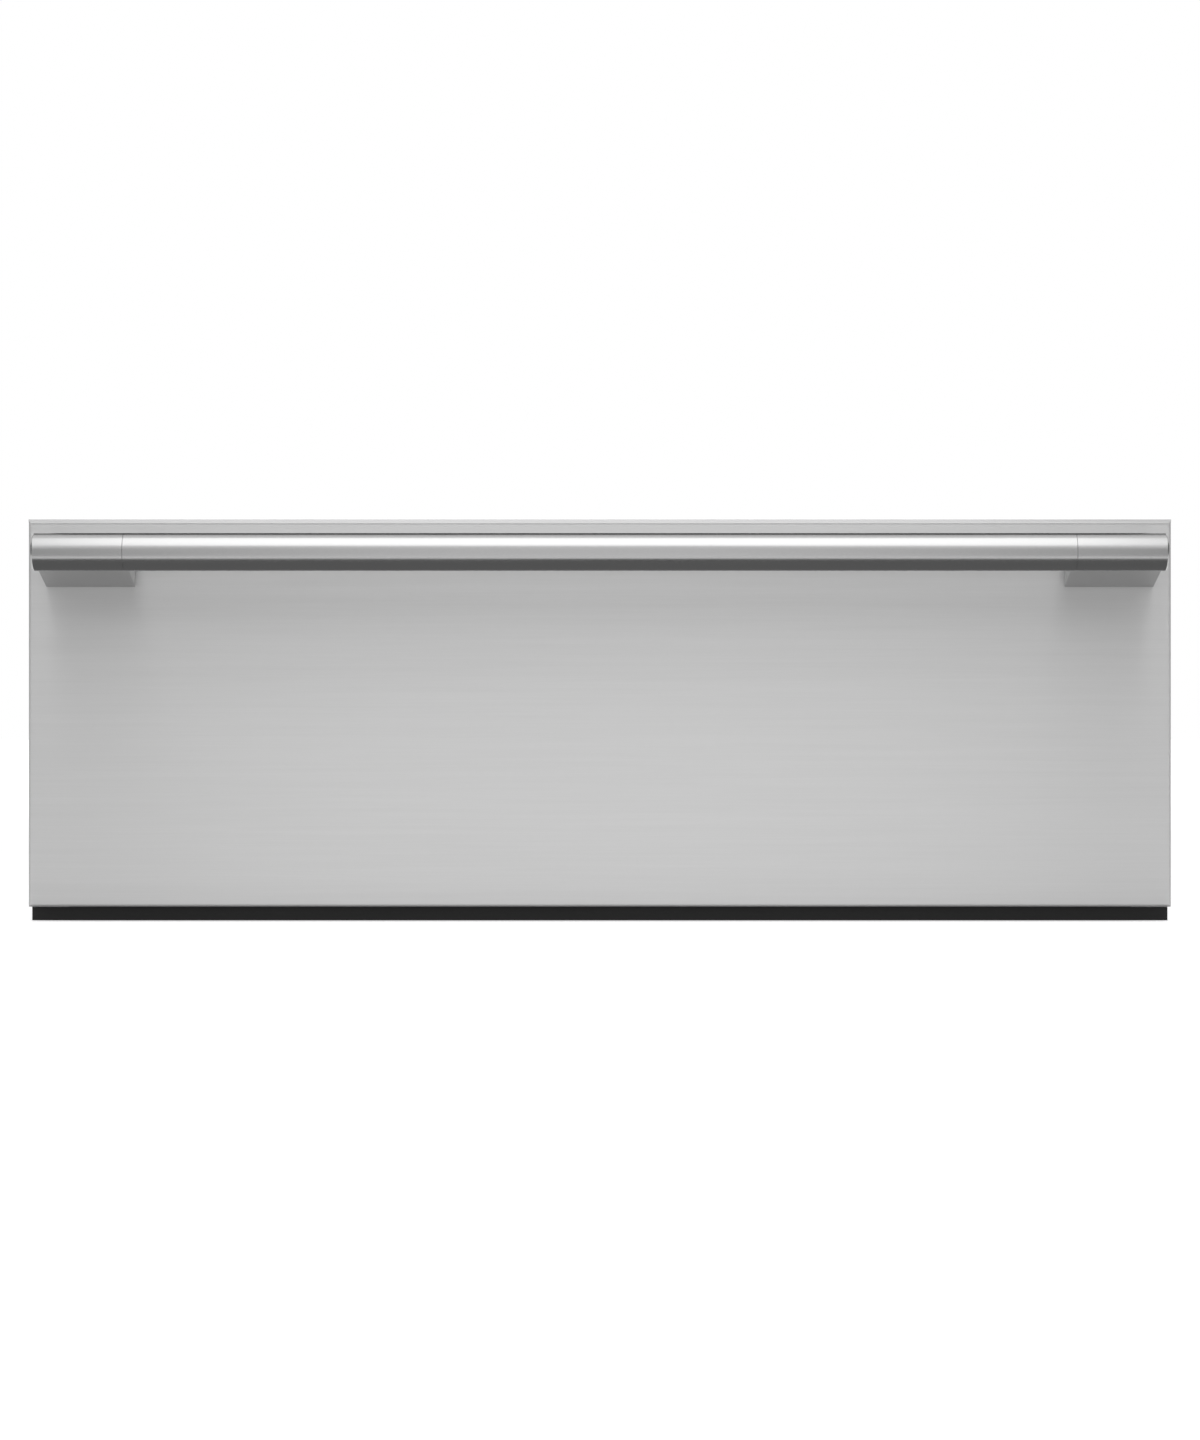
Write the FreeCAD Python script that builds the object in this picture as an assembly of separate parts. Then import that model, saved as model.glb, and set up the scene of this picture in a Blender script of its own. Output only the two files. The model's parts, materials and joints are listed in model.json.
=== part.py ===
"""A built-in vacuum sealing drawer: a steel housing, a drawer on telescopic runners with a steel front and
bar handle, and in the drawer a vacuum chamber with a hinged glass lid, a seal bar, a pump and its controls.

Millimetres, +Z up. The front looks along -Y and X runs across. The origin is at the middle of the
overall width and depth, at the height of the feet's lower faces."""

import FreeCAD, Part
import math
import os

V = FreeCAD.Vector

# Front panel
PANEL_W = 758.0  # width of the steel front
PANEL_H = 257.0  # height of the steel front
PANEL_T = 22.0  # depth from its face to its back cover
PANEL_BASE = 10.0  # height of its lower edge above the feet
SKIN_T = 1.0  # sheet of the skin and of its back cover
SKIN_EDGE_R = 2.0  # rounding of its side and lower edges
BEVEL_H = 2.5  # height of the sloping band along its top
BEVEL_D = 0.6  # depth of that band
CREASE_H = 0.9  # fine crease below the band
CREASE_D = 0.45
CREASE_DROP = 2.75  # from the panel's top to the crease
BACKING_LIP = 12.0  # how far the back cover's rim reaches forward
STIFFENER_W = 66.0  # channels behind the skin that take the handle screws
STIFFENER_MARGIN = 24.0  # from a channel's end to the panel's edge
ACCESS_D = 14.0  # holes in the back cover for a driver

# Handle
HANDLE_REACH = 64.0  # from the panel's face to the front of the bar
HANDLE_INSET = 12.0  # from the panel's side to the handle's end
HANDLE_DROP = 24.3  # from the panel's top to the bar's axis
BAR_D = 24.5
BAR_WALL = 1.5
SPIGOT_L = 26.0  # stub of each bracket inside the bar
BRACKET_W = 59.0
BRACKET_FOOT_DROP = 45.3  # from the panel's top to the foot's lower edge
BRACKET_SLOPE = 16.5  # rise of the underside towards the bar, in degrees
BRACKET_TOP_DROP = 16.5  # from the panel's top to the arm's upper face
BRACKET_CHAMFER = 1.4  # chamfer round the foot
BAR_END_CHAMFER = 1.0
HANDLE_SCREW_D = 6.0
HANDLE_SCREW_PITCH = 30.0
HANDLE_SCREW_BITE = 14.0  # thread length inside a bracket

# Housing
PANEL_OVERHANG = 23.0  # of the panel past the housing's side
HOUSING_DROP = 17.0  # from the panel's top to the housing's
REAR_SPACE = 57.0  # behind the closed drawer, its rear wall included
HOUSING_T = 1.2  # sheet
HOUSING_FLANGE = 16.0  # folded edges of the side walls
BEAD_L = 400.0  # pressed stiffening beads of the side walls
LOW_BEAD_L = 308.0  # the lower bead ends in front of the air slots
BEAD_H = 12.0
BEAD_OUT = 2.0
BEAD_RISE = 62.0  # from the runner's middle to a bead's
FRONT_GAP = 2.0  # between the closed panel and the housing
FLANGE_W = 18.0  # fixing flanges outside the side walls
FLANGE_MARGIN = 12.0  # from a fixing flange's end to the housing's edge
FIXING_D = 5.0  # cabinet screw holes
FIXING_PITCH_Z = 130.0
FIXING_LOW_Z = 70.0
BACK_SCREW_INSET = 30.0  # from the housing's lower and upper edges
BASE_SCREW_INSET = 80.0  # from its front and rear
SIDE_VENT_INSET = 40.0  # from the rear wall to the last slot of the sides
SIDE_VENT_RISE = 24.0  # above the base
RAIL_H = 12.0  # channel across the top of the opening
RAIL_D = 22.0
REAR_STANDOUT = 2.5  # flange of the power inlet behind the rear wall
FOOT_H = 4.0
FOOT_D = 30.0
FOOT_INSET = 45.0
BUMPER_D = 10.0
BUMPER_INSET_Z = 34.0
TRIM_INSET = 1.0  # ends of the black strip under the front, from the panel's sides
TRIM_T = 1.5
TRIM_SETBACK = 9.0  # behind the panel's face
TRIM_BASE = 0.5
TRIM_GAP = 0.5  # under the panel
TRIM_LAP = 25.0  # how far its flange reaches under the base
TRIM_SCREW_SPREAD = 560.0
TRIM_HEAD_H = 1.6

# Telescopic runners
RUNNER_H = 46.0
RUNNER_T = 12.7  # wall to drawer side
RUNNER_SHORT = 8.0  # shorter than the drawer
RUNNER_SETBACK = 4.0  # behind the housing's front edge
RAIL_T = 1.4  # steel of the outer and inner members
MIDDLE_RAIL_T = 1.8
RUNNER_LEFT_IN = 10.0  # runner length that the open drawer doesn't use
OUTER_BALL_D = 4.0
INNER_BALL_D = 3.2
BALL_CLEAR = 0.1
BALLS_PER_ROW = 6
BALL_SEAT = 0.4  # depth of a ball's row from a rail's face, as a share of its diameter
CAGE_T = 0.6
CAGE_L = 230.0
CAGE_GAP = 0.5  # from a cage's web to the rails beside it
CAGE_MARGIN = 5.0  # left in front of a cage when the drawer is open
CAGE_REACH = 0.75  # of a ball's diameter, from its middle to the cage's edge
RUNNER_SCREW_INSET = 30.0  # from the runner's ends

# Drawer
DRAWER_T = 1.0  # sheet
DRAWER_BASE = 16.0  # height of its lower edge
DRAWER_FLANGE = 14.0
TAB_SCREW_INSET = 35.0  # from the front flanges' ends
DECK_SCREW_INSET = 40.0  # from the deck's front and rear
REAR_SCREW_INSET = 24.0  # from the rear sheet's lower and upper edges
DECK_DROP = 44.0  # from the housing's top to the deck
DECK_T = 1.5
DECK_LIP = 14.0  # fold along its front
FRONT_TAB_H = 170.0  # flanges that take the front panel
VENT_W = 4.0
VENT_L = 60.0
VENT_PITCH = 12.0
VENT_COUNT = 9
VENT_SIDE_ROOM = 91.1  # from the drawer's side to the middle of the deck's vents
VENT_INSET = 20.0  # from the deck's rear edge

# Vacuum chamber, inside sizes
CHAMBER_SIDE_ROOM = 81.1  # from the drawer's left side to the chamber's wall
CHAMBER_W = 300.0
CHAMBER_D = 350.0
CHAMBER_DEEP = 98.0
CHAMBER_T = 1.2
CHAMBER_SETBACK = 80.0  # from the panel's back to the chamber's front wall
CHAMBER_REAR_ROOM = 58.0  # from its rear wall to the drawer's, for the hinges
CHAMBER_CORNER_R = 30.0
CHAMBER_FLOOR_R = 14.0
RIM_W = 17.0
CUTOUT_CLEAR = 0.8

# Glass lid
LID_T = 12.0
LID_SIDE_LAP = 2.0  # past the chamber's rim
LID_LIP = 10.0  # further past it at the front
LID_CORNER_R = 10.0
LID_CHAMFER = 0.8
LID_GAP = 5.8  # from the rim to the glass
GASKET_W = 8.0
GASKET_INSET = 5.0  # from the chamber's wall to the gasket
GASKET_NIP = 0.3  # between the gasket and the rim
HINGE_SETBACK = 12.0  # from the glass's rear edge to the hinge axis
HINGE_HEIGHT = 12.0  # axis above the deck
HINGE_PIN_D = 8.0
HINGE_SPREAD = 240.0
KNUCKLE_D = 14.0
KNUCKLE_W = 24.0
EAR_T = 6.0
EAR_CLEAR = 0.3
HINGE_BOSS = 1.0  # of the ears round the knuckle's radius
HINGE_BASE_T = 4.0
HINGE_BASE_D = 23.0
LEAF_W = 36.0
LEAF_T = 3.0
LEAF_L = 46.0  # on the glass
LID_BOLT_D = 6.0
LID_BOLT_PITCH = 22.0
LID_NUT_H = 2.5
LEAF_CORNER_R = 5.0
LID_OPEN_DEG = 75.0

# Seal bar
SEAL_BAR_L = 280.0
SEAL_BAR_W = 14.0
SEAL_BAR_H = 19.0
SEAL_EDGE_R = 2.0
SEAL_BAR_CLEAR = 1.0  # from the floor's rounding to the lift cylinders
SEAL_LIFT = 5.7
STRIP_W = 5.0
STRIP_T = 1.0
STRIP_END = 6.0  # from the strip's end to the bar's
SEAL_NIP = 0.3  # left between the raised bar and the counter bar
COUNTER_W = 12.0
COUNTER_H = 5.5
COUNTER_EDGE_R = 1.5
CYLINDER_SPREAD = 180.0
CYLINDER_D = 22.0
CYLINDER_H = 58.0
CYLINDER_CAP_T = 4.0
CYLINDER_EDGE_R = 1.5
PISTON_D = 16.0
PISTON_T = 6.0
PISTON_ROD_D = 8.0
RUNNING_CLEAR = 0.08

# Controls
CONTROL_W = 300.0
CONTROL_D = 38.0
CONTROL_SETBACK = 10.0  # behind the panel's back
CONTROL_GLASS_T = 2.0
CONTROL_CLEAR = 0.4
CONTROL_BOX_H = 14.0
CONTROL_BOX_RIM = 5.0  # how far the tray reaches past the glass
CONTROL_BOX_WALL = 2.0
CONTROL_CORNER_R = 4.0
CONTROL_LEDGE = 6.0  # posts of the tray under the glass's ends

# Pump and motor
PUMP_SIDE_ROOM = 86.1  # from the drawer's right side to the pump
PUMP_SETBACK = 106.0  # from the panel's back to the pump
PUMP_AXIS_H = 58.0  # above the pump's base
PUMP_W = 110.0
PUMP_L = 102.0
PUMP_H = 106.0
PUMP_BORE_D = 68.0
PUMP_ROTOR_D = 60.0
PUMP_OFFSET = 3.5  # bore above the rotor's axis
PUMP_COVER_T = 12.0
PUMP_COVER_R = 12.0
PUMP_CASE_INSET = 4.0  # of the block inside its cover and ribs
PUMP_WALL = 12.0  # behind the rotor
PUMP_RIBS = 6
PUMP_RIB_T = 3.0
ROTOR_END_CLEAR = 1.0
ROTOR_SLOTS = 3
ROTOR_SLOT_W = 4.0
MOUNT_H = 12.0  # rubber mounts
MOUNT_D = 24.0
MOUNT_WAIST = 3.0
MOUNT_INSET = 16.0
MOTOR_D = 92.0
MOTOR_L = 130.0
MOTOR_BORE_D = 66.0
MOTOR_CORE_D = 62.0
FIN_COUNT = 20
FIN_H = 5.0
FIN_T = 2.0
FIN_END = 8.0  # plain stretch at each end of the motor
MOTOR_FOOT_T = 6.0
MOTOR_WEB_W = 52.0
TERMINAL_W = 56.0
TERMINAL_L = 60.0
TERMINAL_H = 20.0
TERMINAL_SETBACK = 30.0
CORE_INSET = 20.0  # from the motor's ends to its core
COWL_L = 40.0
COWL_T = 1.5
COWL_R = 6.0
COWL_SLOTS = 12
COWL_SLOT_W = 4.4
COWL_HUB_R = 14.0
COWL_EDGE = 12.0  # from the slots to the cowl's outside
SHAFT_D = 14.0
MOTOR_FAN_D = 80.0
MOTOR_FAN_L = 14.0
MOTOR_FAN_GAP = 8.0  # behind the motor
MOTOR_FAN_HUB_D = 32.0
MOTOR_FAN_BLADES = 8
MOTOR_FAN_BLADE_T = 2.0
FILTER_D = 48.0
FILTER_H = 42.0
FILTER_R = 4.0
SUCTION_INSET = 30.0  # from the pump's rear to its inlet
SUCTION_RISE = 24.0  # above its axis

# Valves, transformer, boards, fan
VALVE_FROM_PUMP = 25.0  # between the middles of the pump and the valves
VALVE_L = 50.0
VALVE_D = 40.0
VALVE_H = 30.0
VALVE_Z = 34.0  # height of its ports
VALVE_INSET = 45.0  # from the drawer's rear to its middle
COIL_D = 20.0
COIL_H = 30.0
HOSE_D = 8.0
HOSE_BORE = 5.0
BARB_L = 12.0
ELBOW_DROP = 16.0  # from the chamber's underside to its outlet elbow
CAP_H = 3.0
CAP_NUT_H = 5.0
ELBOW_D = 12.8
PORT_SIDE_CLEAR = 4.0  # from the floor's rounding to the chamber outlet's cap
PORT_INSET = 60.0  # from the chamber's rear wall
TRANSFORMER_D = 78.0
TRANSFORMER_H = 48.0
TRANSFORMER_HOLE = 24.0
TRANSFORMER_R = 8.0
TRANSFORMER_SETBACK = 60.0  # from the panel's back to its middle
TRANSFORMER_SIDE_ROOM = 8.0
CLAMP_D = 43.2
CLAMP_T = 2.0
CLAMP_BOLT_D = 7.0
BOARD_W = 190.0
BOARD_D = 130.0
BOARD_T = 1.6
BOARD_STANDOFF = 8.0
BOARD_SETBACK = 160.0
BOARD_POST_D = 6.0
BOARD_POST_INSET = 6.0
RELAYS = 3
RELAY_W = 20.0
RELAY_D = 28.0
RELAY_H = 16.0
RELAY_PITCH = 26.0
RELAY_INSET = 20.0
CAPACITORS = 3
CAPACITOR_D = 18.0
CAPACITOR_H = 28.0
CAPACITOR_PITCH = 24.0
CAPACITOR_INSET = 30.0
SINK_W = 54.0
SINK_D = 40.0
SINK_H = 24.0
SINK_INSET = 16.0
SINK_SLOTS = 4
SINK_SLOT_W = 4.0
PLUG_W = 12.0
PLUG_D = 40.0
PLUG_H = 10.0
PLUG_INSET = 2.0
PLUG_SETBACK = 14.0
FAN_SIZE = 80.0
FAN_T = 25.0
FAN_FROM_PUMP = 110.0  # between the middles of the fan and the pump
FAN_Z = 90.0
FAN_BORE = 76.0
FAN_HUB = 32.0
FAN_BLADES = 7
FAN_TIP_CLEAR = 1.5
FAN_PLATE_T = 3.0  # spokes and hub plate
FAN_SCREW_D = 4.4
FAN_SCREW_INSET = 4.0
FAN_BLADE_T = 1.6
FAN_BLADE_TWIST = 38.0
GRILLE_BARS = 11
GRILLE_BRIDGE = 4.0
CABLE_D = 5.0

# Power inlet
INLET_SIDE_ROOM = 66.0  # from the housing's side to the inlet's middle
INLET_POS_Z = 56.0
INLET_SCREW_PITCH = 40.0
INLET_EAR = 4.0  # from a screw's middle to the flange's end
INLET_H = 28.0
INLET_CORNER_R = 5.0
INLET_BODY_W = 30.0
INLET_BODY_H = 22.0
INLET_BODY_D = 22.0
INLET_MOUTH_W = 25.0
INLET_MOUTH_H = 17.0
INLET_MOUTH_D = 17.0
PIN_W = 2.0
PIN_H = 4.0
PIN_RECESS = 3.0
PIN_SPREAD = 14.0
PIN_RISE = 2.0  # of the outer pins above the inlet's middle
PIN_DROP = 3.0  # of the middle pin below it

# Fasteners
SCREW_D = 4.0
SCREW_HEAD_D = 8.0
SCREW_HEAD_H = 2.2
SCREW_CLEAR = 0.2  # round a screw in its hole
SCREW_L = 9.0
FIT = 0.3  # plain gap between neighbours that don't touch

# Places worked out from the sizes above
HANDLE_L = PANEL_W - 2 * HANDLE_INSET
HOUSING_W = PANEL_W - 2 * PANEL_OVERHANG
TRIM_W = PANEL_W - 2 * TRIM_INSET
DRAWER_D = CHAMBER_SETBACK + CHAMBER_D + CHAMBER_REAR_ROOM
HOUSING_D = DRAWER_D + REAR_SPACE
RUNNER_L = DRAWER_D - RUNNER_SHORT
TRAVEL = RUNNER_L - RUNNER_LEFT_IN
INLET_W = INLET_SCREW_PITCH + 2 * INLET_EAR
INLET_POS_X = HOUSING_W / 2 - INLET_SIDE_ROOM
FRONT = HANDLE_REACH - (HANDLE_REACH + PANEL_T + FRONT_GAP + HOUSING_D + REAR_STANDOUT) / 2
PANEL_BACK = FRONT + PANEL_T
PANEL_TOP = PANEL_BASE + PANEL_H
HOUSING_FRONT = PANEL_BACK + FRONT_GAP
HOUSING_REAR = HOUSING_FRONT + HOUSING_D
HOUSING_TOP = PANEL_TOP - HOUSING_DROP
BASE_TOP = FOOT_H + HOUSING_T
WALL_IN = HOUSING_W / 2 - HOUSING_T
SIDE_OUT = WALL_IN - RUNNER_T
SIDE_IN = SIDE_OUT - DRAWER_T
DRAWER_REAR = PANEL_BACK + DRAWER_D
DECK_TOP = HOUSING_TOP - DECK_DROP
DECK_UNDER = DECK_TOP - DECK_T
RUNNER_Z = (DRAWER_BASE + DECK_UNDER) / 2
FLOOR_TOP = DRAWER_BASE + 2 * DRAWER_T
BAR_Y = FRONT - HANDLE_REACH + BAR_D / 2
BAR_Z = PANEL_TOP - HANDLE_DROP
BRACKET_IN = HANDLE_L / 2 - BRACKET_W
CHAMBER_X = CHAMBER_W / 2 + CHAMBER_SIDE_ROOM - SIDE_IN
CHAMBER_FRONT = PANEL_BACK + CHAMBER_SETBACK
CHAMBER_REAR = CHAMBER_FRONT + CHAMBER_D
CHAMBER_MID_Y = (CHAMBER_FRONT + CHAMBER_REAR) / 2
RIM_TOP = DECK_TOP + CHAMBER_T
CHAMBER_FLOOR = RIM_TOP - CHAMBER_DEEP
GLASS_UNDER = RIM_TOP + LID_GAP
GLASS_TOP = GLASS_UNDER + LID_T
GLASS_W = CHAMBER_W + 2 * (RIM_W + LID_SIDE_LAP)
GLASS_FRONT = CHAMBER_FRONT - RIM_W - LID_SIDE_LAP - LID_LIP
GLASS_REAR = CHAMBER_REAR + RIM_W + LID_SIDE_LAP
HINGE_Y = GLASS_REAR + HINGE_SETBACK
HINGE_Z = DECK_TOP + HINGE_HEIGHT
HINGE_XS = (CHAMBER_X - HINGE_SPREAD / 2, CHAMBER_X + HINGE_SPREAD / 2)
SEAL_Y = CHAMBER_FRONT + CHAMBER_FLOOR_R + SEAL_BAR_CLEAR + CYLINDER_D / 2
PORT_X = CHAMBER_X + CHAMBER_W / 2 - CHAMBER_FLOOR_R - PORT_SIDE_CLEAR - HOSE_D
PORT_Y = CHAMBER_REAR - PORT_INSET
COUNTER_UNDER = GLASS_UNDER - COUNTER_H
STRIP_TOP = COUNTER_UNDER - SEAL_NIP - SEAL_LIFT
SEAL_UNDER = STRIP_TOP - STRIP_T - SEAL_BAR_H
CYLINDER_XS = (CHAMBER_X - CYLINDER_SPREAD / 2, CHAMBER_X + CYLINDER_SPREAD / 2)
PUMP_X = SIDE_IN - PUMP_SIDE_ROOM - PUMP_W / 2
VENT_X = SIDE_IN - VENT_SIDE_ROOM
FAN_X = PUMP_X - FAN_FROM_PUMP
VALVE_X = PUMP_X - VALVE_FROM_PUMP
PUMP_BASE = FLOOR_TOP + MOUNT_H
PUMP_FRONT = PANEL_BACK + PUMP_SETBACK
PUMP_REAR = PUMP_FRONT + PUMP_L
MOTOR_REAR = PUMP_REAR + MOTOR_L
PUMP_AXIS_Z = PUMP_BASE + PUMP_AXIS_H
PUMP_TOP = PUMP_BASE + PUMP_H
VALVE_Y = DRAWER_REAR - VALVE_INSET
VALVE_LEFT = VALVE_X - VALVE_L / 2
VALVE_FRONT = VALVE_Y - VALVE_D / 2
CONTROL_FRONT = PANEL_BACK + CONTROL_SETBACK
FOOT_XS = (-HOUSING_W / 2 + FOOT_INSET, HOUSING_W / 2 - FOOT_INSET)
FOOT_YS = (HOUSING_FRONT + FOOT_INSET, HOUSING_REAR - FOOT_INSET)
FIXING_ZS = (FIXING_LOW_Z, FIXING_LOW_Z + FIXING_PITCH_Z)
FIXING_X = (HOUSING_W + FLANGE_W) / 2


# Plain shapes
def box(x0, x1, y0, y1, z0, z1):
    """A block between two corners."""
    return Part.makeBox(x1 - x0, y1 - y0, z1 - z0, V(x0, y0, z0))


def rod(radius, start, end):
    """A round bar from one point to another."""
    a = V(*start)
    b = V(*end)
    return Part.makeCylinder(radius, (b - a).Length, a, b - a)


def ball(radius, x, y, z):
    """A ball about a point."""
    return Part.makeSphere(radius, V(x, y, z))


def fused(shapes):
    """Several shapes made one solid."""
    shapes = list(shapes)
    whole = shapes[0]
    if len(shapes) > 1:
        whole = whole.multiFuse(shapes[1:])
    return whole.removeSplitter()


def group(shapes):
    """Separate solids that share one name."""
    return Part.makeCompound(list(shapes))


def cut(shape, tools):
    """A shape with every tool taken away."""
    tools = list(tools)
    return shape.cut(tools) if tools else shape


def mirrored(shape):
    """The same shape on the other side of the middle."""
    return shape.mirror(V(0, 0, 0), V(1, 0, 0))


def prism_x(points, x0, x1):
    """A (y, z) outline carried along X."""
    wire = Part.makePolygon([V(x0, y, z) for y, z in points + points[:1]])
    return Part.Face(wire).extrude(V(x1 - x0, 0, 0))


def slab(x, y, width, depth, z0, z1, radius):
    """An upright block about (x, y) with rounded corners."""
    x0 = x - width / 2
    x1 = x + width / 2
    y0 = y - depth / 2
    y1 = y + depth / 2
    block = box(x0, x1, y0, y1, z0, z1)
    if radius <= 0:
        return block
    upright = [e for e in block.Edges if abs(e.tangentAt(e.FirstParameter).z) > 0.99]
    return block.makeFillet(radius, upright)


def edges_at(shape, test):
    """The edges whose every end and middle pass a test on the point."""
    chosen = []
    for edge in shape.Edges:
        span = edge.LastParameter - edge.FirstParameter
        points = [edge.valueAt(edge.FirstParameter + span * k / 2) for k in range(3)]
        if all(test(p) for p in points):
            chosen.append(edge)
    return chosen


def near(a, b):
    """Whether two sizes are the same place."""
    return abs(a - b) < 1e-4


def screw(x, y, z, direction, head_d=SCREW_HEAD_D, head_h=SCREW_HEAD_H, shank_d=SCREW_D, length=SCREW_L):
    """A pan head screw whose head stands on (x, y, z) and whose shank runs along direction."""
    way = V(*direction)
    seat = V(x, y, z)
    head = Part.makeCylinder(head_d / 2, head_h, seat, way * -1)
    rim = edges_at(head, lambda p: abs((p - seat).dot(way) + head_h) < 1e-4)
    head = head.makeFillet(head_h * 0.4, rim)
    slot = Part.makeCylinder(head_d * 0.18, head_h * 0.6, seat - way * head_h, way)
    shank = Part.makeCylinder(shank_d / 2, length, seat, way)
    return head.cut(slot).fuse(shank).removeSplitter()


def hole(x, y, z, direction, depth, diameter=SCREW_D + 2 * SCREW_CLEAR):
    """The clearance for a screw, from a point along a direction and as far the other way."""
    way = V(*direction)
    return Part.makeCylinder(diameter / 2, 2 * depth, V(x, y, z) - way * depth, way)


def route(points):
    """A path of straight runs joined by tangent arcs, each as large as its two runs allow."""
    corners = [V(*p) for p in points]
    edges = []
    at = corners[0]
    for before, here, after in zip(corners, corners[1:], corners[2:]):
        back = before - here
        ahead = after - here
        turn = math.pi - back.getAngle(ahead)
        reach = 0.45 * min(back.Length, ahead.Length)
        radius = reach / math.tan(turn / 2)
        back.normalize()
        ahead.normalize()
        start = here + back * reach
        end = here + ahead * reach
        inward = back + ahead
        inward.normalize()
        middle = here + inward * (radius / math.cos(turn / 2) - radius)
        edges.append(Part.LineSegment(at, start).toShape())
        edges.append(Part.Arc(start, middle, end).toShape())
        at = end
    edges.append(Part.LineSegment(at, corners[-1]).toShape())
    return Part.Wire(edges)


def pipe(points, radius, bore=0.0):
    """A tube along a route, hollow if it has a bore."""
    path = route(points)
    start = V(*points[0])
    way = V(*points[1]) - start

    def sweep(r):
        ring = Part.Wire([Part.makeCircle(r, start, way)])
        return Part.Wire(path.Edges).makePipeShell([ring], True, False)

    tube = sweep(radius)
    return tube.cut(sweep(bore)) if bore > 0 else tube


# Front panel and handle
def handle_screw_places():
    """The x of every handle screw; all lie at one height."""
    middle = BRACKET_IN + BRACKET_W / 2
    half = HANDLE_SCREW_PITCH / 2
    return [s * (middle + k * half) for s in (-1, 1) for k in (-1, 1)]


HANDLE_SCREW_Z = PANEL_TOP - (BRACKET_FOOT_DROP + BRACKET_TOP_DROP) / 2
TAB_SCREW_ZS = (DRAWER_BASE + TAB_SCREW_INSET, DRAWER_BASE + FRONT_TAB_H - TAB_SCREW_INSET)
TAB_SCREW_X = SIDE_IN - DRAWER_FLANGE / 2


def panel_outline(inset):
    """The skin's section with its sloping top band, taken in by an inset."""
    slope = math.hypot(BEVEL_D, BEVEL_H)
    low_y = inset
    low_z = -BEVEL_H if inset == 0 else (inset * BEVEL_H - inset * slope) / BEVEL_D - BEVEL_H
    high_y = BEVEL_D if inset == 0 else (inset * slope + (BEVEL_H - inset) * BEVEL_D) / BEVEL_H
    open_back = PANEL_BACK + inset
    return [
        (open_back, PANEL_BASE + inset),
        (FRONT + low_y, PANEL_BASE + inset),
        (FRONT + low_y, PANEL_TOP + low_z),
        (FRONT + high_y, PANEL_TOP - inset),
        (open_back, PANEL_TOP - inset),
    ]


def front_skin():
    """The brushed steel face with its folded edges, open at the back."""
    half = PANEL_W / 2
    solid = prism_x(panel_outline(0), -half, half)

    def rounded(p):
        on_side = near(abs(p.x), half) and near(p.y, FRONT)
        on_base = near(p.z, PANEL_BASE) and near(p.y, FRONT)
        return on_side or on_base

    solid = solid.makeFillet(SKIN_EDGE_R, edges_at(solid, rounded))
    hollow = prism_x(panel_outline(SKIN_T), SKIN_T - half, half - SKIN_T)
    crease_top = PANEL_TOP - CREASE_DROP
    crease = box(
        SKIN_EDGE_R - half,
        half - SKIN_EDGE_R,
        FRONT - CREASE_D,
        FRONT + CREASE_D,
        crease_top - CREASE_H,
        crease_top,
    )
    holes = [hole(x, FRONT, HANDLE_SCREW_Z, (0, 1, 0), 2 * SKIN_T, HANDLE_SCREW_D + 2 * SCREW_CLEAR)
             for x in handle_screw_places()]
    return cut(solid, [hollow, crease] + holes)


def front_backing():
    """The panel's back cover, a shallow tray inside the skin's folded edges."""
    half = PANEL_W / 2 - SKIN_T - FIT
    low = PANEL_BASE + SKIN_T + FIT
    high = PANEL_TOP - SKIN_T - FIT
    tray = box(-half, half, PANEL_BACK - BACKING_LIP, PANEL_BACK, low, high)
    inside = box(SKIN_T - half, half - SKIN_T, FRONT, PANEL_BACK - SKIN_T, low + SKIN_T, high - SKIN_T)
    access = [hole(x, PANEL_BACK, HANDLE_SCREW_Z, (0, 1, 0), 2 * SKIN_T, ACCESS_D)
              for x in handle_screw_places()]
    fixings = [hole(s * TAB_SCREW_X, PANEL_BACK, z, (0, 1, 0), 2 * SKIN_T)
               for s in (-1, 1) for z in TAB_SCREW_ZS]
    return cut(tray, [inside] + access + fixings)


def front_stiffeners():
    """Two upright channels behind the skin that spread the pull of the handle."""
    middle = BRACKET_IN + BRACKET_W / 2
    low = PANEL_BASE + STIFFENER_MARGIN
    high = PANEL_TOP - BEVEL_H - SKIN_T - FIT
    rear = PANEL_BACK - SKIN_T - FIT
    channels = []
    for side in (-1, 1):
        x0 = side * middle - STIFFENER_W / 2
        x1 = side * middle + STIFFENER_W / 2
        web = box(x0, x1, FRONT + SKIN_T, rear, low, high)
        hollow = box(x0 + SKIN_T, x1 - SKIN_T, FRONT + 2 * SKIN_T, rear + SKIN_T, low - 1, high + 1)
        holes = [hole(x, FRONT, HANDLE_SCREW_Z, (0, 1, 0), 3 * SKIN_T, HANDLE_SCREW_D + 2 * SCREW_CLEAR)
                 for x in handle_screw_places() if x * side > 0]
        channels.append(cut(web, [hollow] + holes))
    return group(channels)


def handle_tube():
    """The bar between the two brackets."""
    outer = rod(BAR_D / 2, (-BRACKET_IN, BAR_Y, BAR_Z), (BRACKET_IN, BAR_Y, BAR_Z))
    bore = rod(BAR_D / 2 - BAR_WALL, (-BRACKET_IN, BAR_Y, BAR_Z), (BRACKET_IN, BAR_Y, BAR_Z))
    return outer.cut(bore)


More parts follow.
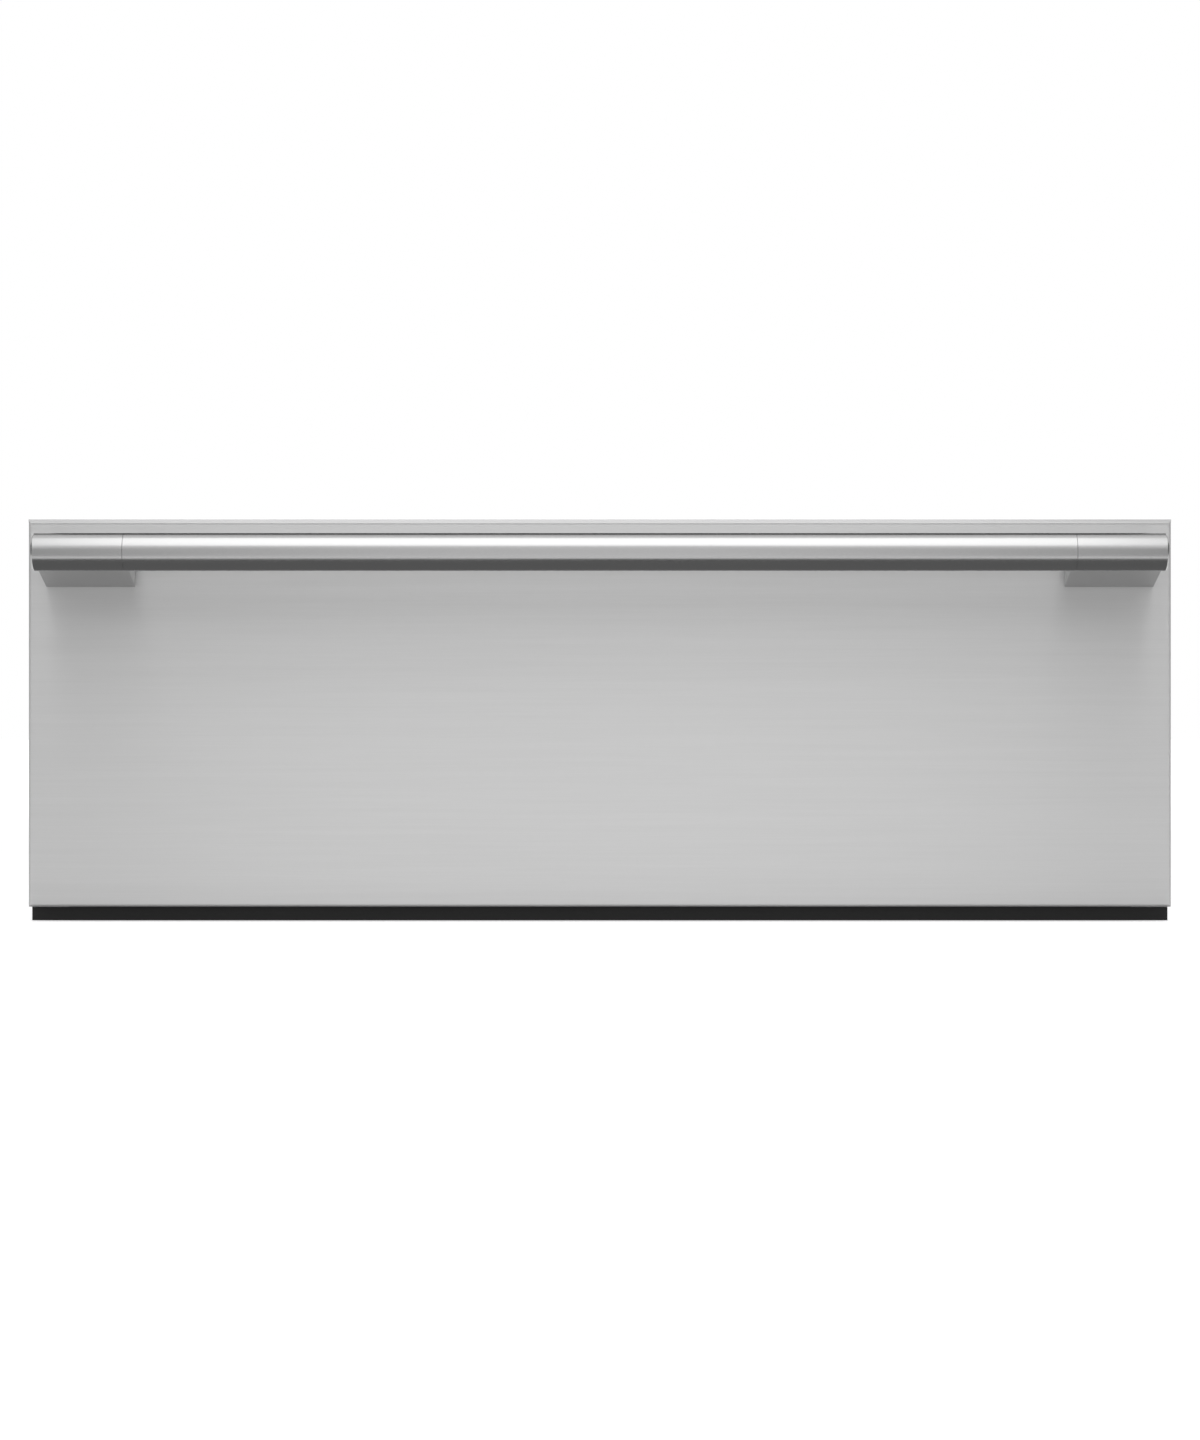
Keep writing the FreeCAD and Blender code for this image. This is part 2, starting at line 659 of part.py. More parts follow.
def handle_bracket():
    """The right bracket: a sleeve that carries on the bar, and a wedge shaped arm back to the panel."""
    end = HANDLE_L / 2
    sleeve = rod(BAR_D / 2, (BRACKET_IN, BAR_Y, BAR_Z), (end, BAR_Y, BAR_Z))
    rim = edges_at(sleeve, lambda p: near(p.x, end))
    sleeve = sleeve.makeChamfer(BAR_END_CHAMFER, rim)
    foot_z = PANEL_TOP - BRACKET_FOOT_DROP
    top_z = PANEL_TOP - BRACKET_TOP_DROP
    reach = FRONT - BAR_Y
    under_z = foot_z + math.tan(math.radians(BRACKET_SLOPE)) * reach
    outline = [(FRONT, foot_z), (BAR_Y, under_z), (BAR_Y, top_z), (FRONT, top_z)]
    arm = prism_x(outline, BRACKET_IN, end)
    foot_edges = edges_at(arm, lambda p: near(p.y, FRONT))
    arm = arm.makeChamfer(BRACKET_CHAMFER, foot_edges)
    spigot_r = BAR_D / 2 - BAR_WALL - RUNNING_CLEAR
    spigot = rod(spigot_r, (BRACKET_IN - SPIGOT_L, BAR_Y, BAR_Z), (BRACKET_IN, BAR_Y, BAR_Z))
    threads = [hole(x, FRONT, HANDLE_SCREW_Z, (0, 1, 0), HANDLE_SCREW_BITE + 1,
                    HANDLE_SCREW_D + 2 * SCREW_CLEAR) for x in handle_screw_places() if x > 0]
    return cut(fused([sleeve, arm, spigot]), threads)


def handle_screws():
    """The four screws that come through the skin into the brackets."""
    seat = FRONT + 2 * SKIN_T
    return group(
        screw(x, seat, HANDLE_SCREW_Z, (0, -1, 0), 1.7 * HANDLE_SCREW_D, 0.6 * HANDLE_SCREW_D,
              HANDLE_SCREW_D, 2 * SKIN_T + HANDLE_SCREW_BITE)
        for x in handle_screw_places()
    )


# Housing
def fixing_holes():
    """The cabinet screw holes through both fixing flanges."""
    return [hole(s * FIXING_X, HOUSING_FRONT, z, (0, 1, 0), 2 * HOUSING_T, FIXING_D)
            for s in (-1, 1) for z in FIXING_ZS]


BACK_SCREW_ZS = (FOOT_H + BACK_SCREW_INSET, HOUSING_TOP - BACK_SCREW_INSET)
BACK_SCREW_X = HOUSING_W / 2 - HOUSING_FLANGE / 2
BASE_SCREW_YS = (HOUSING_FRONT + BASE_SCREW_INSET, HOUSING_REAR - BASE_SCREW_INSET)
RAIL_TOP = HOUSING_TOP - HOUSING_T
RAIL_SCREW_Y = HOUSING_FRONT + RAIL_D / 2
TRIM_SCREW_XS = (-TRIM_SCREW_SPREAD / 2, 0.0, TRIM_SCREW_SPREAD / 2)
TRIM_SCREW_Y = HOUSING_FRONT + TRIM_LAP / 2


def housing_base():
    """The bottom sheet."""
    plate = box(-HOUSING_W / 2, HOUSING_W / 2, HOUSING_FRONT, HOUSING_REAR - HOUSING_T, FOOT_H, BASE_TOP)
    sides = [hole(s * BACK_SCREW_X, y, FOOT_H, (0, 0, 1), 2 * HOUSING_T)
             for s in (-1, 1) for y in BASE_SCREW_YS]
    trim = [hole(x, TRIM_SCREW_Y, FOOT_H, (0, 0, 1), 2 * HOUSING_T) for x in TRIM_SCREW_XS]
    return cut(plate, sides + trim)


def housing_side():
    """The right side wall, folded inward along its top, bottom and rear and outward at the front."""
    outer = HOUSING_W / 2
    inner = outer - HOUSING_FLANGE
    rear = HOUSING_REAR - HOUSING_T
    web = box(WALL_IN, outer, HOUSING_FRONT, rear, BASE_TOP, HOUSING_TOP)
    foot = box(inner, outer, HOUSING_FRONT, rear, BASE_TOP, BASE_TOP + HOUSING_T)
    head = box(inner, outer, HOUSING_FRONT, rear, HOUSING_TOP - HOUSING_T, HOUSING_TOP)
    back = box(inner, outer, rear - HOUSING_T, rear, BASE_TOP, HOUSING_TOP)
    flange = box(WALL_IN, outer + FLANGE_W, HOUSING_FRONT, HOUSING_FRONT + HOUSING_T,
                 FOOT_H + FLANGE_MARGIN, HOUSING_TOP - FLANGE_MARGIN)
    holes = [hole(BACK_SCREW_X, y, BASE_TOP, (0, 0, 1), 2 * HOUSING_T) for y in BASE_SCREW_YS]
    holes += [hole(BACK_SCREW_X, rear, z, (0, 1, 0), 2 * HOUSING_T) for z in BACK_SCREW_ZS]
    holes.append(hole(BACK_SCREW_X, RAIL_SCREW_Y, HOUSING_TOP, (0, 0, 1), 2 * HOUSING_T))
    vents = []
    for k in range(VENT_COUNT):
        y = rear - SIDE_VENT_INSET - k * VENT_PITCH
        vents.append(box(WALL_IN - 1, outer + 1, y - VENT_W / 2, y + VENT_W / 2,
                         BASE_TOP + SIDE_VENT_RISE, BASE_TOP + SIDE_VENT_RISE + VENT_L))
    beads = []
    hollows = []
    bead_front = (HOUSING_FRONT + rear - BEAD_L) / 2
    for z, length in ((RUNNER_Z - BEAD_RISE, LOW_BEAD_L), (RUNNER_Z + BEAD_RISE, BEAD_L)):
        middle = bead_front + length / 2
        beads.append(bead(z, middle, length, BEAD_H, outer, outer + BEAD_OUT))
        hollows.append(bead(z, middle, length - 2 * HOUSING_T, BEAD_H - 2 * HOUSING_T, WALL_IN,
                            outer + BEAD_OUT - HOUSING_T))
    body = cut(fused([web, foot, head, back, flange] + beads), hollows)
    return cut(body, holes + vents + fixing_holes())


def bead(z, y, length, height, x0, x1):
    """A long round ended block on a side wall, about (y, z)."""
    shape = slab(0, 0, height, length, 0, x1 - x0, 0.49 * height)
    shape.rotate(V(0, 0, 0), V(0, 1, 0), 90)
    shape.translate(V(x0, y, z))
    return shape


def housing_back():
    """The rear wall with its air slots and the opening for the power inlet."""
    rear = HOUSING_REAR
    plate = box(-HOUSING_W / 2, HOUSING_W / 2, rear - HOUSING_T, rear, FOOT_H, HOUSING_TOP)
    slots = []
    for k in range(2 * VENT_COUNT):
        x = FAN_X + (k - VENT_COUNT + 0.5) * VENT_PITCH
        slots.append(box(x - VENT_W / 2, x + VENT_W / 2, rear - 2 * HOUSING_T, rear + 1,
                         FAN_Z - VENT_L / 2, FAN_Z + VENT_L / 2))
    half_w = INLET_BODY_W / 2 + FIT
    half_h = INLET_BODY_H / 2 + FIT
    opening = box(INLET_POS_X - half_w, INLET_POS_X + half_w, rear - 2 * HOUSING_T, rear + 1,
                  INLET_POS_Z - half_h, INLET_POS_Z + half_h)
    holes = [hole(s * BACK_SCREW_X, rear, z, (0, 1, 0), 2 * HOUSING_T)
             for s in (-1, 1) for z in BACK_SCREW_ZS]
    return cut(plate, slots + [opening] + holes)


def housing_front_rail():
    """The channel that ties the side walls together over the opening."""
    rear = HOUSING_FRONT + RAIL_D
    low = RAIL_TOP - RAIL_H
    block = box(-WALL_IN, WALL_IN, HOUSING_FRONT, rear, low, RAIL_TOP)
    hollow = box(-WALL_IN - 1, WALL_IN + 1, HOUSING_FRONT + HOUSING_T, rear - HOUSING_T,
                 low - 1, RAIL_TOP - HOUSING_T)
    holes = [hole(s * BACK_SCREW_X, RAIL_SCREW_Y, RAIL_TOP, (0, 0, 1), 2 * HOUSING_T) for s in (-1, 1)]
    return cut(block, [hollow] + holes)


def base_trim():
    """The black strip seen under the front, with a flange under the base."""
    face_y = FRONT + TRIM_SETBACK
    strip = box(-TRIM_W / 2, TRIM_W / 2, face_y, face_y + TRIM_T, TRIM_BASE, PANEL_BASE - TRIM_GAP)
    flange = box(-HOUSING_W / 2, HOUSING_W / 2, face_y, HOUSING_FRONT + TRIM_LAP, FOOT_H - TRIM_T, FOOT_H)
    holes = [hole(x, TRIM_SCREW_Y, FOOT_H, (0, 0, 1), 2 * TRIM_T) for x in TRIM_SCREW_XS]
    return cut(fused([strip, flange]), holes)


def feet():
    """Four rubber pads."""
    pads = []
    for x in FOOT_XS:
        for y in FOOT_YS:
            pad = rod(FOOT_D / 2, (x, y, 0), (x, y, FOOT_H))
            pads.append(pad.makeFillet(0.25 * FOOT_H, edges_at(pad, lambda p: near(p.z, 0))))
    return group(pads)


def front_bumpers():
    """Rubber buttons on the fixing flanges that the closed panel rests near."""
    thick = FRONT_GAP - FIT
    heights = (FOOT_H + BUMPER_INSET_Z, HOUSING_TOP - BUMPER_INSET_Z)
    return group(
        rod(BUMPER_D / 2, (s * FIXING_X, HOUSING_FRONT - thick, z), (s * FIXING_X, HOUSING_FRONT, z))
        for s in (-1, 1) for z in heights
    )


def power_inlet():
    """The mains inlet: a flange, a recessed body and three pins."""
    x = INLET_POS_X
    z = INLET_POS_Z
    outside = HOUSING_REAR + REAR_STANDOUT
    flange = slab(0, 0, INLET_W, INLET_H, 0, REAR_STANDOUT, INLET_CORNER_R)
    flange.rotate(V(0, 0, 0), V(1, 0, 0), -90)
    flange.translate(V(x, HOUSING_REAR, z))
    body = box(x - INLET_BODY_W / 2, x + INLET_BODY_W / 2, outside - INLET_BODY_D, outside,
               z - INLET_BODY_H / 2, z + INLET_BODY_H / 2)
    mouth = box(x - INLET_MOUTH_W / 2, x + INLET_MOUTH_W / 2, outside - INLET_MOUTH_D, outside + 1,
                z - INLET_MOUTH_H / 2, z + INLET_MOUTH_H / 2)
    holes = [hole(x + s * INLET_SCREW_PITCH / 2, outside, z, (0, 1, 0), 2 * REAR_STANDOUT, SCREW_D)
             for s in (-1, 1)]
    places = ((-PIN_SPREAD / 2, PIN_RISE), (PIN_SPREAD / 2, PIN_RISE), (0, -PIN_DROP))
    pins = [box(x + dx - PIN_W / 2, x + dx + PIN_W / 2, outside - INLET_MOUTH_D - 1, outside - PIN_RECESS,
                z + dz - PIN_H / 2, z + dz + PIN_H / 2)
            for dx, dz in places]
    shell = cut(fused([flange, body]), [mouth] + holes)
    return fused([shell] + pins)


def housing_screws():
    """The screws that hold the housing together and the strip to it."""
    places = []
    for s in (-1, 1):
        places += [screw(s * BACK_SCREW_X, HOUSING_REAR, z, (0, -1, 0)) for z in BACK_SCREW_ZS]
        places += [screw(s * BACK_SCREW_X, y, BASE_TOP + HOUSING_T, (0, 0, -1), length=2 * HOUSING_T + 1)
                   for y in BASE_SCREW_YS]
        places.append(screw(s * BACK_SCREW_X, RAIL_SCREW_Y, HOUSING_TOP, (0, 0, -1)))
    places += [screw(x, TRIM_SCREW_Y, FOOT_H - TRIM_T, (0, 0, 1), head_h=TRIM_HEAD_H)
               for x in TRIM_SCREW_XS]
    return group(places)


# Telescopic runners. Each section is drawn with u from the housing wall towards the drawer and z about
# the runner's middle, for the right-hand side.
OUTER_FACE = RUNNER_H / 2 - RAIL_T
OUTER_BALL_Z = OUTER_FACE - BALL_SEAT * OUTER_BALL_D
MIDDLE_FACE = OUTER_BALL_Z - BALL_SEAT * OUTER_BALL_D
INNER_BALL_Z = MIDDLE_FACE - MIDDLE_RAIL_T - BALL_SEAT * INNER_BALL_D
INNER_FACE = INNER_BALL_Z - BALL_SEAT * INNER_BALL_D
OUTER_CAGE_U = RAIL_T + CAGE_GAP
MIDDLE_U = OUTER_CAGE_U + CAGE_T + CAGE_GAP
INNER_CAGE_U = MIDDLE_U + RAIL_T + CAGE_GAP
INNER_U = INNER_CAGE_U + CAGE_T + CAGE_GAP
OUTER_BALL_U = (MIDDLE_U + RUNNER_T) / 2
INNER_BALL_U = (INNER_U + RUNNER_T - RAIL_T) / 2
RUNNER_Y0 = HOUSING_FRONT + RUNNER_SETBACK
RUNNER_Y1 = RUNNER_Y0 + RUNNER_L
CAGE_Y0 = RUNNER_Y0 + TRAVEL / 4 + CAGE_MARGIN
CAGE_Y1 = CAGE_Y0 + CAGE_L
RAIL_SCREW_YS = (
    RUNNER_Y0 + RUNNER_SCREW_INSET,
    (RUNNER_Y0 + RUNNER_Y1) / 2,
    RUNNER_Y1 - RUNNER_SCREW_INSET,
)


def rail_box(u0, u1, z0, z1, y0=RUNNER_Y0, y1=RUNNER_Y1):
    """A block of the right runner, from its section."""
    return box(WALL_IN - u1, WALL_IN - u0, y0, y1, RUNNER_Z + z0, RUNNER_Z + z1)


def raceways(u, z, ball_d):
    """The two grooves that a pair of ball rows runs in."""
    x = WALL_IN - u
    radius = ball_d / 2 + BALL_CLEAR
    return [rod(radius, (x, RUNNER_Y0 - 1, RUNNER_Z + s * z), (x, RUNNER_Y1 + 1, RUNNER_Z + s * z))
            for s in (-1, 1)]


def runner_outer():
    """The member fixed to the housing wall."""
    half = RUNNER_H / 2
    block = rail_box(0, RUNNER_T - CAGE_GAP, -half, half)
    hollow = rail_box(RAIL_T, RUNNER_T + 1, -OUTER_FACE, OUTER_FACE)
    return cut(block, [hollow] + raceways(OUTER_BALL_U, OUTER_BALL_Z, OUTER_BALL_D))


def runner_middle():
    """The member that moves half as far as the drawer."""
    block = rail_box(MIDDLE_U, RUNNER_T - 2 * CAGE_GAP, -MIDDLE_FACE, MIDDLE_FACE)
    inside = MIDDLE_FACE - MIDDLE_RAIL_T
    hollow = rail_box(MIDDLE_U + RAIL_T, RUNNER_T + 1, -inside, inside)
    grooves = raceways(OUTER_BALL_U, OUTER_BALL_Z, OUTER_BALL_D)
    grooves += raceways(INNER_BALL_U, INNER_BALL_Z, INNER_BALL_D)
    return cut(block, [hollow] + grooves)


def runner_inner():
    """The member screwed to the drawer's side."""
    block = rail_box(INNER_U, RUNNER_T, -INNER_FACE, INNER_FACE)
    inside = INNER_FACE - RAIL_T
    hollow = rail_box(INNER_U - 1, RUNNER_T - RAIL_T, -inside, inside)
    screws = [hole(SIDE_OUT, y, RUNNER_Z, (1, 0, 0), 2 * RAIL_T) for y in RAIL_SCREW_YS]
    return cut(block, [hollow] + screws + raceways(INNER_BALL_U, INNER_BALL_Z, INNER_BALL_D))


def ball_cage(u0, u1, ball_u, ball_z, ball_d):
    """A pressed strip with two rows of balls in it."""
    half = ball_z + CAGE_T / 2
    block = rail_box(u0, u1, -half, half, CAGE_Y0, CAGE_Y1)
    hollow = rail_box(u0 + CAGE_T, u1 + 1, CAGE_T - half, half - CAGE_T, CAGE_Y0 - 1, CAGE_Y1 + 1)
    pitch = (CAGE_Y1 - CAGE_Y0) / BALLS_PER_ROW
    ys = [CAGE_Y0 + (k + 0.5) * pitch for k in range(BALLS_PER_ROW)]
    x = WALL_IN - ball_u
    pocket = ball_d / 2 + BALL_CLEAR
    pockets = [rod(pocket, (x, y, RUNNER_Z - half - 1), (x, y, RUNNER_Z + half + 1)) for y in ys]
    strip = cut(block, [hollow] + pockets)
    balls = [ball(ball_d / 2, x, y, RUNNER_Z + s * ball_z) for y in ys for s in (-1, 1)]
    return group([strip] + balls)


def outer_ball_cage():
    """Balls between the outer and middle members."""
    reach = OUTER_BALL_U + CAGE_REACH * OUTER_BALL_D
    return ball_cage(OUTER_CAGE_U, reach, OUTER_BALL_U, OUTER_BALL_Z, OUTER_BALL_D)


def inner_ball_cage():
    """Balls between the middle and inner members."""
    reach = INNER_BALL_U + CAGE_REACH * INNER_BALL_D
    return ball_cage(INNER_CAGE_U, reach, INNER_BALL_U, INNER_BALL_Z, INNER_BALL_D)


# Drawer box
DECK_SCREW_X = SIDE_OUT - DRAWER_FLANGE / 2
DECK_SCREW_YS = (
    PANEL_BACK + DECK_SCREW_INSET,
    (PANEL_BACK + DRAWER_REAR) / 2,
    DRAWER_REAR - DECK_SCREW_INSET,
)
REAR_SCREW_ZS = (DRAWER_BASE + REAR_SCREW_INSET, DECK_UNDER - REAR_SCREW_INSET)


def drawer_side():
    """The right side sheet with folded edges."""
    inner = SIDE_OUT - DRAWER_FLANGE
    rear = DRAWER_REAR - DRAWER_T
    web = box(SIDE_IN, SIDE_OUT, PANEL_BACK, rear, DRAWER_BASE, DECK_UNDER)
    foot = box(inner, SIDE_OUT, PANEL_BACK, rear, DRAWER_BASE, DRAWER_BASE + DRAWER_T)
    head = box(inner, SIDE_OUT, PANEL_BACK, rear, DECK_UNDER - DRAWER_T, DECK_UNDER)
    back = box(inner, SIDE_OUT, rear - DRAWER_T, rear, DRAWER_BASE, DECK_UNDER)
    tab = box(inner, SIDE_OUT, PANEL_BACK, PANEL_BACK + DRAWER_T, DRAWER_BASE, DRAWER_BASE + FRONT_TAB_H)
    holes = [hole(TAB_SCREW_X, PANEL_BACK, z, (0, 1, 0), 2 * DRAWER_T) for z in TAB_SCREW_ZS]
    holes += [hole(SIDE_OUT, y, RUNNER_Z, (1, 0, 0), 2 * DRAWER_T) for y in RAIL_SCREW_YS]
    holes += [hole(DECK_SCREW_X, y, DECK_UNDER, (0, 0, 1), 2 * DRAWER_T) for y in DECK_SCREW_YS]
    holes += [hole(DECK_SCREW_X, rear, z, (0, 1, 0), 2 * DRAWER_T) for z in REAR_SCREW_ZS]
    return cut(fused([web, foot, head, back, tab]), holes)


def drawer_floor():
    """The floor sheet on the side sheets' lower folds."""
    return box(-SIDE_IN, SIDE_IN, PANEL_BACK + DRAWER_T, DRAWER_REAR - 2 * DRAWER_T,
               DRAWER_BASE + DRAWER_T, FLOOR_TOP)


def drawer_back():
    """The rear sheet with the fan's grille."""
    rear = DRAWER_REAR
    plate = box(-SIDE_OUT, SIDE_OUT, rear - DRAWER_T, rear, DRAWER_BASE, DECK_UNDER)
    step = FAN_BORE / (GRILLE_BARS + 1)
    slot_w = 0.6 * step
    slots = []
    for k in range(GRILLE_BARS):
        off = (k - (GRILLE_BARS - 1) / 2) * step
        half = math.sqrt((FAN_BORE / 2) ** 2 - (abs(off) + slot_w / 2) ** 2)
        slots.append(box(FAN_X + off - slot_w / 2, FAN_X + off + slot_w / 2, rear - 2 * DRAWER_T, rear + 1,
                         FAN_Z - half, FAN_Z + half))
    bridge = box(FAN_X - FAN_BORE / 2, FAN_X + FAN_BORE / 2, rear - DRAWER_T, rear,
                 FAN_Z - GRILLE_BRIDGE / 2, FAN_Z + GRILLE_BRIDGE / 2)
    holes = [hole(s * DECK_SCREW_X, rear, z, (0, 1, 0), 2 * DRAWER_T)
             for s in (-1, 1) for z in REAR_SCREW_ZS]
    return fused([cut(plate, slots + holes), bridge])


def drawer_screws():
    """Screws of the drawer box: front tabs, runners, deck and rear sheet."""
    places = []
    for s in (-1, 1):
        places += [screw(s * TAB_SCREW_X, PANEL_BACK + DRAWER_T, z, (0, -1, 0)) for z in TAB_SCREW_ZS]
        places += [screw(s * SIDE_IN, y, RUNNER_Z, (s, 0, 0), length=DRAWER_T + 2 * RAIL_T)
                   for y in RAIL_SCREW_YS]
        places += [screw(s * DECK_SCREW_X, y, DECK_TOP, (0, 0, -1)) for y in DECK_SCREW_YS]
        places += [screw(s * DECK_SCREW_X, DRAWER_REAR, z, (0, -1, 0)) for z in REAR_SCREW_ZS]
    return group(places)


def deck():
    """The top sheet with its openings for the chamber and the controls."""
    plate = box(-SIDE_OUT, SIDE_OUT, PANEL_BACK + FIT, DRAWER_REAR, DECK_UNDER, DECK_TOP)
    lip_half = SIDE_OUT - DRAWER_FLANGE - 2 * DRAWER_T
    lip_y = PANEL_BACK + FIT
    lip = box(-lip_half, lip_half, lip_y, lip_y + DECK_T, DECK_UNDER - DECK_LIP, DECK_UNDER)
    outside = 2 * (CHAMBER_T + CUTOUT_CLEAR)
    opening = slab(CHAMBER_X, CHAMBER_MID_Y, CHAMBER_W + outside, CHAMBER_D + outside,
                   DECK_UNDER - 1, DECK_TOP + 1, CHAMBER_CORNER_R + CHAMBER_T + CUTOUT_CLEAR)
    control_y = CONTROL_FRONT + CONTROL_D / 2
    window = slab(CHAMBER_X, control_y, CONTROL_W + 2 * CONTROL_CLEAR, CONTROL_D + 2 * CONTROL_CLEAR,
                  DECK_UNDER - 1, DECK_TOP + 1, CONTROL_CORNER_R + CONTROL_CLEAR)
    y1 = DRAWER_REAR - VENT_INSET
    vents = []
    for k in range(VENT_COUNT):
        x = VENT_X + (k - (VENT_COUNT - 1) / 2) * VENT_PITCH
        vents.append(box(x - VENT_W / 2, x + VENT_W / 2, y1 - VENT_L, y1, DECK_UNDER - 1, DECK_TOP + 1))
    holes = [hole(s * DECK_SCREW_X, y, DECK_TOP, (0, 0, 1), 2 * DECK_T)
             for s in (-1, 1) for y in DECK_SCREW_YS]
    return cut(fused([plate, lip]), [opening, window] + vents + holes)


# Vacuum chamber, seal bar and lid
def chamber():
    """The drawn steel tub with its flat rim on the deck."""
    outer = slab(CHAMBER_X, CHAMBER_MID_Y, CHAMBER_W + 2 * CHAMBER_T, CHAMBER_D + 2 * CHAMBER_T,
                 CHAMBER_FLOOR - CHAMBER_T, RIM_TOP, CHAMBER_CORNER_R + CHAMBER_T)
    outer = outer.makeFillet(CHAMBER_FLOOR_R + CHAMBER_T,
                             edges_at(outer, lambda p: near(p.z, CHAMBER_FLOOR - CHAMBER_T)))
    inner = slab(CHAMBER_X, CHAMBER_MID_Y, CHAMBER_W, CHAMBER_D, CHAMBER_FLOOR, RIM_TOP, CHAMBER_CORNER_R)
    inner = inner.makeFillet(CHAMBER_FLOOR_R, edges_at(inner, lambda p: near(p.z, CHAMBER_FLOOR)))
    rim = slab(CHAMBER_X, CHAMBER_MID_Y, CHAMBER_W + 2 * RIM_W, CHAMBER_D + 2 * RIM_W,
               DECK_TOP, RIM_TOP, CHAMBER_CORNER_R + RIM_W)
    port = hole(PORT_X, PORT_Y, CHAMBER_FLOOR, (0, 0, 1), 3 * CHAMBER_T, HOSE_D + 2 * RUNNING_CLEAR)
    return cut(fused([outer, rim]), [inner, port])


PORT_ELBOW_Z = CHAMBER_FLOOR - CHAMBER_T - ELBOW_DROP


def chamber_port():
    """The outlet in the chamber's floor: a flanged stub with a hose elbow under it."""
    stub = rod(HOSE_D / 2, (PORT_X, PORT_Y, PORT_ELBOW_Z), (PORT_X, PORT_Y, CHAMBER_FLOOR + CAP_H / 2))
    cap = rod(HOSE_D, (PORT_X, PORT_Y, CHAMBER_FLOOR), (PORT_X, PORT_Y, CHAMBER_FLOOR + CAP_H))
    nut = rod(HOSE_D, (PORT_X, PORT_Y, CHAMBER_FLOOR - CHAMBER_T - CAP_NUT_H),
              (PORT_X, PORT_Y, CHAMBER_FLOOR - CHAMBER_T))
    elbow = rod(ELBOW_D / 2, (PORT_X, PORT_Y, PORT_ELBOW_Z - ELBOW_D / 2),
                (PORT_X, PORT_Y, PORT_ELBOW_Z + ELBOW_D / 2))
    barb = rod(HOSE_BORE / 2 - RUNNING_CLEAR, (PORT_X, PORT_Y, PORT_ELBOW_Z),
               (PORT_X + HOSE_D + BARB_L, PORT_Y, PORT_ELBOW_Z))
    suction = hole(PORT_X, PORT_Y, CHAMBER_FLOOR + CAP_H, (0, 0, 1), 2 * CAP_H, 0.5 * HOSE_D)
    return cut(fused([stub, cap, nut, elbow, barb]), [suction])


def seal_bar():
    """The bar that the bag's mouth lies on, with a seat for the heating strip."""
    half = SEAL_BAR_L / 2
    bar = box(CHAMBER_X - half, CHAMBER_X + half, SEAL_Y - SEAL_BAR_W / 2, SEAL_Y + SEAL_BAR_W / 2,
              SEAL_UNDER, SEAL_UNDER + SEAL_BAR_H)
    upper = edges_at(bar, lambda p: near(p.z, SEAL_UNDER + SEAL_BAR_H) and not near(p.y, SEAL_Y))
    return bar.makeFillet(SEAL_EDGE_R, [e for e in upper if near(e.Length, SEAL_BAR_L)])


def heating_strip():
    """The heating wire under its release tape."""
    half = SEAL_BAR_L / 2 - STRIP_END
    return box(CHAMBER_X - half, CHAMBER_X + half, SEAL_Y - STRIP_W / 2, SEAL_Y + STRIP_W / 2,
               STRIP_TOP - STRIP_T, STRIP_TOP)


def lift_pistons():
    """Two pistons and rods that push the seal bar up."""
    parts = []
    low = CHAMBER_FLOOR + CYLINDER_CAP_T + FIT
    for x in CYLINDER_XS:
        piston = rod(PISTON_D / 2, (x, SEAL_Y, low), (x, SEAL_Y, low + PISTON_T))
        stem = rod(PISTON_ROD_D / 2, (x, SEAL_Y, low), (x, SEAL_Y, SEAL_UNDER))
        parts.append(fused([piston, stem]))
    return group(parts)


def lift_cylinders():
    """The two air cylinders on the chamber's floor."""
    parts = []
    for x in CYLINDER_XS:
        top = CHAMBER_FLOOR + CYLINDER_H
        body = rod(CYLINDER_D / 2, (x, SEAL_Y, CHAMBER_FLOOR), (x, SEAL_Y, top))
        bore = rod(PISTON_D / 2 + RUNNING_CLEAR, (x, SEAL_Y, CHAMBER_FLOOR + CYLINDER_CAP_T),
                   (x, SEAL_Y, top - CYLINDER_CAP_T))
        gland = rod(PISTON_ROD_D / 2 + RUNNING_CLEAR, (x, SEAL_Y, top - 2 * CYLINDER_CAP_T),
                    (x, SEAL_Y, top + 1))
        body = body.makeFillet(CYLINDER_EDGE_R, edges_at(body, lambda p: near(p.z, top)))
        parts.append(cut(body, [bore, gland]))
    return group(parts)


def lid_bolt_places():
    """The (x, y) of the bolts that hold the hinge leaves to the glass."""
    y = GLASS_REAR - LEAF_L / 2
    return [(x + k * LID_BOLT_PITCH / 2, y) for x in HINGE_XS for k in (-1, 1)]


def lid_glass():
    """The thick glass lid with its bolt holes."""
    depth = GLASS_REAR - GLASS_FRONT
    y = (GLASS_FRONT + GLASS_REAR) / 2
    plate = slab(CHAMBER_X, y, GLASS_W, depth, GLASS_UNDER, GLASS_TOP, LID_CORNER_R)
    rims = edges_at(plate, lambda p: near(p.z, GLASS_TOP) or near(p.z, GLASS_UNDER))
    plate = plate.makeChamfer(LID_CHAMFER, rims)
    holes = [hole(x, y, GLASS_TOP, (0, 0, 1), 2 * LID_T, LID_BOLT_D + 2 * SCREW_CLEAR)
             for x, y in lid_bolt_places()]
    return cut(plate, holes)


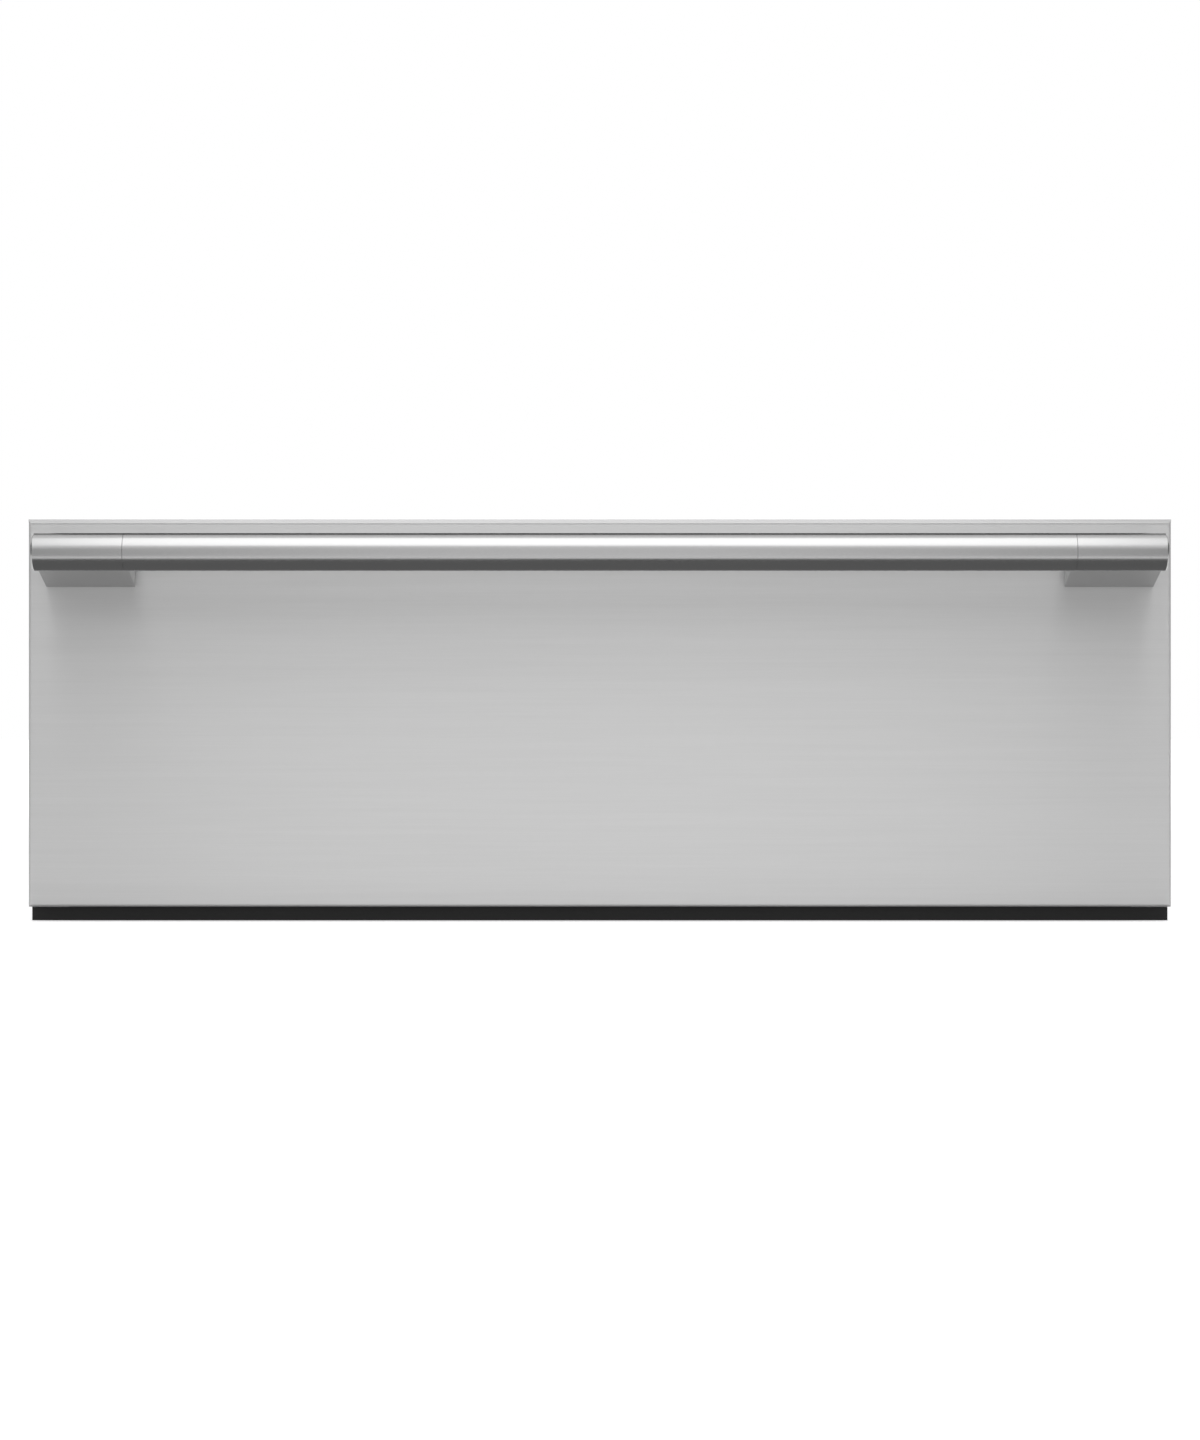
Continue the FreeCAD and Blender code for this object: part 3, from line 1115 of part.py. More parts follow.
def lid_gasket():
    """The soft ring under the glass that closes on the chamber's rim."""
    inset = 2 * GASKET_INSET
    wide = inset + 2 * GASKET_W
    low = RIM_TOP + GASKET_NIP
    ring = slab(CHAMBER_X, CHAMBER_MID_Y, CHAMBER_W + wide, CHAMBER_D + wide, low, GLASS_UNDER,
                CHAMBER_CORNER_R + GASKET_INSET + GASKET_W)
    core = slab(CHAMBER_X, CHAMBER_MID_Y, CHAMBER_W + inset, CHAMBER_D + inset, low - 1, GLASS_UNDER + 1,
                CHAMBER_CORNER_R + GASKET_INSET)
    ring = ring.cut(core)
    return ring.makeFillet(0.3 * GASKET_W, edges_at(ring, lambda p: near(p.z, low)))


def counter_bar():
    """The silicone bar under the glass that the seal bar presses against."""
    half = SEAL_BAR_L / 2
    bar = box(CHAMBER_X - half, CHAMBER_X + half, SEAL_Y - COUNTER_W / 2, SEAL_Y + COUNTER_W / 2,
              COUNTER_UNDER, GLASS_UNDER)
    lower = [e for e in edges_at(bar, lambda p: near(p.z, COUNTER_UNDER)) if near(e.Length, SEAL_BAR_L)]
    return bar.makeFillet(COUNTER_EDGE_R, lower)


def lid_hinge_arms():
    """Two steel leaves on the glass that run back to the hinge knuckles."""
    arms = []
    for x in HINGE_XS:
        leaf = slab(x, GLASS_REAR - LEAF_L / 2, LEAF_W, LEAF_L, GLASS_TOP, GLASS_TOP + LEAF_T,
                    LEAF_CORNER_R)
        neck = box(x - KNUCKLE_W / 2, x + KNUCKLE_W / 2, GLASS_REAR - LEAF_L / 2, HINGE_Y,
                   GLASS_TOP, GLASS_TOP + LEAF_T)
        drop = box(x - KNUCKLE_W / 2, x + KNUCKLE_W / 2, HINGE_Y - LEAF_T / 2, HINGE_Y + LEAF_T / 2,
                   HINGE_Z, GLASS_TOP + LEAF_T)
        knuckle = rod(KNUCKLE_D / 2, (x - KNUCKLE_W / 2, HINGE_Y, HINGE_Z),
                      (x + KNUCKLE_W / 2, HINGE_Y, HINGE_Z))
        bore = rod(HINGE_PIN_D / 2, (x - KNUCKLE_W, HINGE_Y, HINGE_Z), (x + KNUCKLE_W, HINGE_Y, HINGE_Z))
        holes = [hole(bx, by, GLASS_TOP, (0, 0, 1), 2 * LEAF_T, LID_BOLT_D + 2 * SCREW_CLEAR)
                 for bx, by in lid_bolt_places() if abs(bx - x) < LEAF_W]
        arms.append(cut(fused([leaf, neck, drop, knuckle]), [bore] + holes))
    return group(arms)


def lid_fasteners():
    """Hinge pins and the bolts and nuts through the glass."""
    span = KNUCKLE_W / 2 + EAR_CLEAR + EAR_T
    parts = [rod(HINGE_PIN_D / 2, (x - span, HINGE_Y, HINGE_Z), (x + span, HINGE_Y, HINGE_Z))
             for x in HINGE_XS]
    for x, y in lid_bolt_places():
        bolt = screw(x, y, GLASS_TOP + LEAF_T, (0, 0, -1), 1.7 * LID_BOLT_D, 0.5 * LID_BOLT_D, LID_BOLT_D,
                     LEAF_T + LID_T + LID_NUT_H)
        nut = rod(0.9 * LID_BOLT_D, (x, y, GLASS_UNDER - LID_NUT_H), (x, y, GLASS_UNDER))
        parts.append(fused([bolt, nut]))
    return group(parts)


def lid_hinge_blocks():
    """Two forked blocks on the deck that carry the hinge pins."""
    blocks = []
    ear_in = KNUCKLE_W / 2 + EAR_CLEAR
    ear_out = ear_in + EAR_T
    ear_r = KNUCKLE_D / 2 + HINGE_BOSS
    base_y0 = HINGE_Y - ear_r
    for x in HINGE_XS:
        base = box(x - ear_out, x + ear_out, base_y0, base_y0 + HINGE_BASE_D, DECK_TOP,
                   DECK_TOP + HINGE_BASE_T)
        parts = [base]
        for s in (-1, 1):
            x0 = x + (ear_in if s > 0 else -ear_out)
            parts.append(rod(ear_r, (x0, HINGE_Y, HINGE_Z), (x0 + EAR_T, HINGE_Y, HINGE_Z)))
            parts.append(box(x0, x0 + EAR_T, HINGE_Y - ear_r, HINGE_Y + ear_r, DECK_TOP, HINGE_Z))
        bore = rod(HINGE_PIN_D / 2 + RUNNING_CLEAR, (x - ear_out - 1, HINGE_Y, HINGE_Z),
                   (x + ear_out + 1, HINGE_Y, HINGE_Z))
        blocks.append(cut(fused(parts), [bore]))
    return group(blocks)


# Controls
def control_glass():
    """The touch panel, flush in the deck."""
    y = CONTROL_FRONT + CONTROL_D / 2
    return slab(CHAMBER_X, y, CONTROL_W, CONTROL_D, DECK_TOP - CONTROL_GLASS_T, DECK_TOP, CONTROL_CORNER_R)


def control_board():
    """The tray under the touch panel with its circuit board."""
    y = CONTROL_FRONT + CONTROL_D / 2
    top = DECK_UNDER
    low = top - CONTROL_BOX_H
    wide = CONTROL_W + 2 * CONTROL_BOX_RIM
    deep = CONTROL_D + 2 * CONTROL_BOX_RIM
    wall = CONTROL_BOX_WALL
    tray = slab(CHAMBER_X, y, wide, deep, low, top, CONTROL_CORNER_R)
    hollow = slab(CHAMBER_X, y, wide - 2 * wall, deep - 2 * wall, low + wall, top + 1,
                  CONTROL_CORNER_R - wall / 2)
    half = CONTROL_W / 2
    y0 = CONTROL_FRONT + wall
    y1 = CONTROL_FRONT + CONTROL_D - wall
    ledges = [box(CHAMBER_X + x - CONTROL_LEDGE / 2, CHAMBER_X + x + CONTROL_LEDGE / 2, y0, y1,
                  low, DECK_TOP - CONTROL_GLASS_T)
              for x in (CONTROL_LEDGE / 2 - half, half - CONTROL_LEDGE / 2)]
    board_half = half - CONTROL_LEDGE - wall
    board = box(CHAMBER_X - board_half, CHAMBER_X + board_half, y0, y1, low + wall, low + wall + BOARD_T)
    return group([fused([tray.cut(hollow)] + ledges), board])


# Pump and motor
def mount_places():
    """The (x, y) of the four rubber mounts."""
    xs = (PUMP_X - PUMP_W / 2 + MOUNT_INSET, PUMP_X + PUMP_W / 2 - MOUNT_INSET)
    ys = (PUMP_FRONT + MOUNT_INSET, MOTOR_REAR - MOUNT_INSET)
    return [(x, y) for x in xs for y in ys]


def pump_mounts():
    """Rubber mounts between the drawer's floor and the pump."""
    parts = []
    waist = MOUNT_D / 2 - MOUNT_WAIST
    for x, y in mount_places():
        lower = Part.makeCone(MOUNT_D / 2, waist, MOUNT_H / 2, V(x, y, FLOOR_TOP))
        upper = Part.makeCone(waist, MOUNT_D / 2, MOUNT_H / 2, V(x, y, FLOOR_TOP + MOUNT_H / 2))
        parts.append(fused([lower, upper]))
    return group(parts)


SUCTION_Y = PUMP_REAR - SUCTION_INSET
SUCTION_X = PUMP_X - PUMP_W / 2 - HOSE_D
SUCTION_Z = PUMP_AXIS_Z + SUCTION_RISE
ROTOR_FRONT = PUMP_FRONT + PUMP_COVER_T + ROTOR_END_CLEAR
ROTOR_REAR = PUMP_REAR - PUMP_WALL - ROTOR_END_CLEAR


def on_shaft(radius, y0, y1, z=PUMP_AXIS_Z):
    """A round bar along the pump's shaft, or at another height."""
    return rod(radius, (PUMP_X, y0, z), (PUMP_X, y1, z))


def round_shaft(shape, turn):
    """A shape drawn above the origin, turned about Y and carried to the pump's shaft."""
    shape.rotate(V(0, 0, 0), V(0, 1, 0), turn)
    shape.translate(V(PUMP_X, 0, PUMP_AXIS_Z))
    return shape


def vacuum_pump():
    """The pump's block with its rotor bore, front cover, ribs and inlet elbow."""
    x0 = PUMP_X - PUMP_W / 2
    x1 = PUMP_X + PUMP_W / 2
    inset = PUMP_CASE_INSET
    block = box(x0 + inset, x1 - inset, PUMP_FRONT + PUMP_COVER_T, PUMP_REAR, PUMP_BASE, PUMP_TOP)
    cover = slab(0, 0, PUMP_W, PUMP_H, 0, PUMP_COVER_T, PUMP_COVER_R)
    cover.rotate(V(0, 0, 0), V(1, 0, 0), -90)
    cover.translate(V(PUMP_X, PUMP_FRONT, (PUMP_BASE + PUMP_TOP) / 2))
    ribs = []
    step = (PUMP_L - PUMP_COVER_T) / PUMP_RIBS
    for k in range(PUMP_RIBS):
        y = PUMP_FRONT + PUMP_COVER_T + (k + 0.5) * step
        ribs.append(box(x0, x1, y - PUMP_RIB_T / 2, y + PUMP_RIB_T / 2, PUMP_BASE + 2 * inset,
                        PUMP_TOP - inset))
    bore_z = PUMP_AXIS_Z + PUMP_OFFSET
    bore = on_shaft(PUMP_BORE_D / 2, PUMP_FRONT + PUMP_COVER_T, PUMP_REAR - PUMP_WALL, bore_z)
    shaft = on_shaft(SHAFT_D / 2 + RUNNING_CLEAR, PUMP_REAR - 2 * PUMP_WALL, PUMP_REAR + 1)
    elbow = fused([
        rod(HOSE_D, (SUCTION_X, SUCTION_Y, SUCTION_Z), (x0 + 2 * inset, SUCTION_Y, SUCTION_Z)),
        ball(HOSE_D, SUCTION_X, SUCTION_Y, SUCTION_Z),
        rod(HOSE_BORE / 2 - RUNNING_CLEAR, (SUCTION_X, SUCTION_Y, SUCTION_Z),
            (SUCTION_X, SUCTION_Y + HOSE_D + BARB_L, SUCTION_Z)),
    ])
    return cut(fused([block, cover, elbow] + ribs), [bore, shaft])


def pump_motor():
    """The motor's finned body, its feet and its terminal box."""
    radius = MOTOR_D / 2
    root = radius - FIN_H
    y0 = PUMP_REAR + FIN_END
    y1 = MOTOR_REAR - FIN_END
    fins = [round_shaft(box(-FIN_T / 2, FIN_T / 2, y0, y1, root, radius + FIN_H), k * 360.0 / FIN_COUNT)
            for k in range(FIN_COUNT)]
    foot = box(PUMP_X - PUMP_W / 2, PUMP_X + PUMP_W / 2, PUMP_REAR, MOTOR_REAR,
               PUMP_BASE, PUMP_BASE + MOTOR_FOOT_T)
    web = box(PUMP_X - MOTOR_WEB_W / 2, PUMP_X + MOTOR_WEB_W / 2, PUMP_REAR, MOTOR_REAR,
              PUMP_BASE, PUMP_AXIS_Z - 0.6 * radius)
    box_y = PUMP_REAR + TERMINAL_SETBACK
    terminals = box(PUMP_X - TERMINAL_W / 2, PUMP_X + TERMINAL_W / 2, box_y, box_y + TERMINAL_L,
                    PUMP_AXIS_Z + root, PUMP_AXIS_Z + radius + TERMINAL_H)
    body = fused([on_shaft(radius, PUMP_REAR, MOTOR_REAR), foot, web, terminals] + fins)
    return body.cut(on_shaft(MOTOR_BORE_D / 2, PUMP_REAR, MOTOR_REAR))


def motor_cowl():
    """The pressed cover round the motor's fan, with air slots in its end."""
    rear = MOTOR_REAR + COWL_L
    outer = MOTOR_D / 2 + FIN_H + COWL_T
    shell = on_shaft(outer, MOTOR_REAR, rear)
    shell = shell.makeFillet(COWL_R, edges_at(shell, lambda p: near(p.y, rear)))
    inside = on_shaft(outer - COWL_T, MOTOR_REAR - 1, rear - COWL_T)
    inside = inside.makeFillet(COWL_R - COWL_T, edges_at(inside, lambda p: near(p.y, rear - COWL_T)))
    slots = [round_shaft(box(-COWL_SLOT_W / 2, COWL_SLOT_W / 2, rear - 2 * COWL_T, rear + 1,
                             COWL_HUB_R, outer - COWL_EDGE),
                         k * 360.0 / COWL_SLOTS)
             for k in range(COWL_SLOTS)]
    return cut(shell, [inside] + slots)


def pump_rotor():
    """The shaft with the motor's core, the pump's slotted rotor and the cooling fan."""
    fan_y = MOTOR_REAR + MOTOR_FAN_GAP
    fan_end = fan_y + MOTOR_FAN_L
    drum = on_shaft(PUMP_ROTOR_D / 2, ROTOR_FRONT, ROTOR_REAR)
    slots = [round_shaft(box(-ROTOR_SLOT_W / 2, ROTOR_SLOT_W / 2, ROTOR_FRONT - 1, ROTOR_REAR + 1,
                             PUMP_ROTOR_D / 4, PUMP_ROTOR_D / 2 + 1),
                         k * 360.0 / ROTOR_SLOTS)
             for k in range(ROTOR_SLOTS)]
    hub_r = MOTOR_FAN_HUB_D / 2
    half_t = MOTOR_FAN_BLADE_T / 2
    blades = [round_shaft(box(-half_t, half_t, fan_y, fan_end, SHAFT_D, MOTOR_FAN_D / 2),
                          k * 360.0 / MOTOR_FAN_BLADES)
              for k in range(MOTOR_FAN_BLADES)]
    shaft = on_shaft(SHAFT_D / 2, ROTOR_FRONT, fan_end + COWL_T)
    core = on_shaft(MOTOR_CORE_D / 2, PUMP_REAR + CORE_INSET, MOTOR_REAR - CORE_INSET)
    return fused([shaft, core, cut(drum, slots), on_shaft(hub_r, fan_y, fan_end)] + blades)


def exhaust_filter():
    """The round mist filter on top of the pump."""
    y = (PUMP_FRONT + PUMP_COVER_T + PUMP_REAR) / 2
    can = rod(FILTER_D / 2, (PUMP_X, y, PUMP_TOP), (PUMP_X, y, PUMP_TOP + FILTER_H))
    return can.makeFillet(FILTER_R, edges_at(can, lambda p: near(p.z, PUMP_TOP + FILTER_H)))


# Valves, hoses, transformer, boards, fan
def valve_block():
    """The valve manifold with two coils and its hose barbs."""
    x0 = VALVE_LEFT
    x1 = VALVE_X + VALVE_L / 2
    z1 = FLOOR_TOP + VALVE_H
    block = box(x0, x1, VALVE_FRONT, VALVE_Y + VALVE_D / 2, FLOOR_TOP, z1)
    coils = [rod(COIL_D / 2, (x, VALVE_Y, z1), (x, VALVE_Y, z1 + COIL_H))
             for x in (VALVE_X - VALVE_L / 4, VALVE_X + VALVE_L / 4)]
    barb_r = HOSE_BORE / 2 - RUNNING_CLEAR
    inlet = rod(barb_r, (x0 - BARB_L, VALVE_Y, VALVE_Z), (x0 + 2, VALVE_Y, VALVE_Z))
    outlet = rod(barb_r, (VALVE_X - VALVE_L / 4, VALVE_FRONT - BARB_L, VALVE_Z),
                 (VALVE_X - VALVE_L / 4, VALVE_FRONT + 2, VALVE_Z))
    return fused([block, inlet, outlet] + coils)


def vacuum_hoses():
    """The hose from the chamber to the valves, and the one from there to the pump."""
    start_x = PORT_X + HOSE_D + FIT
    straight = 4 * HOSE_D
    first = [
        (start_x, PORT_Y, PORT_ELBOW_Z),
        (start_x + straight, PORT_Y, PORT_ELBOW_Z),
        (VALVE_LEFT - straight, VALVE_Y, VALVE_Z),
        (VALVE_LEFT - FIT, VALVE_Y, VALVE_Z),
    ]
    out_x = VALVE_X - VALVE_L / 4
    second = [
        (out_x, VALVE_FRONT - FIT, VALVE_Z),
        (out_x, VALVE_FRONT - 28.0, VALVE_Z),
        (SUCTION_X, VALVE_FRONT - 70.0, VALVE_Z + 16.0),
        (SUCTION_X, SUCTION_Y + 80.0, SUCTION_Z - 16.0),
        (SUCTION_X, SUCTION_Y + 40.0, SUCTION_Z),
        (SUCTION_X, SUCTION_Y + HOSE_D + FIT, SUCTION_Z),
    ]
    return group(pipe(points, HOSE_D / 2, HOSE_BORE / 2) for points in (first, second))


TRANSFORMER_X = SIDE_IN - TRANSFORMER_D / 2 - TRANSFORMER_SIDE_ROOM
TRANSFORMER_Y = PANEL_BACK + TRANSFORMER_SETBACK


def transformer():
    """The potted ring transformer with its clamp washer and bolt."""
    x = TRANSFORMER_X
    y = TRANSFORMER_Y
    top = FLOOR_TOP + TRANSFORMER_H
    ring = rod(TRANSFORMER_D / 2, (x, y, FLOOR_TOP), (x, y, top))
    ring = ring.makeFillet(TRANSFORMER_R, edges_at(ring, lambda p: near(p.z, top)))
    bore = rod(TRANSFORMER_HOLE / 2, (x, y, FLOOR_TOP - 1), (x, y, top + 1))
    washer = rod(CLAMP_D / 2, (x, y, top), (x, y, top + CLAMP_T))
    bolt = screw(x, y, top + CLAMP_T, (0, 0, -1), 1.7 * CLAMP_BOLT_D, 0.6 * CLAMP_BOLT_D, CLAMP_BOLT_D,
                 TRANSFORMER_H + CLAMP_T)
    return group([ring.cut(bore), fused([washer, bolt])])


BOARD_X0 = CHAMBER_X - BOARD_W / 2
BOARD_X1 = BOARD_X0 + BOARD_W
BOARD_Y0 = PANEL_BACK + BOARD_SETBACK
BOARD_Y1 = BOARD_Y0 + BOARD_D
BOARD_Z = FLOOR_TOP + BOARD_STANDOFF
BOARD_TOP = BOARD_Z + BOARD_T
PLUG_X1 = BOARD_X1 - PLUG_INSET
PLUG_Y0 = BOARD_Y0 + PLUG_SETBACK


def power_board():
    """The power and control board on its standoffs, with its larger components."""
    board = box(BOARD_X0, BOARD_X1, BOARD_Y0, BOARD_Y1, BOARD_Z, BOARD_TOP)
    inset = BOARD_POST_INSET
    posts = [rod(BOARD_POST_D / 2, (x, y, FLOOR_TOP), (x, y, BOARD_Z))
             for x in (BOARD_X0 + inset, BOARD_X1 - inset) for y in (BOARD_Y0 + inset, BOARD_Y1 - inset)]
    relays = []
    for k in range(RELAYS):
        x0 = BOARD_X0 + RELAY_INSET + k * RELAY_PITCH
        y0 = BOARD_Y0 + RELAY_INSET
        relays.append(box(x0, x0 + RELAY_W, y0, y0 + RELAY_D, BOARD_TOP, BOARD_TOP + RELAY_H))
    capacitors = []
    for k in range(CAPACITORS):
        x = BOARD_X0 + CAPACITOR_INSET + k * CAPACITOR_PITCH
        y = BOARD_Y1 - CAPACITOR_INSET
        capacitors.append(rod(CAPACITOR_D / 2, (x, y, BOARD_TOP), (x, y, BOARD_TOP + CAPACITOR_H)))
    x1 = BOARD_X1 - SINK_INSET
    y1 = BOARD_Y1 - SINK_INSET
    sink = box(x1 - SINK_W, x1, y1 - SINK_D, y1, BOARD_TOP, BOARD_TOP + SINK_H)
    pitch = SINK_D / (SINK_SLOTS + 1)
    gaps = []
    for k in range(1, SINK_SLOTS + 1):
        y = y1 - k * pitch
        gaps.append(box(x1 - SINK_W - 1, x1 + 1, y - SINK_SLOT_W / 2, y + SINK_SLOT_W / 2,
                        BOARD_TOP + SINK_SLOT_W, BOARD_TOP + SINK_H + 1))
    plug = box(PLUG_X1 - PLUG_W, PLUG_X1, PLUG_Y0, PLUG_Y0 + PLUG_D, BOARD_TOP, BOARD_TOP + PLUG_H)
    return fused([board, sink.cut(gaps), plug] + posts + relays + capacitors)


FAN_REAR = DRAWER_REAR - DRAWER_T
FAN_FRONT = FAN_REAR - FAN_T


def fan_frame():
    """The square frame of the cooling fan, with the spokes that carry its hub."""
    half = FAN_SIZE / 2
    frame = box(FAN_X - half, FAN_X + half, FAN_FRONT, FAN_REAR, FAN_Z - half, FAN_Z + half)
    bore = rod(FAN_BORE / 2, (FAN_X, FAN_FRONT - 1, FAN_Z), (FAN_X, FAN_REAR + 1, FAN_Z))
    reach = half - FAN_SCREW_INSET
    corners = [rod(FAN_SCREW_D / 2, (FAN_X + x, FAN_FRONT - 1, FAN_Z + z),
                   (FAN_X + x, FAN_REAR + 1, FAN_Z + z))
               for x in (-reach, reach) for z in (-reach, reach)]
    plate_y = FAN_FRONT + FAN_PLATE_T
    spokes = [rod(FAN_HUB / 2, (FAN_X, FAN_FRONT, FAN_Z), (FAN_X, plate_y, FAN_Z))]
    for k in range(4):
        spoke = box(-FAN_PLATE_T / 2, FAN_PLATE_T / 2, FAN_FRONT, plate_y, 0, FAN_BORE / 2 + 1)
        spoke.rotate(V(0, 0, 0), V(0, 1, 0), 45.0 + k * 90.0)
        spoke.translate(V(FAN_X, 0, FAN_Z))
        spokes.append(spoke)
    return fused([cut(frame, [bore] + corners)] + spokes)


def fan_rotor():
    """The fan's hub and blades."""
    front = FAN_FRONT + FAN_PLATE_T + FIT
    back = FAN_REAR - FAN_SCREW_INSET / 2
    hub = rod(FAN_HUB / 2, (FAN_X, front, FAN_Z), (FAN_X, back, FAN_Z))
    hub = hub.makeFillet(FAN_PLATE_T, edges_at(hub, lambda p: near(p.y, back)))
    tip = FAN_BORE / 2 - 2 * FAN_TIP_CLEAR
    blades = []
    for k in range(FAN_BLADES):
        blade = box(-FAN_BLADE_T / 2, FAN_BLADE_T / 2, front + 1, back - 1, FAN_HUB / 2 - 2, tip)
        blade.rotate(V(0, (front + back) / 2, 0), V(0, 0, 1), FAN_BLADE_TWIST)
        blade.rotate(V(0, 0, 0), V(0, 1, 0), k * 360.0 / FAN_BLADES)
        blade.translate(V(FAN_X, 0, FAN_Z))
        blades.append(blade)
    return fused([hub] + blades)


def wiring_loom():
    """The leads from the power board to the motor and to the transformer."""
    radius = CABLE_D / 2
    plug_z = BOARD_TOP + PLUG_H / 2
    low = FLOOR_TOP + radius + FIT
    near_y = PLUG_Y0 + 0.2 * PLUG_D
    far_y = PLUG_Y0 + 0.8 * PLUG_D
    box_x = PUMP_X - TERMINAL_W / 2
    box_y = PUMP_REAR + TERMINAL_SETBACK + TERMINAL_L / 2
    box_z = PUMP_AXIS_Z + MOTOR_D / 2 + TERMINAL_H / 2
    to_motor = [
        (PLUG_X1 + FIT, far_y, plug_z),
        (PLUG_X1 + 32.0, far_y, plug_z),
        (PLUG_X1 + 62.0, far_y + 20.0, plug_z + 20.0),
        (box_x - 52.0, box_y - 8.0, box_z - 36.0),
        (box_x - 36.0, box_y, box_z - 4.0),
        (box_x - FIT, box_y, box_z),
    ]
    ring_x = TRANSFORMER_X - TRANSFORMER_D / 2
    to_transformer = [
        (PLUG_X1 + FIT, near_y, plug_z),
        (PLUG_X1 + 30.0, near_y, plug_z),
        (PLUG_X1 + 62.0, near_y - 32.0, low + 2.0),
        (PUMP_X - 30.0, PUMP_FRONT - 40.0, low),
        (ring_x - 34.0, TRANSFORMER_Y, low + 8.0),
        (ring_x - FIT, TRANSFORMER_Y, low + 8.0),
    ]
    return group(pipe(points, radius) for points in (to_motor, to_transformer))


SINGLE = {
    "housing_base": housing_base,
    "housing_back": housing_back,
    "housing_front_rail": housing_front_rail,
    "base_trim": base_trim,
    "feet": feet,
    "front_bumpers": front_bumpers,
    "power_inlet": power_inlet,
    "housing_screws": housing_screws,
    "front_skin": front_skin,
    "front_backing": front_backing,
    "front_stiffeners": front_stiffeners,
    "handle_tube": handle_tube,
    "handle_screws": handle_screws,
    "drawer_floor": drawer_floor,
    "drawer_back": drawer_back,
    "drawer_screws": drawer_screws,
    "deck": deck,
    "chamber": chamber,
    "chamber_port": chamber_port,
    "seal_bar": seal_bar,
    "heating_strip": heating_strip,
    "lift_pistons": lift_pistons,
    "lift_cylinders": lift_cylinders,
    "lid_glass": lid_glass,
    "lid_gasket": lid_gasket,
    "counter_bar": counter_bar,
    "lid_hinge_arms": lid_hinge_arms,
    "lid_fasteners": lid_fasteners,
    "lid_hinge_blocks": lid_hinge_blocks,
    "control_glass": control_glass,
    "control_board": control_board,
    "pump_mounts": pump_mounts,
    "vacuum_pump": vacuum_pump,
    "pump_motor": pump_motor,
    "motor_cowl": motor_cowl,
    "pump_rotor": pump_rotor,
    "exhaust_filter": exhaust_filter,
    "valve_block": valve_block,
    "vacuum_hoses": vacuum_hoses,
    "transformer": transformer,
    "power_board": power_board,
    "fan_frame": fan_frame,
    "fan_rotor": fan_rotor,
    "wiring_loom": wiring_loom,
}
PAIRED = {
    "housing_side": housing_side,
    "runner_outer": runner_outer,
    "runner_middle": runner_middle,
    "runner_inner": runner_inner,
    "outer_ball_cage": outer_ball_cage,
    "inner_ball_cage": inner_ball_cage,
    "handle_bracket": handle_bracket,
    "drawer_side": drawer_side,
}


def write(name, shape):
    """Writes one sub-part and prints what it holds."""
    print(name, len(shape.Solids), round(shape.Volume), shape.isValid())
    shape.exportStep(os.path.join("parts", name + ".step"))


def main():
    os.makedirs("parts", exist_ok=True)
    for name, make in SINGLE.items():
        write(name, make())
    for name, make in PAIRED.items():
        right = make()
        write(name + "_right", right)
        write(name + "_left", mirrored(right))


main()
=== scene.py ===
"""Looks of the vacuum sealing drawer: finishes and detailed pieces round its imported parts.

Metres. The front looks along -Y, X runs across, Z is up, and the feet stand on z = 0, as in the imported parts.
"""

import json
import logging
import math
from dataclasses import dataclass, field
from enum import Enum
from typing import Callable, Iterable, Sequence

import bmesh
import bpy
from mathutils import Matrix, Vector

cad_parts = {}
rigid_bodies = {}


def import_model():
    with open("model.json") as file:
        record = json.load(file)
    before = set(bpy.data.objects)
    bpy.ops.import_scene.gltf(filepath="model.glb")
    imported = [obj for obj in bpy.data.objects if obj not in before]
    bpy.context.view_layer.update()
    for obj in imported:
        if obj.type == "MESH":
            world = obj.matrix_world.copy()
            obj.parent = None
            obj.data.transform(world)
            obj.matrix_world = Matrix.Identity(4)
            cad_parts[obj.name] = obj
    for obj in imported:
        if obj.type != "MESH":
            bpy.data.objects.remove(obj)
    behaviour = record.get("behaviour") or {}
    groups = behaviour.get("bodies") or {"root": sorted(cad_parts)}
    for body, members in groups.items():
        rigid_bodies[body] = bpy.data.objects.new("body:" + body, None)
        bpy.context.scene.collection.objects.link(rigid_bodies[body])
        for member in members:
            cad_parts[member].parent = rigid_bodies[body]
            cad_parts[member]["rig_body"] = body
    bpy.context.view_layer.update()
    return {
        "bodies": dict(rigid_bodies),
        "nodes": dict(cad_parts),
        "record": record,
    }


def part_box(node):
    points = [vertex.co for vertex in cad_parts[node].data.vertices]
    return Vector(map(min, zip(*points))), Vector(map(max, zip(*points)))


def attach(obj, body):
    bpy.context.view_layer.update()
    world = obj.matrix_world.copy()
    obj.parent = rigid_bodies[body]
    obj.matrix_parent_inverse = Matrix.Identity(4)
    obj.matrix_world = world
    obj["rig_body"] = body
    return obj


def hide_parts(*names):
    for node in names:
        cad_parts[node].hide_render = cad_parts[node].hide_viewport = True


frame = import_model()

MM = 0.001
# Points closer than this are one point, and faces that meet at less than this angle are one face.
SAME_POINT = 0.000002
FLAT = math.radians(0.5)
# How much of a direction lies on an axis when it runs along it, mostly along it or hardly along it.
STRAIGHT, MOSTLY, HARDLY = 0.99, 0.9, 0.1

Colour = tuple[float, float, float]
Test = Callable[[Vector, Vector], bool]
Route = tuple[tuple[float, float, float], ...]
Area = tuple[float, float, float, float]

log = logging.getLogger("drawer")


class Grain(Enum):
    """The way that brushing, drawing or rolling runs over a surface."""

    ACROSS = (1, 0, 0)
    FORE = (0, 1, 0)

    def stretch(self, long: float, short: float) -> Vector:
        """Repeats per metre on each axis, for marks of one length along the grain and one width over it."""
        return Vector(1 / (long if along else short) for along in self.value)


class Part(Enum):
    """What an edit works on."""

    POINTS = "VERT"
    EDGES = "EDGE"
    FACES = "FACE"


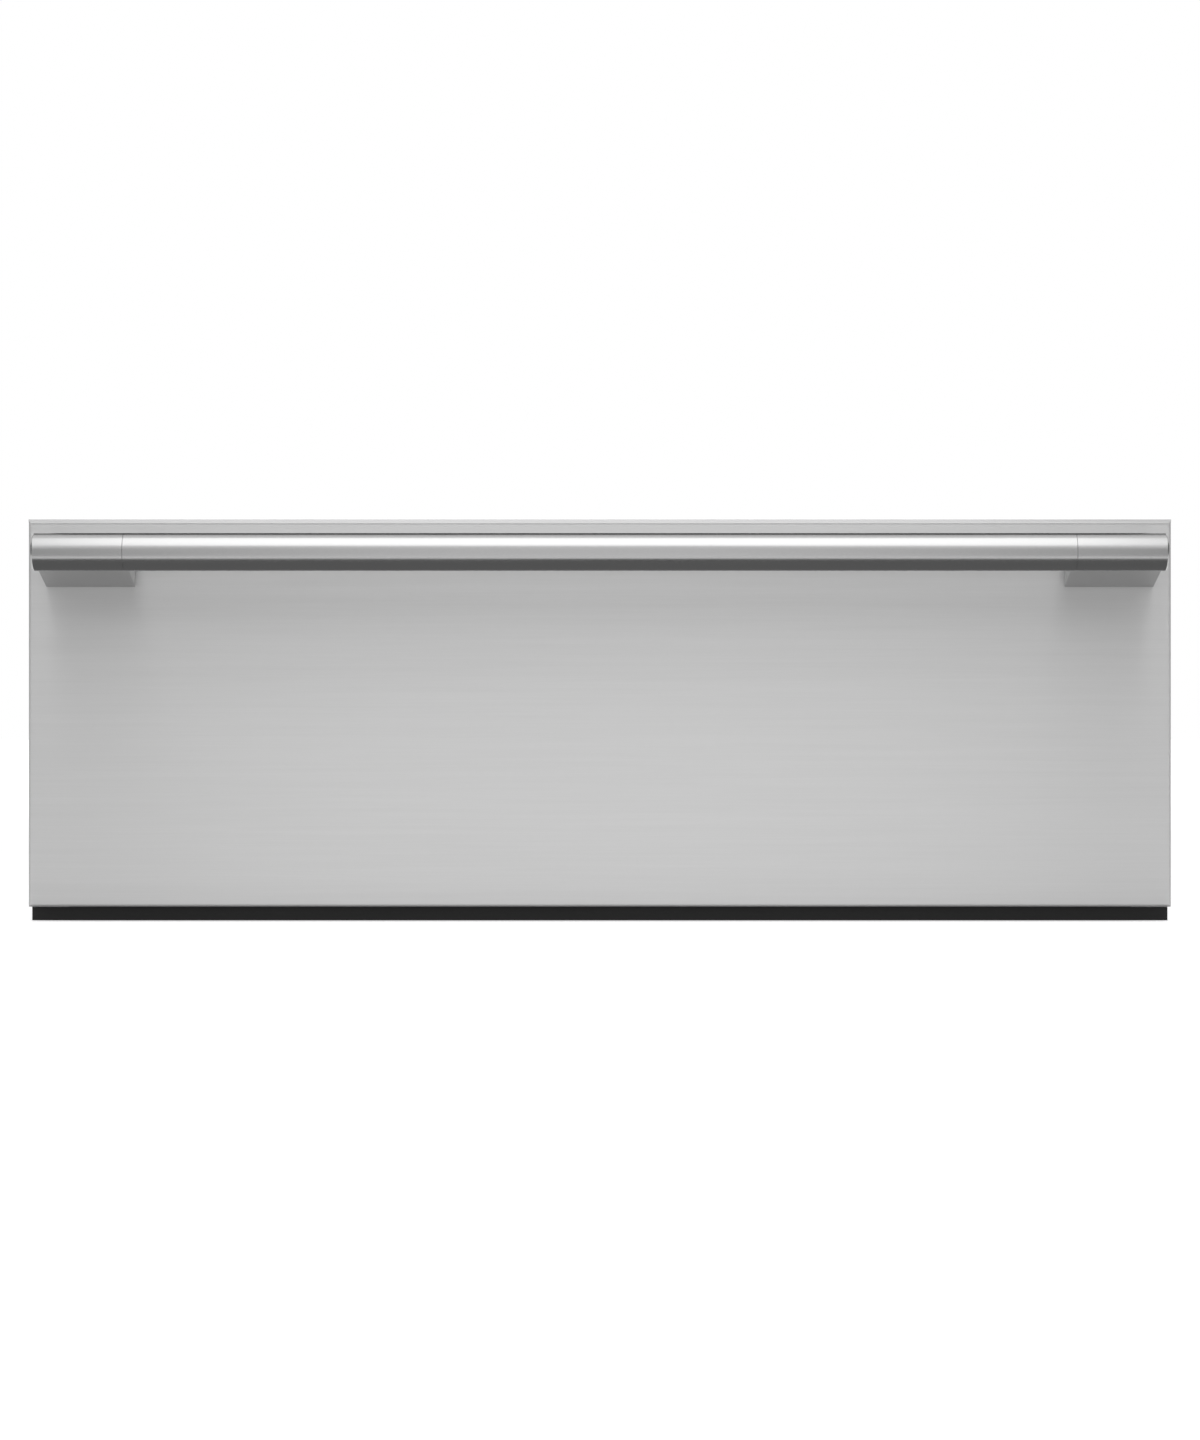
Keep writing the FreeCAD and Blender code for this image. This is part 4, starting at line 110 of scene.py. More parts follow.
def operator(kind: str, swapped: bool = False) -> Callable[["Value", "Value | float"], "Value"]:
    """Arithmetic with two numbers, which adds one Math node.

    Args:
        kind: The node's operation.
        swapped: Whether the other number comes first.

    Returns:
        The method that does it.
    """

    def apply(self: "Value", other: "Value | float") -> "Value":
        """Works on this number and another."""
        return self.maths(kind, other, self) if swapped else self.maths(kind, self, other)

    return apply


class Value:
    """A number that changes over a surface. Arithmetic on it adds Math nodes to its graph.

    Most is the larger of two, and angle_to is the angle of the point (other, this) round the origin.
    """

    def __init__(self, graph: "Graph", socket: bpy.types.NodeSocket) -> None:
        """Wraps an output socket of one of the graph's nodes."""
        self.graph = graph
        self.socket = socket

    def maths(self, operation: str, *terms: "Value | float") -> "Value":
        """Adds one Math node with its inputs in order, and gives its result."""
        made = self.graph.node("ShaderNodeMath", {"operation": operation}, dict(enumerate(terms)))
        return Value(self.graph, made.outputs[0])

    __add__ = __radd__ = operator("ADD")
    __sub__ = operator("SUBTRACT")
    __rsub__ = operator("SUBTRACT", swapped=True)
    __mul__ = __rmul__ = operator("MULTIPLY")
    __truediv__ = operator("DIVIDE")
    __pow__ = operator("POWER")
    __gt__ = operator("GREATER_THAN")
    most = operator("MAXIMUM")
    angle_to = operator("ARCTAN2")

    def __abs__(self) -> "Value":
        """The number without its sign."""
        return self.maths("ABSOLUTE", self)

    def wave(self) -> "Value":
        """Its sine."""
        return self.maths("SINE", self)

    def eased(self, low: float, high: float) -> "Value":
        """A smooth step.

        Args:
            low: Where the step starts, at nought.
            high: Where it ends, at one.

        Returns:
            The step's height.
        """
        made = self.graph.node(
            "ShaderNodeMapRange",
            {"interpolation_type": "SMOOTHSTEP"},
            {"Value": self, "From Min": low, "From Max": high},
        )
        return Value(self.graph, made.outputs[0])


class Graph:
    """The nodes of a material or of the sky."""

    def __init__(self, tree: bpy.types.NodeTree) -> None:
        """Empties a node tree and takes it over."""
        self.tree = tree
        tree.nodes.clear()

    def node(self, kind: str, settings: dict | None = None, inputs: dict | None = None) -> bpy.types.Node:
        """Adds a node.

        Args:
            kind: The node's type.
            settings: Its own settings, given to it first.
            inputs: A value, a socket or a plain number or colour for each input, by name or number.

        Returns:
            The node.
        """
        made = self.tree.nodes.new(kind)
        for name, value in (settings or {}).items():
            setattr(made, name, value)
        for key, value in (inputs or {}).items():
            source = value.socket if isinstance(value, Value) else value
            if isinstance(source, bpy.types.NodeSocket):
                self.tree.links.new(source, made.inputs[key])
            else:
                made.inputs[key].default_value = source
        return made

    def rays(self, *kinds: str) -> Value:
        """One for rays of any of some kinds, else nought.

        Args:
            *kinds: Camera, Glossy or Transmission.

        Returns:
            Whether the ray is of one of them.
        """
        path = self.node("ShaderNodeLightPath").outputs
        first, *others = [Value(self, path[f"Is {kind} Ray"]) for kind in kinds]
        for other in others:
            first = first.most(other)
        return first


class Surface(Graph):
    """A material in the making, round one Principled shader."""

    def __init__(self, name: str) -> None:
        """Starts a material with a shader, an output and the piece's own coordinates.

        Args:
            name: The material's name.
        """
        self.material = bpy.data.materials.new(name)
        self.material.use_nodes = True
        super().__init__(self.material.node_tree)
        self.shader = self.node("ShaderNodeBsdfPrincipled")
        self.output = self.node("ShaderNodeOutputMaterial", inputs={"Surface": self.shader.outputs[0]})
        self.place = self.node("ShaderNodeTexCoord").outputs["Object"]

    def axes(self) -> tuple[Value, Value, Value]:
        """The point's x, y and z."""
        apart = self.node("ShaderNodeSeparateXYZ", inputs={"Vector": self.place})
        return Value(self, apart.outputs[0]), Value(self, apart.outputs[1]), Value(self, apart.outputs[2])

    def speckle(self, repeats: float | Sequence[float], detail: float = 2.0, rough: float = 0.5) -> Value:
        """Soft noise.

        Args:
            repeats: How many times it changes per metre, on each axis or one number for all.
            detail: Number of finer layers.
            rough: How strong they are.

        Returns:
            The noise, from nought to one.
        """
        scale = (repeats,) * 3 if isinstance(repeats, float) else repeats
        spread = self.node("ShaderNodeMapping", inputs={"Vector": self.place, "Scale": scale})
        noise = self.node(
            "ShaderNodeTexNoise",
            inputs={"Vector": spread.outputs[0], "Scale": 1.0, "Detail": detail, "Roughness": rough},
        )
        return Value(self, noise.outputs[0])

    def flakes(self, size: float) -> Value:
        """A plain tone for each of many crystals.

        Args:
            size: How far apart they are, in metres.

        Returns:
            Their tones, from nought to one.
        """
        cells = self.node("ShaderNodeTexVoronoi", inputs={"Vector": self.place, "Scale": 1 / size})
        apart = self.node("ShaderNodeSeparateColor", inputs={"Color": cells.outputs["Color"]})
        return Value(self, apart.outputs[0])

    def tint(self, share: Value, low: Colour | bpy.types.NodeSocket, high: Colour) -> bpy.types.NodeSocket:
        """A colour between two.

        Args:
            share: How much of the second.
            low: The colour at nought.
            high: The colour at one.

        Returns:
            The mixed colour.
        """
        low = low if isinstance(low, bpy.types.NodeSocket) else (*low, 1.0)
        made = self.node("ShaderNodeMix", {"data_type": "RGBA"}, {0: share, 6: low, 7: (*high, 1.0)})
        return made.outputs[2]

    def shades(self, share: Value, colour: Colour, dark: float, light: float = 1.0) -> bpy.types.NodeSocket:
        """A colour between two shades of one colour, each given by its factor."""
        low, high = (tuple(channel * by for channel in colour) for by in (dark, light))
        return self.tint(share, low, high)

    def relief(self, height: Value, depth: float) -> None:
        """Roughens the surface with a height, in metres."""
        bump = self.node("ShaderNodeBump", inputs={"Height": height, "Distance": depth, "Strength": 1.0})
        self.set({"Normal": bump.outputs[0]})

    def set(self, inputs: dict) -> "Surface":
        """Gives the shader values, colours or links by the names of its sockets.

        Args:
            inputs: A value, a socket or a plain number or colour for each input, by name.

        Returns:
            This surface.
        """
        for key, value in inputs.items():
            source = value.socket if isinstance(value, Value) else value
            if isinstance(source, bpy.types.NodeSocket):
                self.tree.links.new(source, self.shader.inputs[key])
            else:
                plain = isinstance(source, tuple) and len(source) == 3
                self.shader.inputs[key].default_value = (*source, 1.0) if plain else source
        return self


@dataclass(frozen=True)
class Finish:
    """What all finishes have: a colour, and a way to become a material."""

    colour: Colour

    def lay(self, work: Surface) -> None:
        """Lays the finish on a surface. Each kind has its own way."""
        raise NotImplementedError

    def make(self, name: str) -> bpy.types.Material:
        """Makes the material.

        Args:
            name: The material's name.

        Returns:
            The material.
        """
        work = Surface(name)
        self.lay(work)
        return work.material


@dataclass(frozen=True)
class BrushedSteel(Finish):
    """Steel with fine lines along its grain."""

    grain: Grain
    rough: float
    spread: float
    contrast: float = 0.05
    line: tuple[float, float] = (0.06, 0.0004)
    streak: tuple[float, float] = (0.16, 0.0035)
    depth: float = 0.000004
    metal: float = 1.0

    def lay(self, work: Surface) -> None:
        """Lays the finish on.

        Args:
            work: The surface.
        """
        lines = work.speckle(self.grain.stretch(*self.line), 3.0, 0.6)
        streaks = work.speckle(self.grain.stretch(*self.streak), 2.0, 0.55)
        mood = work.speckle(3.0, 1.0)
        mixed = (lines * 0.45 + streaks * 0.4 + mood * 0.15).eased(0.25, 0.75)
        work.set({
            "Base Color": work.shades(mixed, self.colour, 1 - self.contrast, 1 + self.contrast),
            "Metallic": self.metal,
            "Roughness": self.rough + (lines - 0.5) * 0.08 + (streaks - 0.5) * 0.05,
            "Anisotropic": self.spread,
            "Anisotropic Rotation": 0.25,
        })
        work.relief(lines, self.depth)


@dataclass(frozen=True)
class ZincSheet(Finish):
    """Rolled sheet with a dull coat of zinc and its faint crystals."""

    rough: float
    crystal: float = 0.007
    contrast: float = 0.12
    grain: Grain = Grain.FORE

    def lay(self, work: Surface) -> None:
        """Lays the finish on.

        Args:
            work: The surface.
        """
        crystals = work.flakes(self.crystal)
        rolling = work.speckle(self.grain.stretch(0.08, 0.0012), 2.0)
        haze = work.speckle(9.0, 3.0)
        share = crystals * 0.4 + rolling * 0.3 + haze * 0.3
        work.set({
            "Base Color": work.shades(share, self.colour, 1 - self.contrast, 1 + self.contrast),
            "Metallic": 1.0,
            "Roughness": self.rough + (crystals - 0.5) * 0.1 + (haze - 0.5) * 0.08,
        })
        work.relief(rolling, 0.000004)


@dataclass(frozen=True)
class Coat(Finish):
    """Paint, moulded plastic, rubber or silicone: one colour with a fine grain and faint dust."""

    rough: float
    grit: float = 0.0006
    depth: float = 0.00002
    shine: float = 0.5
    lift: float = 0.25
    sheen: float = 0.0

    def lay(self, work: Surface) -> None:
        """Lays the finish on.

        Args:
            work: The surface.
        """
        grit = work.speckle(1 / self.grit, 3.0, 0.6)
        dust = work.speckle(22.0, 4.0, 0.65)
        share = (grit * 0.4 + dust * 0.6).eased(0.3, 0.8)
        work.set({
            "Base Color": work.shades(share, self.colour, 1.0, 1 + self.lift),
            "Roughness": self.rough + (dust - 0.5) * 0.12,
            "Specular IOR Level": self.shine,
            "Sheen Weight": self.sheen,
        })
        work.relief(grit, self.depth)


@dataclass(frozen=True)
class PlainMetal(Finish):
    """Plated, cast, machined or anodised metal without a grain."""

    rough: float
    grit: float = 0.002
    depth: float = 0.00001
    contrast: float = 0.06

    def lay(self, work: Surface) -> None:
        """Lays the finish on.

        Args:
            work: The surface.
        """
        grit = work.speckle(1 / self.grit, 3.0, 0.6)
        haze = work.speckle(30.0, 3.0)
        work.set({
            "Base Color": work.shades(
                grit * 0.5 + haze * 0.5, self.colour, 1 - self.contrast, 1 + self.contrast
            ),
            "Metallic": 1.0,
            "Roughness": self.rough + (haze - 0.5) * 0.1,
        })
        work.relief(grit, self.depth)


@dataclass(frozen=True)
class ClearGlass(Finish):
    """Thick clear glass, faintly green through its depth."""

    colour: Colour = (0.97, 0.99, 0.985)
    depth_colour: Colour = (0.35, 0.88, 0.72)
    density: float = 3.0
    ior: float = 1.52

    def lay(self, work: Surface) -> None:
        """Lays the finish on.

        Args:
            work: The surface.
        """
        wiped = work.speckle((14.0, 40.0, 14.0), 4.0, 0.7)
        work.set({
            "Base Color": self.colour,
            "Roughness": wiped.eased(0.55, 0.9) * 0.05,
            "IOR": self.ior,
            "Transmission Weight": 1.0,
        })
        depth = work.node(
            "ShaderNodeVolumeAbsorption", inputs={"Color": (*self.depth_colour, 1.0), "Density": self.density}
        )
        work.tree.links.new(depth.outputs[0], work.output.inputs["Volume"])


@dataclass(frozen=True)
class Ribbed(Finish):
    """Fine ribs under faint stains: wound tape, woven cloth or stacked sheets."""

    ribs: Callable[[Surface], Value]
    rough: float
    stains: tuple[float, float, float]
    tones: tuple[float, float]
    depth: float
    share: float = 0.2
    metal: float = 0.0

    def lay(self, work: Surface) -> None:
        """Lays the finish on.

        Args:
            work: The surface.
        """
        ribs = self.ribs(work)
        stain = work.speckle(self.stains, 4.0, 0.6)
        mixed = ribs * self.share + stain * (1 - self.share)
        work.set({
            "Base Color": work.shades(mixed, self.colour, *self.tones),
            "Metallic": self.metal,
            "Roughness": self.rough + (stain - 0.5) * 0.2,
        })
        work.relief(ribs, self.depth)


def laps(node: str, count: int) -> Callable[[Surface], Value]:
    """Ribs of a tape that is wound over a ring.

    Args:
        node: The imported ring.
        count: How often the tape goes round.

    Returns:
        What gives the ribs' height on a surface.
    """
    low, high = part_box(node)
    middle = (low + high) / 2

    def height(work: Surface) -> Value:
        """The height of the laps, which lean a little."""
        x, y, z = work.axes()
        return ((y - middle.y).angle_to(x - middle.x) * count + z * 60).wave()

    return height


def weave(thread: float) -> Callable[[Surface], Value]:
    """Ribs of threads that cross.

    Args:
        thread: Width of a thread.

    Returns:
        What gives the ribs' height on a surface.
    """

    def height(work: Surface) -> Value:
        """The height of the cloth."""
        x, y, _ = work.axes()
        return (x * (math.pi / thread)).wave() * (y * (math.pi / thread)).wave()

    return height


def sheets(thick: float) -> Callable[[Surface], Value]:
    """Ribs of sheets of one thickness that are stacked along the shaft."""
    return lambda work: (work.axes()[1] * (2 * math.pi / thick)).wave()


@dataclass(frozen=True)
class CircuitBoard(Finish):
    """Varnished board with its printed tracks and pads."""

    pitch: float = 0.0025

    def lay(self, work: Surface) -> None:
        """Lays the finish on.

        Args:
            work: The surface.
        """
        x, y, _ = work.axes()
        pace = math.pi / self.pitch
        blocks = work.flakes(0.018)
        along = (x * pace).wave() * (blocks > 0.5) + (y * pace).wave() * (1 - (blocks > 0.5))
        track = along.eased(0.55, 0.7)
        pad = (abs((x * pace).wave()) * abs((y * pace).wave())).eased(0.9, 0.95)
        green = work.shades(track, self.colour, 1.0, 2.2)
        work.set({
            "Base Color": work.tint(pad, green, (0.6, 0.55, 0.4)),
            "Metallic": pad * 0.9,
            "Roughness": 0.35 + pad * 0.1,
        })
        work.relief(track + pad, 0.00005)


@dataclass(frozen=True)
class Tubing(Finish):
    """Soft clear hose, a little clouded."""

    through: float = 0.7
    rough: float = 0.18

    def lay(self, work: Surface) -> None:
        """Lays the finish on.

        Args:
            work: The surface.
        """
        cloud = work.speckle(70.0, 3.0)
        work.set({
            "Base Color": work.shades(cloud, self.colour, 0.85),
            "Roughness": self.rough + cloud * 0.15,
            "IOR": 1.45,
            "Transmission Weight": self.through,
        })
        work.relief(cloud, 0.0001)


FINISHES = {
    "front_steel": BrushedSteel((0.6, 0.6, 0.6), Grain.ACROSS, 0.37, 0.95, 0.03, metal=0.55, depth=0.0000015),
    "handle_steel": BrushedSteel((0.45, 0.45, 0.45), Grain.ACROSS, 0.24, 0.3, 0.03, (0.03, 0.0003)),
    "deck_steel": BrushedSteel((0.56, 0.56, 0.565), Grain.FORE, 0.3, 0.5, 0.06),
    "chamber_steel": BrushedSteel(
        (0.6, 0.6, 0.605), Grain.ACROSS, 0.24, 0.3, 0.03, (0.03, 0.0004), (0.3, 0.02), 0.000001
    ),
    "sheet_steel": ZincSheet((0.52, 0.53, 0.54), 0.4),
    "rail_steel": ZincSheet((0.55, 0.56, 0.58), 0.28, 0.02, 0.05),
    "plated_steel": PlainMetal((0.7, 0.7, 0.71), 0.16),
    "trim_black": Coat((0.013, 0.013, 0.013), 0.5, shine=0.35),
    "rubber_black": Coat((0.022, 0.022, 0.022), 0.78, 0.0009, 0.00005, 0.3, 0.5, 0.1),
    "silicone_grey": Coat((0.3, 0.3, 0.3), 0.55, 0.001, 0.00001, 0.5, 0.12, 0.2),
    "lid_glass": ClearGlass(),
    "control_black": Coat((0.004, 0.004, 0.0045), 0.06, 0.01, 0.0, 0.6, 0.3),
    "moulded_black": Coat((0.028, 0.028, 0.029), 0.48, 0.0005, 0.00003, 0.4, 0.3),
    "seal_body": PlainMetal((0.55, 0.56, 0.57), 0.4, 0.0006, 0.000005, 0.04),
    "release_tape": Ribbed((0.36, 0.22, 0.1), weave(0.0006), 0.42, (40, 90, 40), (0.7, 1.2), 0.00006),
    "pump_aluminium": PlainMetal((0.5, 0.51, 0.52), 0.52, 0.0012, 0.00012, 0.12),
    "motor_grey": Coat((0.13, 0.14, 0.15), 0.42, 0.0014, 0.00008, 0.5, 0.3),
    "motor_core": Ribbed(
        (0.3, 0.29, 0.28), sheets(0.0005), 0.45, (50, 50, 50), (0.7, 1.3), 0.00004, share=0.0, metal=1.0
    ),
    "filter_white": Coat((0.62, 0.62, 0.6), 0.5, 0.0008, 0.00003),
    "valve_body": PlainMetal((0.56, 0.56, 0.57), 0.34, 0.0015, 0.00001),
    "hose_clear": Tubing((0.8, 0.82, 0.78)),
    "core_tape": Ribbed(
        (0.5, 0.36, 0.05), laps("transformer", 64), 0.45, (60, 60, 60), (0.65, 1.25), 0.0003
    ),
    "board_green": CircuitBoard((0.012, 0.09, 0.04)),
    "loom_black": Coat((0.02, 0.02, 0.02), 0.55, 0.0008, 0.0001),
}
SMALL_FINISHES = {
    "brass": PlainMetal((0.72, 0.52, 0.22), 0.28),
    "print_white": Coat((0.8, 0.81, 0.82), 0.4, 0.001, 0.0, 0.3, 0.08),
    "sleeve_blue": Coat((0.01, 0.025, 0.09), 0.3, 0.002, 0.00001),
    "nylon_white": Coat((0.6, 0.59, 0.55), 0.5, 0.001, 0.00002),
    "nichrome": PlainMetal((0.5, 0.48, 0.46), 0.3, 0.0006),
}
SLOT_OF = {row["node"]: row["material_slot"] for row in frame["record"]["subparts"]}
MATERIALS = {slot: finish.make(slot + "_finish") for slot, finish in (FINISHES | SMALL_FINISHES).items()}


def lay_down() -> None:
    """Leaves edit mode and lets go of everything."""
    if bpy.context.object and bpy.context.object.mode != "OBJECT":
        bpy.ops.object.mode_set(mode="OBJECT")
    bpy.ops.object.select_all(action="DESELECT")


def hold(shape: bpy.types.Object) -> None:
    """Leaves edit mode and chooses one object alone.

    Args:
        shape: The object.
    """
    lay_down()
    shape.select_set(True)
    bpy.context.view_layer.objects.active = shape


class Piece:
    """One mesh in the making, shaped with the modelling operators."""

    def __init__(self, name: str) -> None:
        """Takes the newest object, settles its place into its mesh and opens it for editing.

        Args:
            name: The piece's name.
        """
        self.shape = bpy.context.object
        self.shape.name = name
        self.shape.data.name = name
        bpy.ops.object.transform_apply(location=True, rotation=True, scale=True)
        self.edit()

    @classmethod
    def block(cls, name: str, low: Sequence[float], high: Sequence[float]) -> "Piece":
        """Starts from a block.

        Args:
            name: The piece's name.
            low: Its lowest corner.
            high: Its highest corner.

        Returns:
            The piece.
        """
        lay_down()
        low, high = Vector(low), Vector(high)
        bpy.ops.mesh.primitive_cube_add(size=1.0, location=(low + high) / 2, scale=high - low)
        return cls(name)

    @classmethod
    def rod(cls, name: str, start: Sequence[float], end: Sequence[float], radius: float,
            sides: int = 48) -> "Piece":
        """Starts from a round bar.

        Args:
            name: The piece's name.
            start: Middle of one end.
            end: Middle of the other.
            radius: Its radius.
            sides: Number of its sides.

        Returns:
            The piece.
        """
        lay_down()
        start, end = Vector(start), Vector(end)
        way = end - start
        bpy.ops.mesh.primitive_cylinder_add(
            vertices=sides,
            radius=radius,
            depth=way.length,
            location=(start + end) / 2,
            rotation=way.to_track_quat("Z", "Y").to_euler(),
        )
        return cls(name)

    @classmethod
    def merged_copy(cls, node: str, name: str) -> "Piece":
        """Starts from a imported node's shape, its loose triangles joined to plain faces.

        Args:
            node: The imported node.
            name: The piece's name.

        Returns:
            The piece.
        """
        lay_down()
        shape = bpy.data.objects.new(name, frame["nodes"][node].data.copy())
        shape.data.materials.clear()
        bpy.context.scene.collection.objects.link(shape)
        hold(shape)
        bpy.ops.mesh.customdata_custom_splitnormals_clear()
        piece = cls(name).merge()
        bpy.ops.mesh.select_all(action="SELECT")
        bpy.ops.mesh.dissolve_limited(angle_limit=FLAT)
        return piece

    def edit(self) -> "Piece":
        """Opens the mesh for editing with nothing chosen.

        Returns:
            This piece.
        """
        hold(self.shape)
        bpy.ops.object.mode_set(mode="EDIT")
        bpy.ops.mesh.select_all(action="DESELECT")
        return self

    def choose(self, part: Part, test: Test) -> "Piece":
        """Chooses points, edges or faces.

        Args:
            part: Which of them.
            test: Whether one with this middle and this direction is wanted.

        Returns:
            This piece.
        """
        bpy.ops.mesh.select_mode(type=part.value)
        bpy.ops.mesh.select_all(action="DESELECT")
        mesh = bmesh.from_edit_mesh(self.shape.data)
        if part is Part.POINTS:
            for point in mesh.verts:
                point.select = test(point.co, point.normal)
        elif part is Part.EDGES:
            for edge in mesh.edges:
                ends = [point.co for point in edge.verts]
                edge.select = test((ends[0] + ends[1]) / 2, (ends[1] - ends[0]).normalized())
        else:
            for face in mesh.faces:
                face.select = test(face.calc_center_median(), face.normal)
        mesh.select_flush_mode()
        bmesh.update_edit_mesh(self.shape.data)
        return self

    def cut_at(self, point: Sequence[float], normal: Sequence[float]) -> "Piece":
        """Cuts edges into the whole mesh where a plane passes.

        Args:
            point: A point of the plane.
            normal: The direction that it faces.

        Returns:
            This piece.
        """
        bpy.ops.mesh.select_all(action="SELECT")
        bpy.ops.mesh.bisect(plane_co=point, plane_no=normal)
        return self

    def extrude(self, offset: Sequence[float]) -> "Piece":
        """Draws the chosen faces or edges out along an offset."""
        bpy.ops.mesh.extrude_region_move(TRANSFORM_OT_translate={"value": tuple(offset)})
        return self

    def move(self, offset: Sequence[float]) -> "Piece":
        """Moves what is chosen."""
        bpy.ops.transform.translate(value=tuple(offset))
        return self

    def inset(self, width: float, depth: float = 0.0, apart: bool = False) -> "Piece":
        """Sets the chosen faces in from their rim, together or each apart, and down by a depth."""
        bpy.ops.mesh.inset(thickness=width, depth=-depth, use_even_offset=True, use_individual=apart)
        return self

    def bevel(self, width: float, steps: int = 3) -> "Piece":
        """Rounds the chosen edges."""
        bpy.ops.mesh.bevel(
            offset=width, segments=steps, affect="EDGES", offset_type="OFFSET", clamp_overlap=True
        )
        return self

    def widen(self, factor: Sequence[float], centre: Sequence[float]) -> "Piece":
        """Scales what is chosen about a point."""
        bpy.ops.transform.resize(value=tuple(factor), center_override=tuple(centre))
        return self

    def swell(self, height: float) -> "Piece":
        """Moves the chosen points out along their own directions."""
        bpy.ops.transform.shrink_fatten(value=height)
        return self

    def merge(self) -> "Piece":
        """Joins points that lie on each other.

        Returns:
            This piece.
        """
        bpy.ops.mesh.select_all(action="SELECT")
        bpy.ops.mesh.remove_doubles(threshold=SAME_POINT)
        bpy.ops.mesh.select_all(action="DESELECT")
        return self

    def spin(self, steps: int, centre: Sequence[float]) -> "Piece":
        """Carries the mesh, an outline, once round an upright axis and closes it.

        Args:
            steps: Number of its steps.
            centre: A point of the axis.

        Returns:
            This piece.
        """
        bpy.ops.mesh.select_all(action="SELECT")
        bpy.ops.mesh.spin(steps=steps, angle=2 * math.pi, center=tuple(centre), axis=(0, 0, 1))
        return self.merge().outwards()

    def remove(self) -> "Piece":
        """Takes the chosen faces away."""
        bpy.ops.mesh.delete(type="FACE")
        return self

    def join_rims(self) -> "Piece":
        """Joins two chosen faces by a wall, which leaves a hole through the piece."""
        bpy.ops.mesh.bridge_edge_loops()
        return self

    def turn(self, angle: float, axis: str, centre: Sequence[float]) -> "Piece":
        """Turns the whole mesh.

        Args:
            angle: In degrees.
            axis: X, Y or Z.
            centre: The point that stays.

        Returns:
            This piece.
        """
        bpy.ops.mesh.select_all(action="SELECT")
        bpy.ops.transform.rotate(value=math.radians(angle), orient_axis=axis, center_override=tuple(centre))
        bpy.ops.mesh.select_all(action="DESELECT")
        return self

    def dress(self, finish: str) -> "Piece":
        """Gives the whole piece a finish.

        Args:
            finish: The finish.

        Returns:
            This piece.
        """
        self.shape.data.materials.clear()
        self.shape.data.materials.append(MATERIALS[finish])
        return self

    def paint(self, finish: str, test: Test) -> "Piece":
        """Gives some faces another finish.

        Args:
            finish: The finish.
            test: Whether a face with this middle and this direction takes it.

        Returns:
            This piece.
        """
        self.choose(Part.FACES, test)
        self.shape.data.materials.append(MATERIALS[finish])
        self.shape.active_material_index = len(self.shape.data.materials) - 1
        bpy.ops.object.material_slot_assign()
        bpy.ops.mesh.select_all(action="DESELECT")
        return self

    def finish_with(self, kind: str, **settings: object) -> "Piece":
        """Adds a modifier, applies it and goes on editing.

        Args:
            kind: The modifier's type.
            **settings: Its settings.

        Returns:
            This piece.
        """
        hold(self.shape)
        step = self.shape.modifiers.new(kind.title(), kind)
        for name, value in settings.items():
            setattr(step, name, value)
        bpy.ops.object.modifier_apply(modifier=step.name)
        return self.edit()

    def soften(self, width: float, steps: int = 2, angle: float = 40.0) -> "Piece":
        """Rounds every edge that turns by more than an angle, in degrees."""
        return self.finish_with(
            "BEVEL",
            width=width,
            segments=steps,
            limit_method="ANGLE",
            angle_limit=math.radians(angle),
            use_clamp_overlap=True,
        )

    def combine(self, other: "Piece", how: str) -> "Piece":
        """Joins another piece to this one, or takes it away, and uses it up.

        Args:
            other: The other piece.
            how: UNION or DIFFERENCE.

        Returns:
            This piece.
        """
        self.finish_with("BOOLEAN", object=other.shape, operation=how, solver="EXACT")
        used = other.shape.data
        bpy.data.objects.remove(other.shape)
        bpy.data.meshes.remove(used)
        return self

    def duplicate(self) -> bpy.types.Object:
        """A copy of the object with its own mesh, chosen alone.

        Returns:
            The copy.
        """
        lay_down()
        shape = self.shape.copy()
        shape.data = self.shape.data.copy()
        bpy.context.scene.collection.objects.link(shape)
        hold(shape)
        return shape

    def twin(self, name: str, offset: Sequence[float], up: Vector | None = None) -> "Piece":
        """A copy with its own mesh, some way off.

        Args:
            name: The copy's name.
            offset: How far off.
            up: Where the copy's Z points, if not up.

        Returns:
            The copy.
        """
        shape = self.duplicate()
        shape.location = Vector(offset)
        if up:
            shape.rotation_euler = up.to_track_quat("Z", "Y").to_euler()
        return Piece(name)

    def mirrored(self, name: str) -> "Piece":
        """The same piece on the other side of the middle, its faces turned outwards again."""
        self.duplicate().scale = (-1.0, 1.0, 1.0)
        return Piece(name).outwards()

    def at_corners(self, one: Sequence[float], other: Sequence[float]) -> "Piece":
        """Adds copies at the other three corners of a rectangle, given by its two sides."""
        one, other = Vector(one), Vector(other)
        return self.absorb([self.twin(self.shape.name + "_more", side) for side in (one, other, one + other)])

    def outwards(self) -> "Piece":
        """Turns every face outwards.

        Returns:
            This piece.
        """
        bpy.ops.mesh.select_all(action="SELECT")
        bpy.ops.mesh.normals_make_consistent(inside=False)
        bpy.ops.mesh.select_all(action="DESELECT")
        return self

    def absorb(self, others: Iterable["Piece"]) -> "Piece":
        """Makes other pieces part of this one. Those without a finish take this one's.

        Args:
            others: The other pieces.

        Returns:
            This piece.
        """
        hold(self.shape)
        for other in others:
            if not other.shape.data.materials and self.shape.data.materials:
                other.shape.data.materials.append(self.shape.data.materials[0])
            other.shape.select_set(True)
        bpy.ops.object.join()
        return self.edit()

    def brush_along_x(self) -> "Piece":
        """Lays the shine's direction along X all over, as the brushing runs.

        Returns:
            This piece.
        """
        mesh = self.shape.data
        mesh.use_auto_texspace = False
        mesh.texspace_size = (100.0, 1.0, 1.0)
        mesh.texspace_location = (0.0, 1000.0, 0.0)
        return self

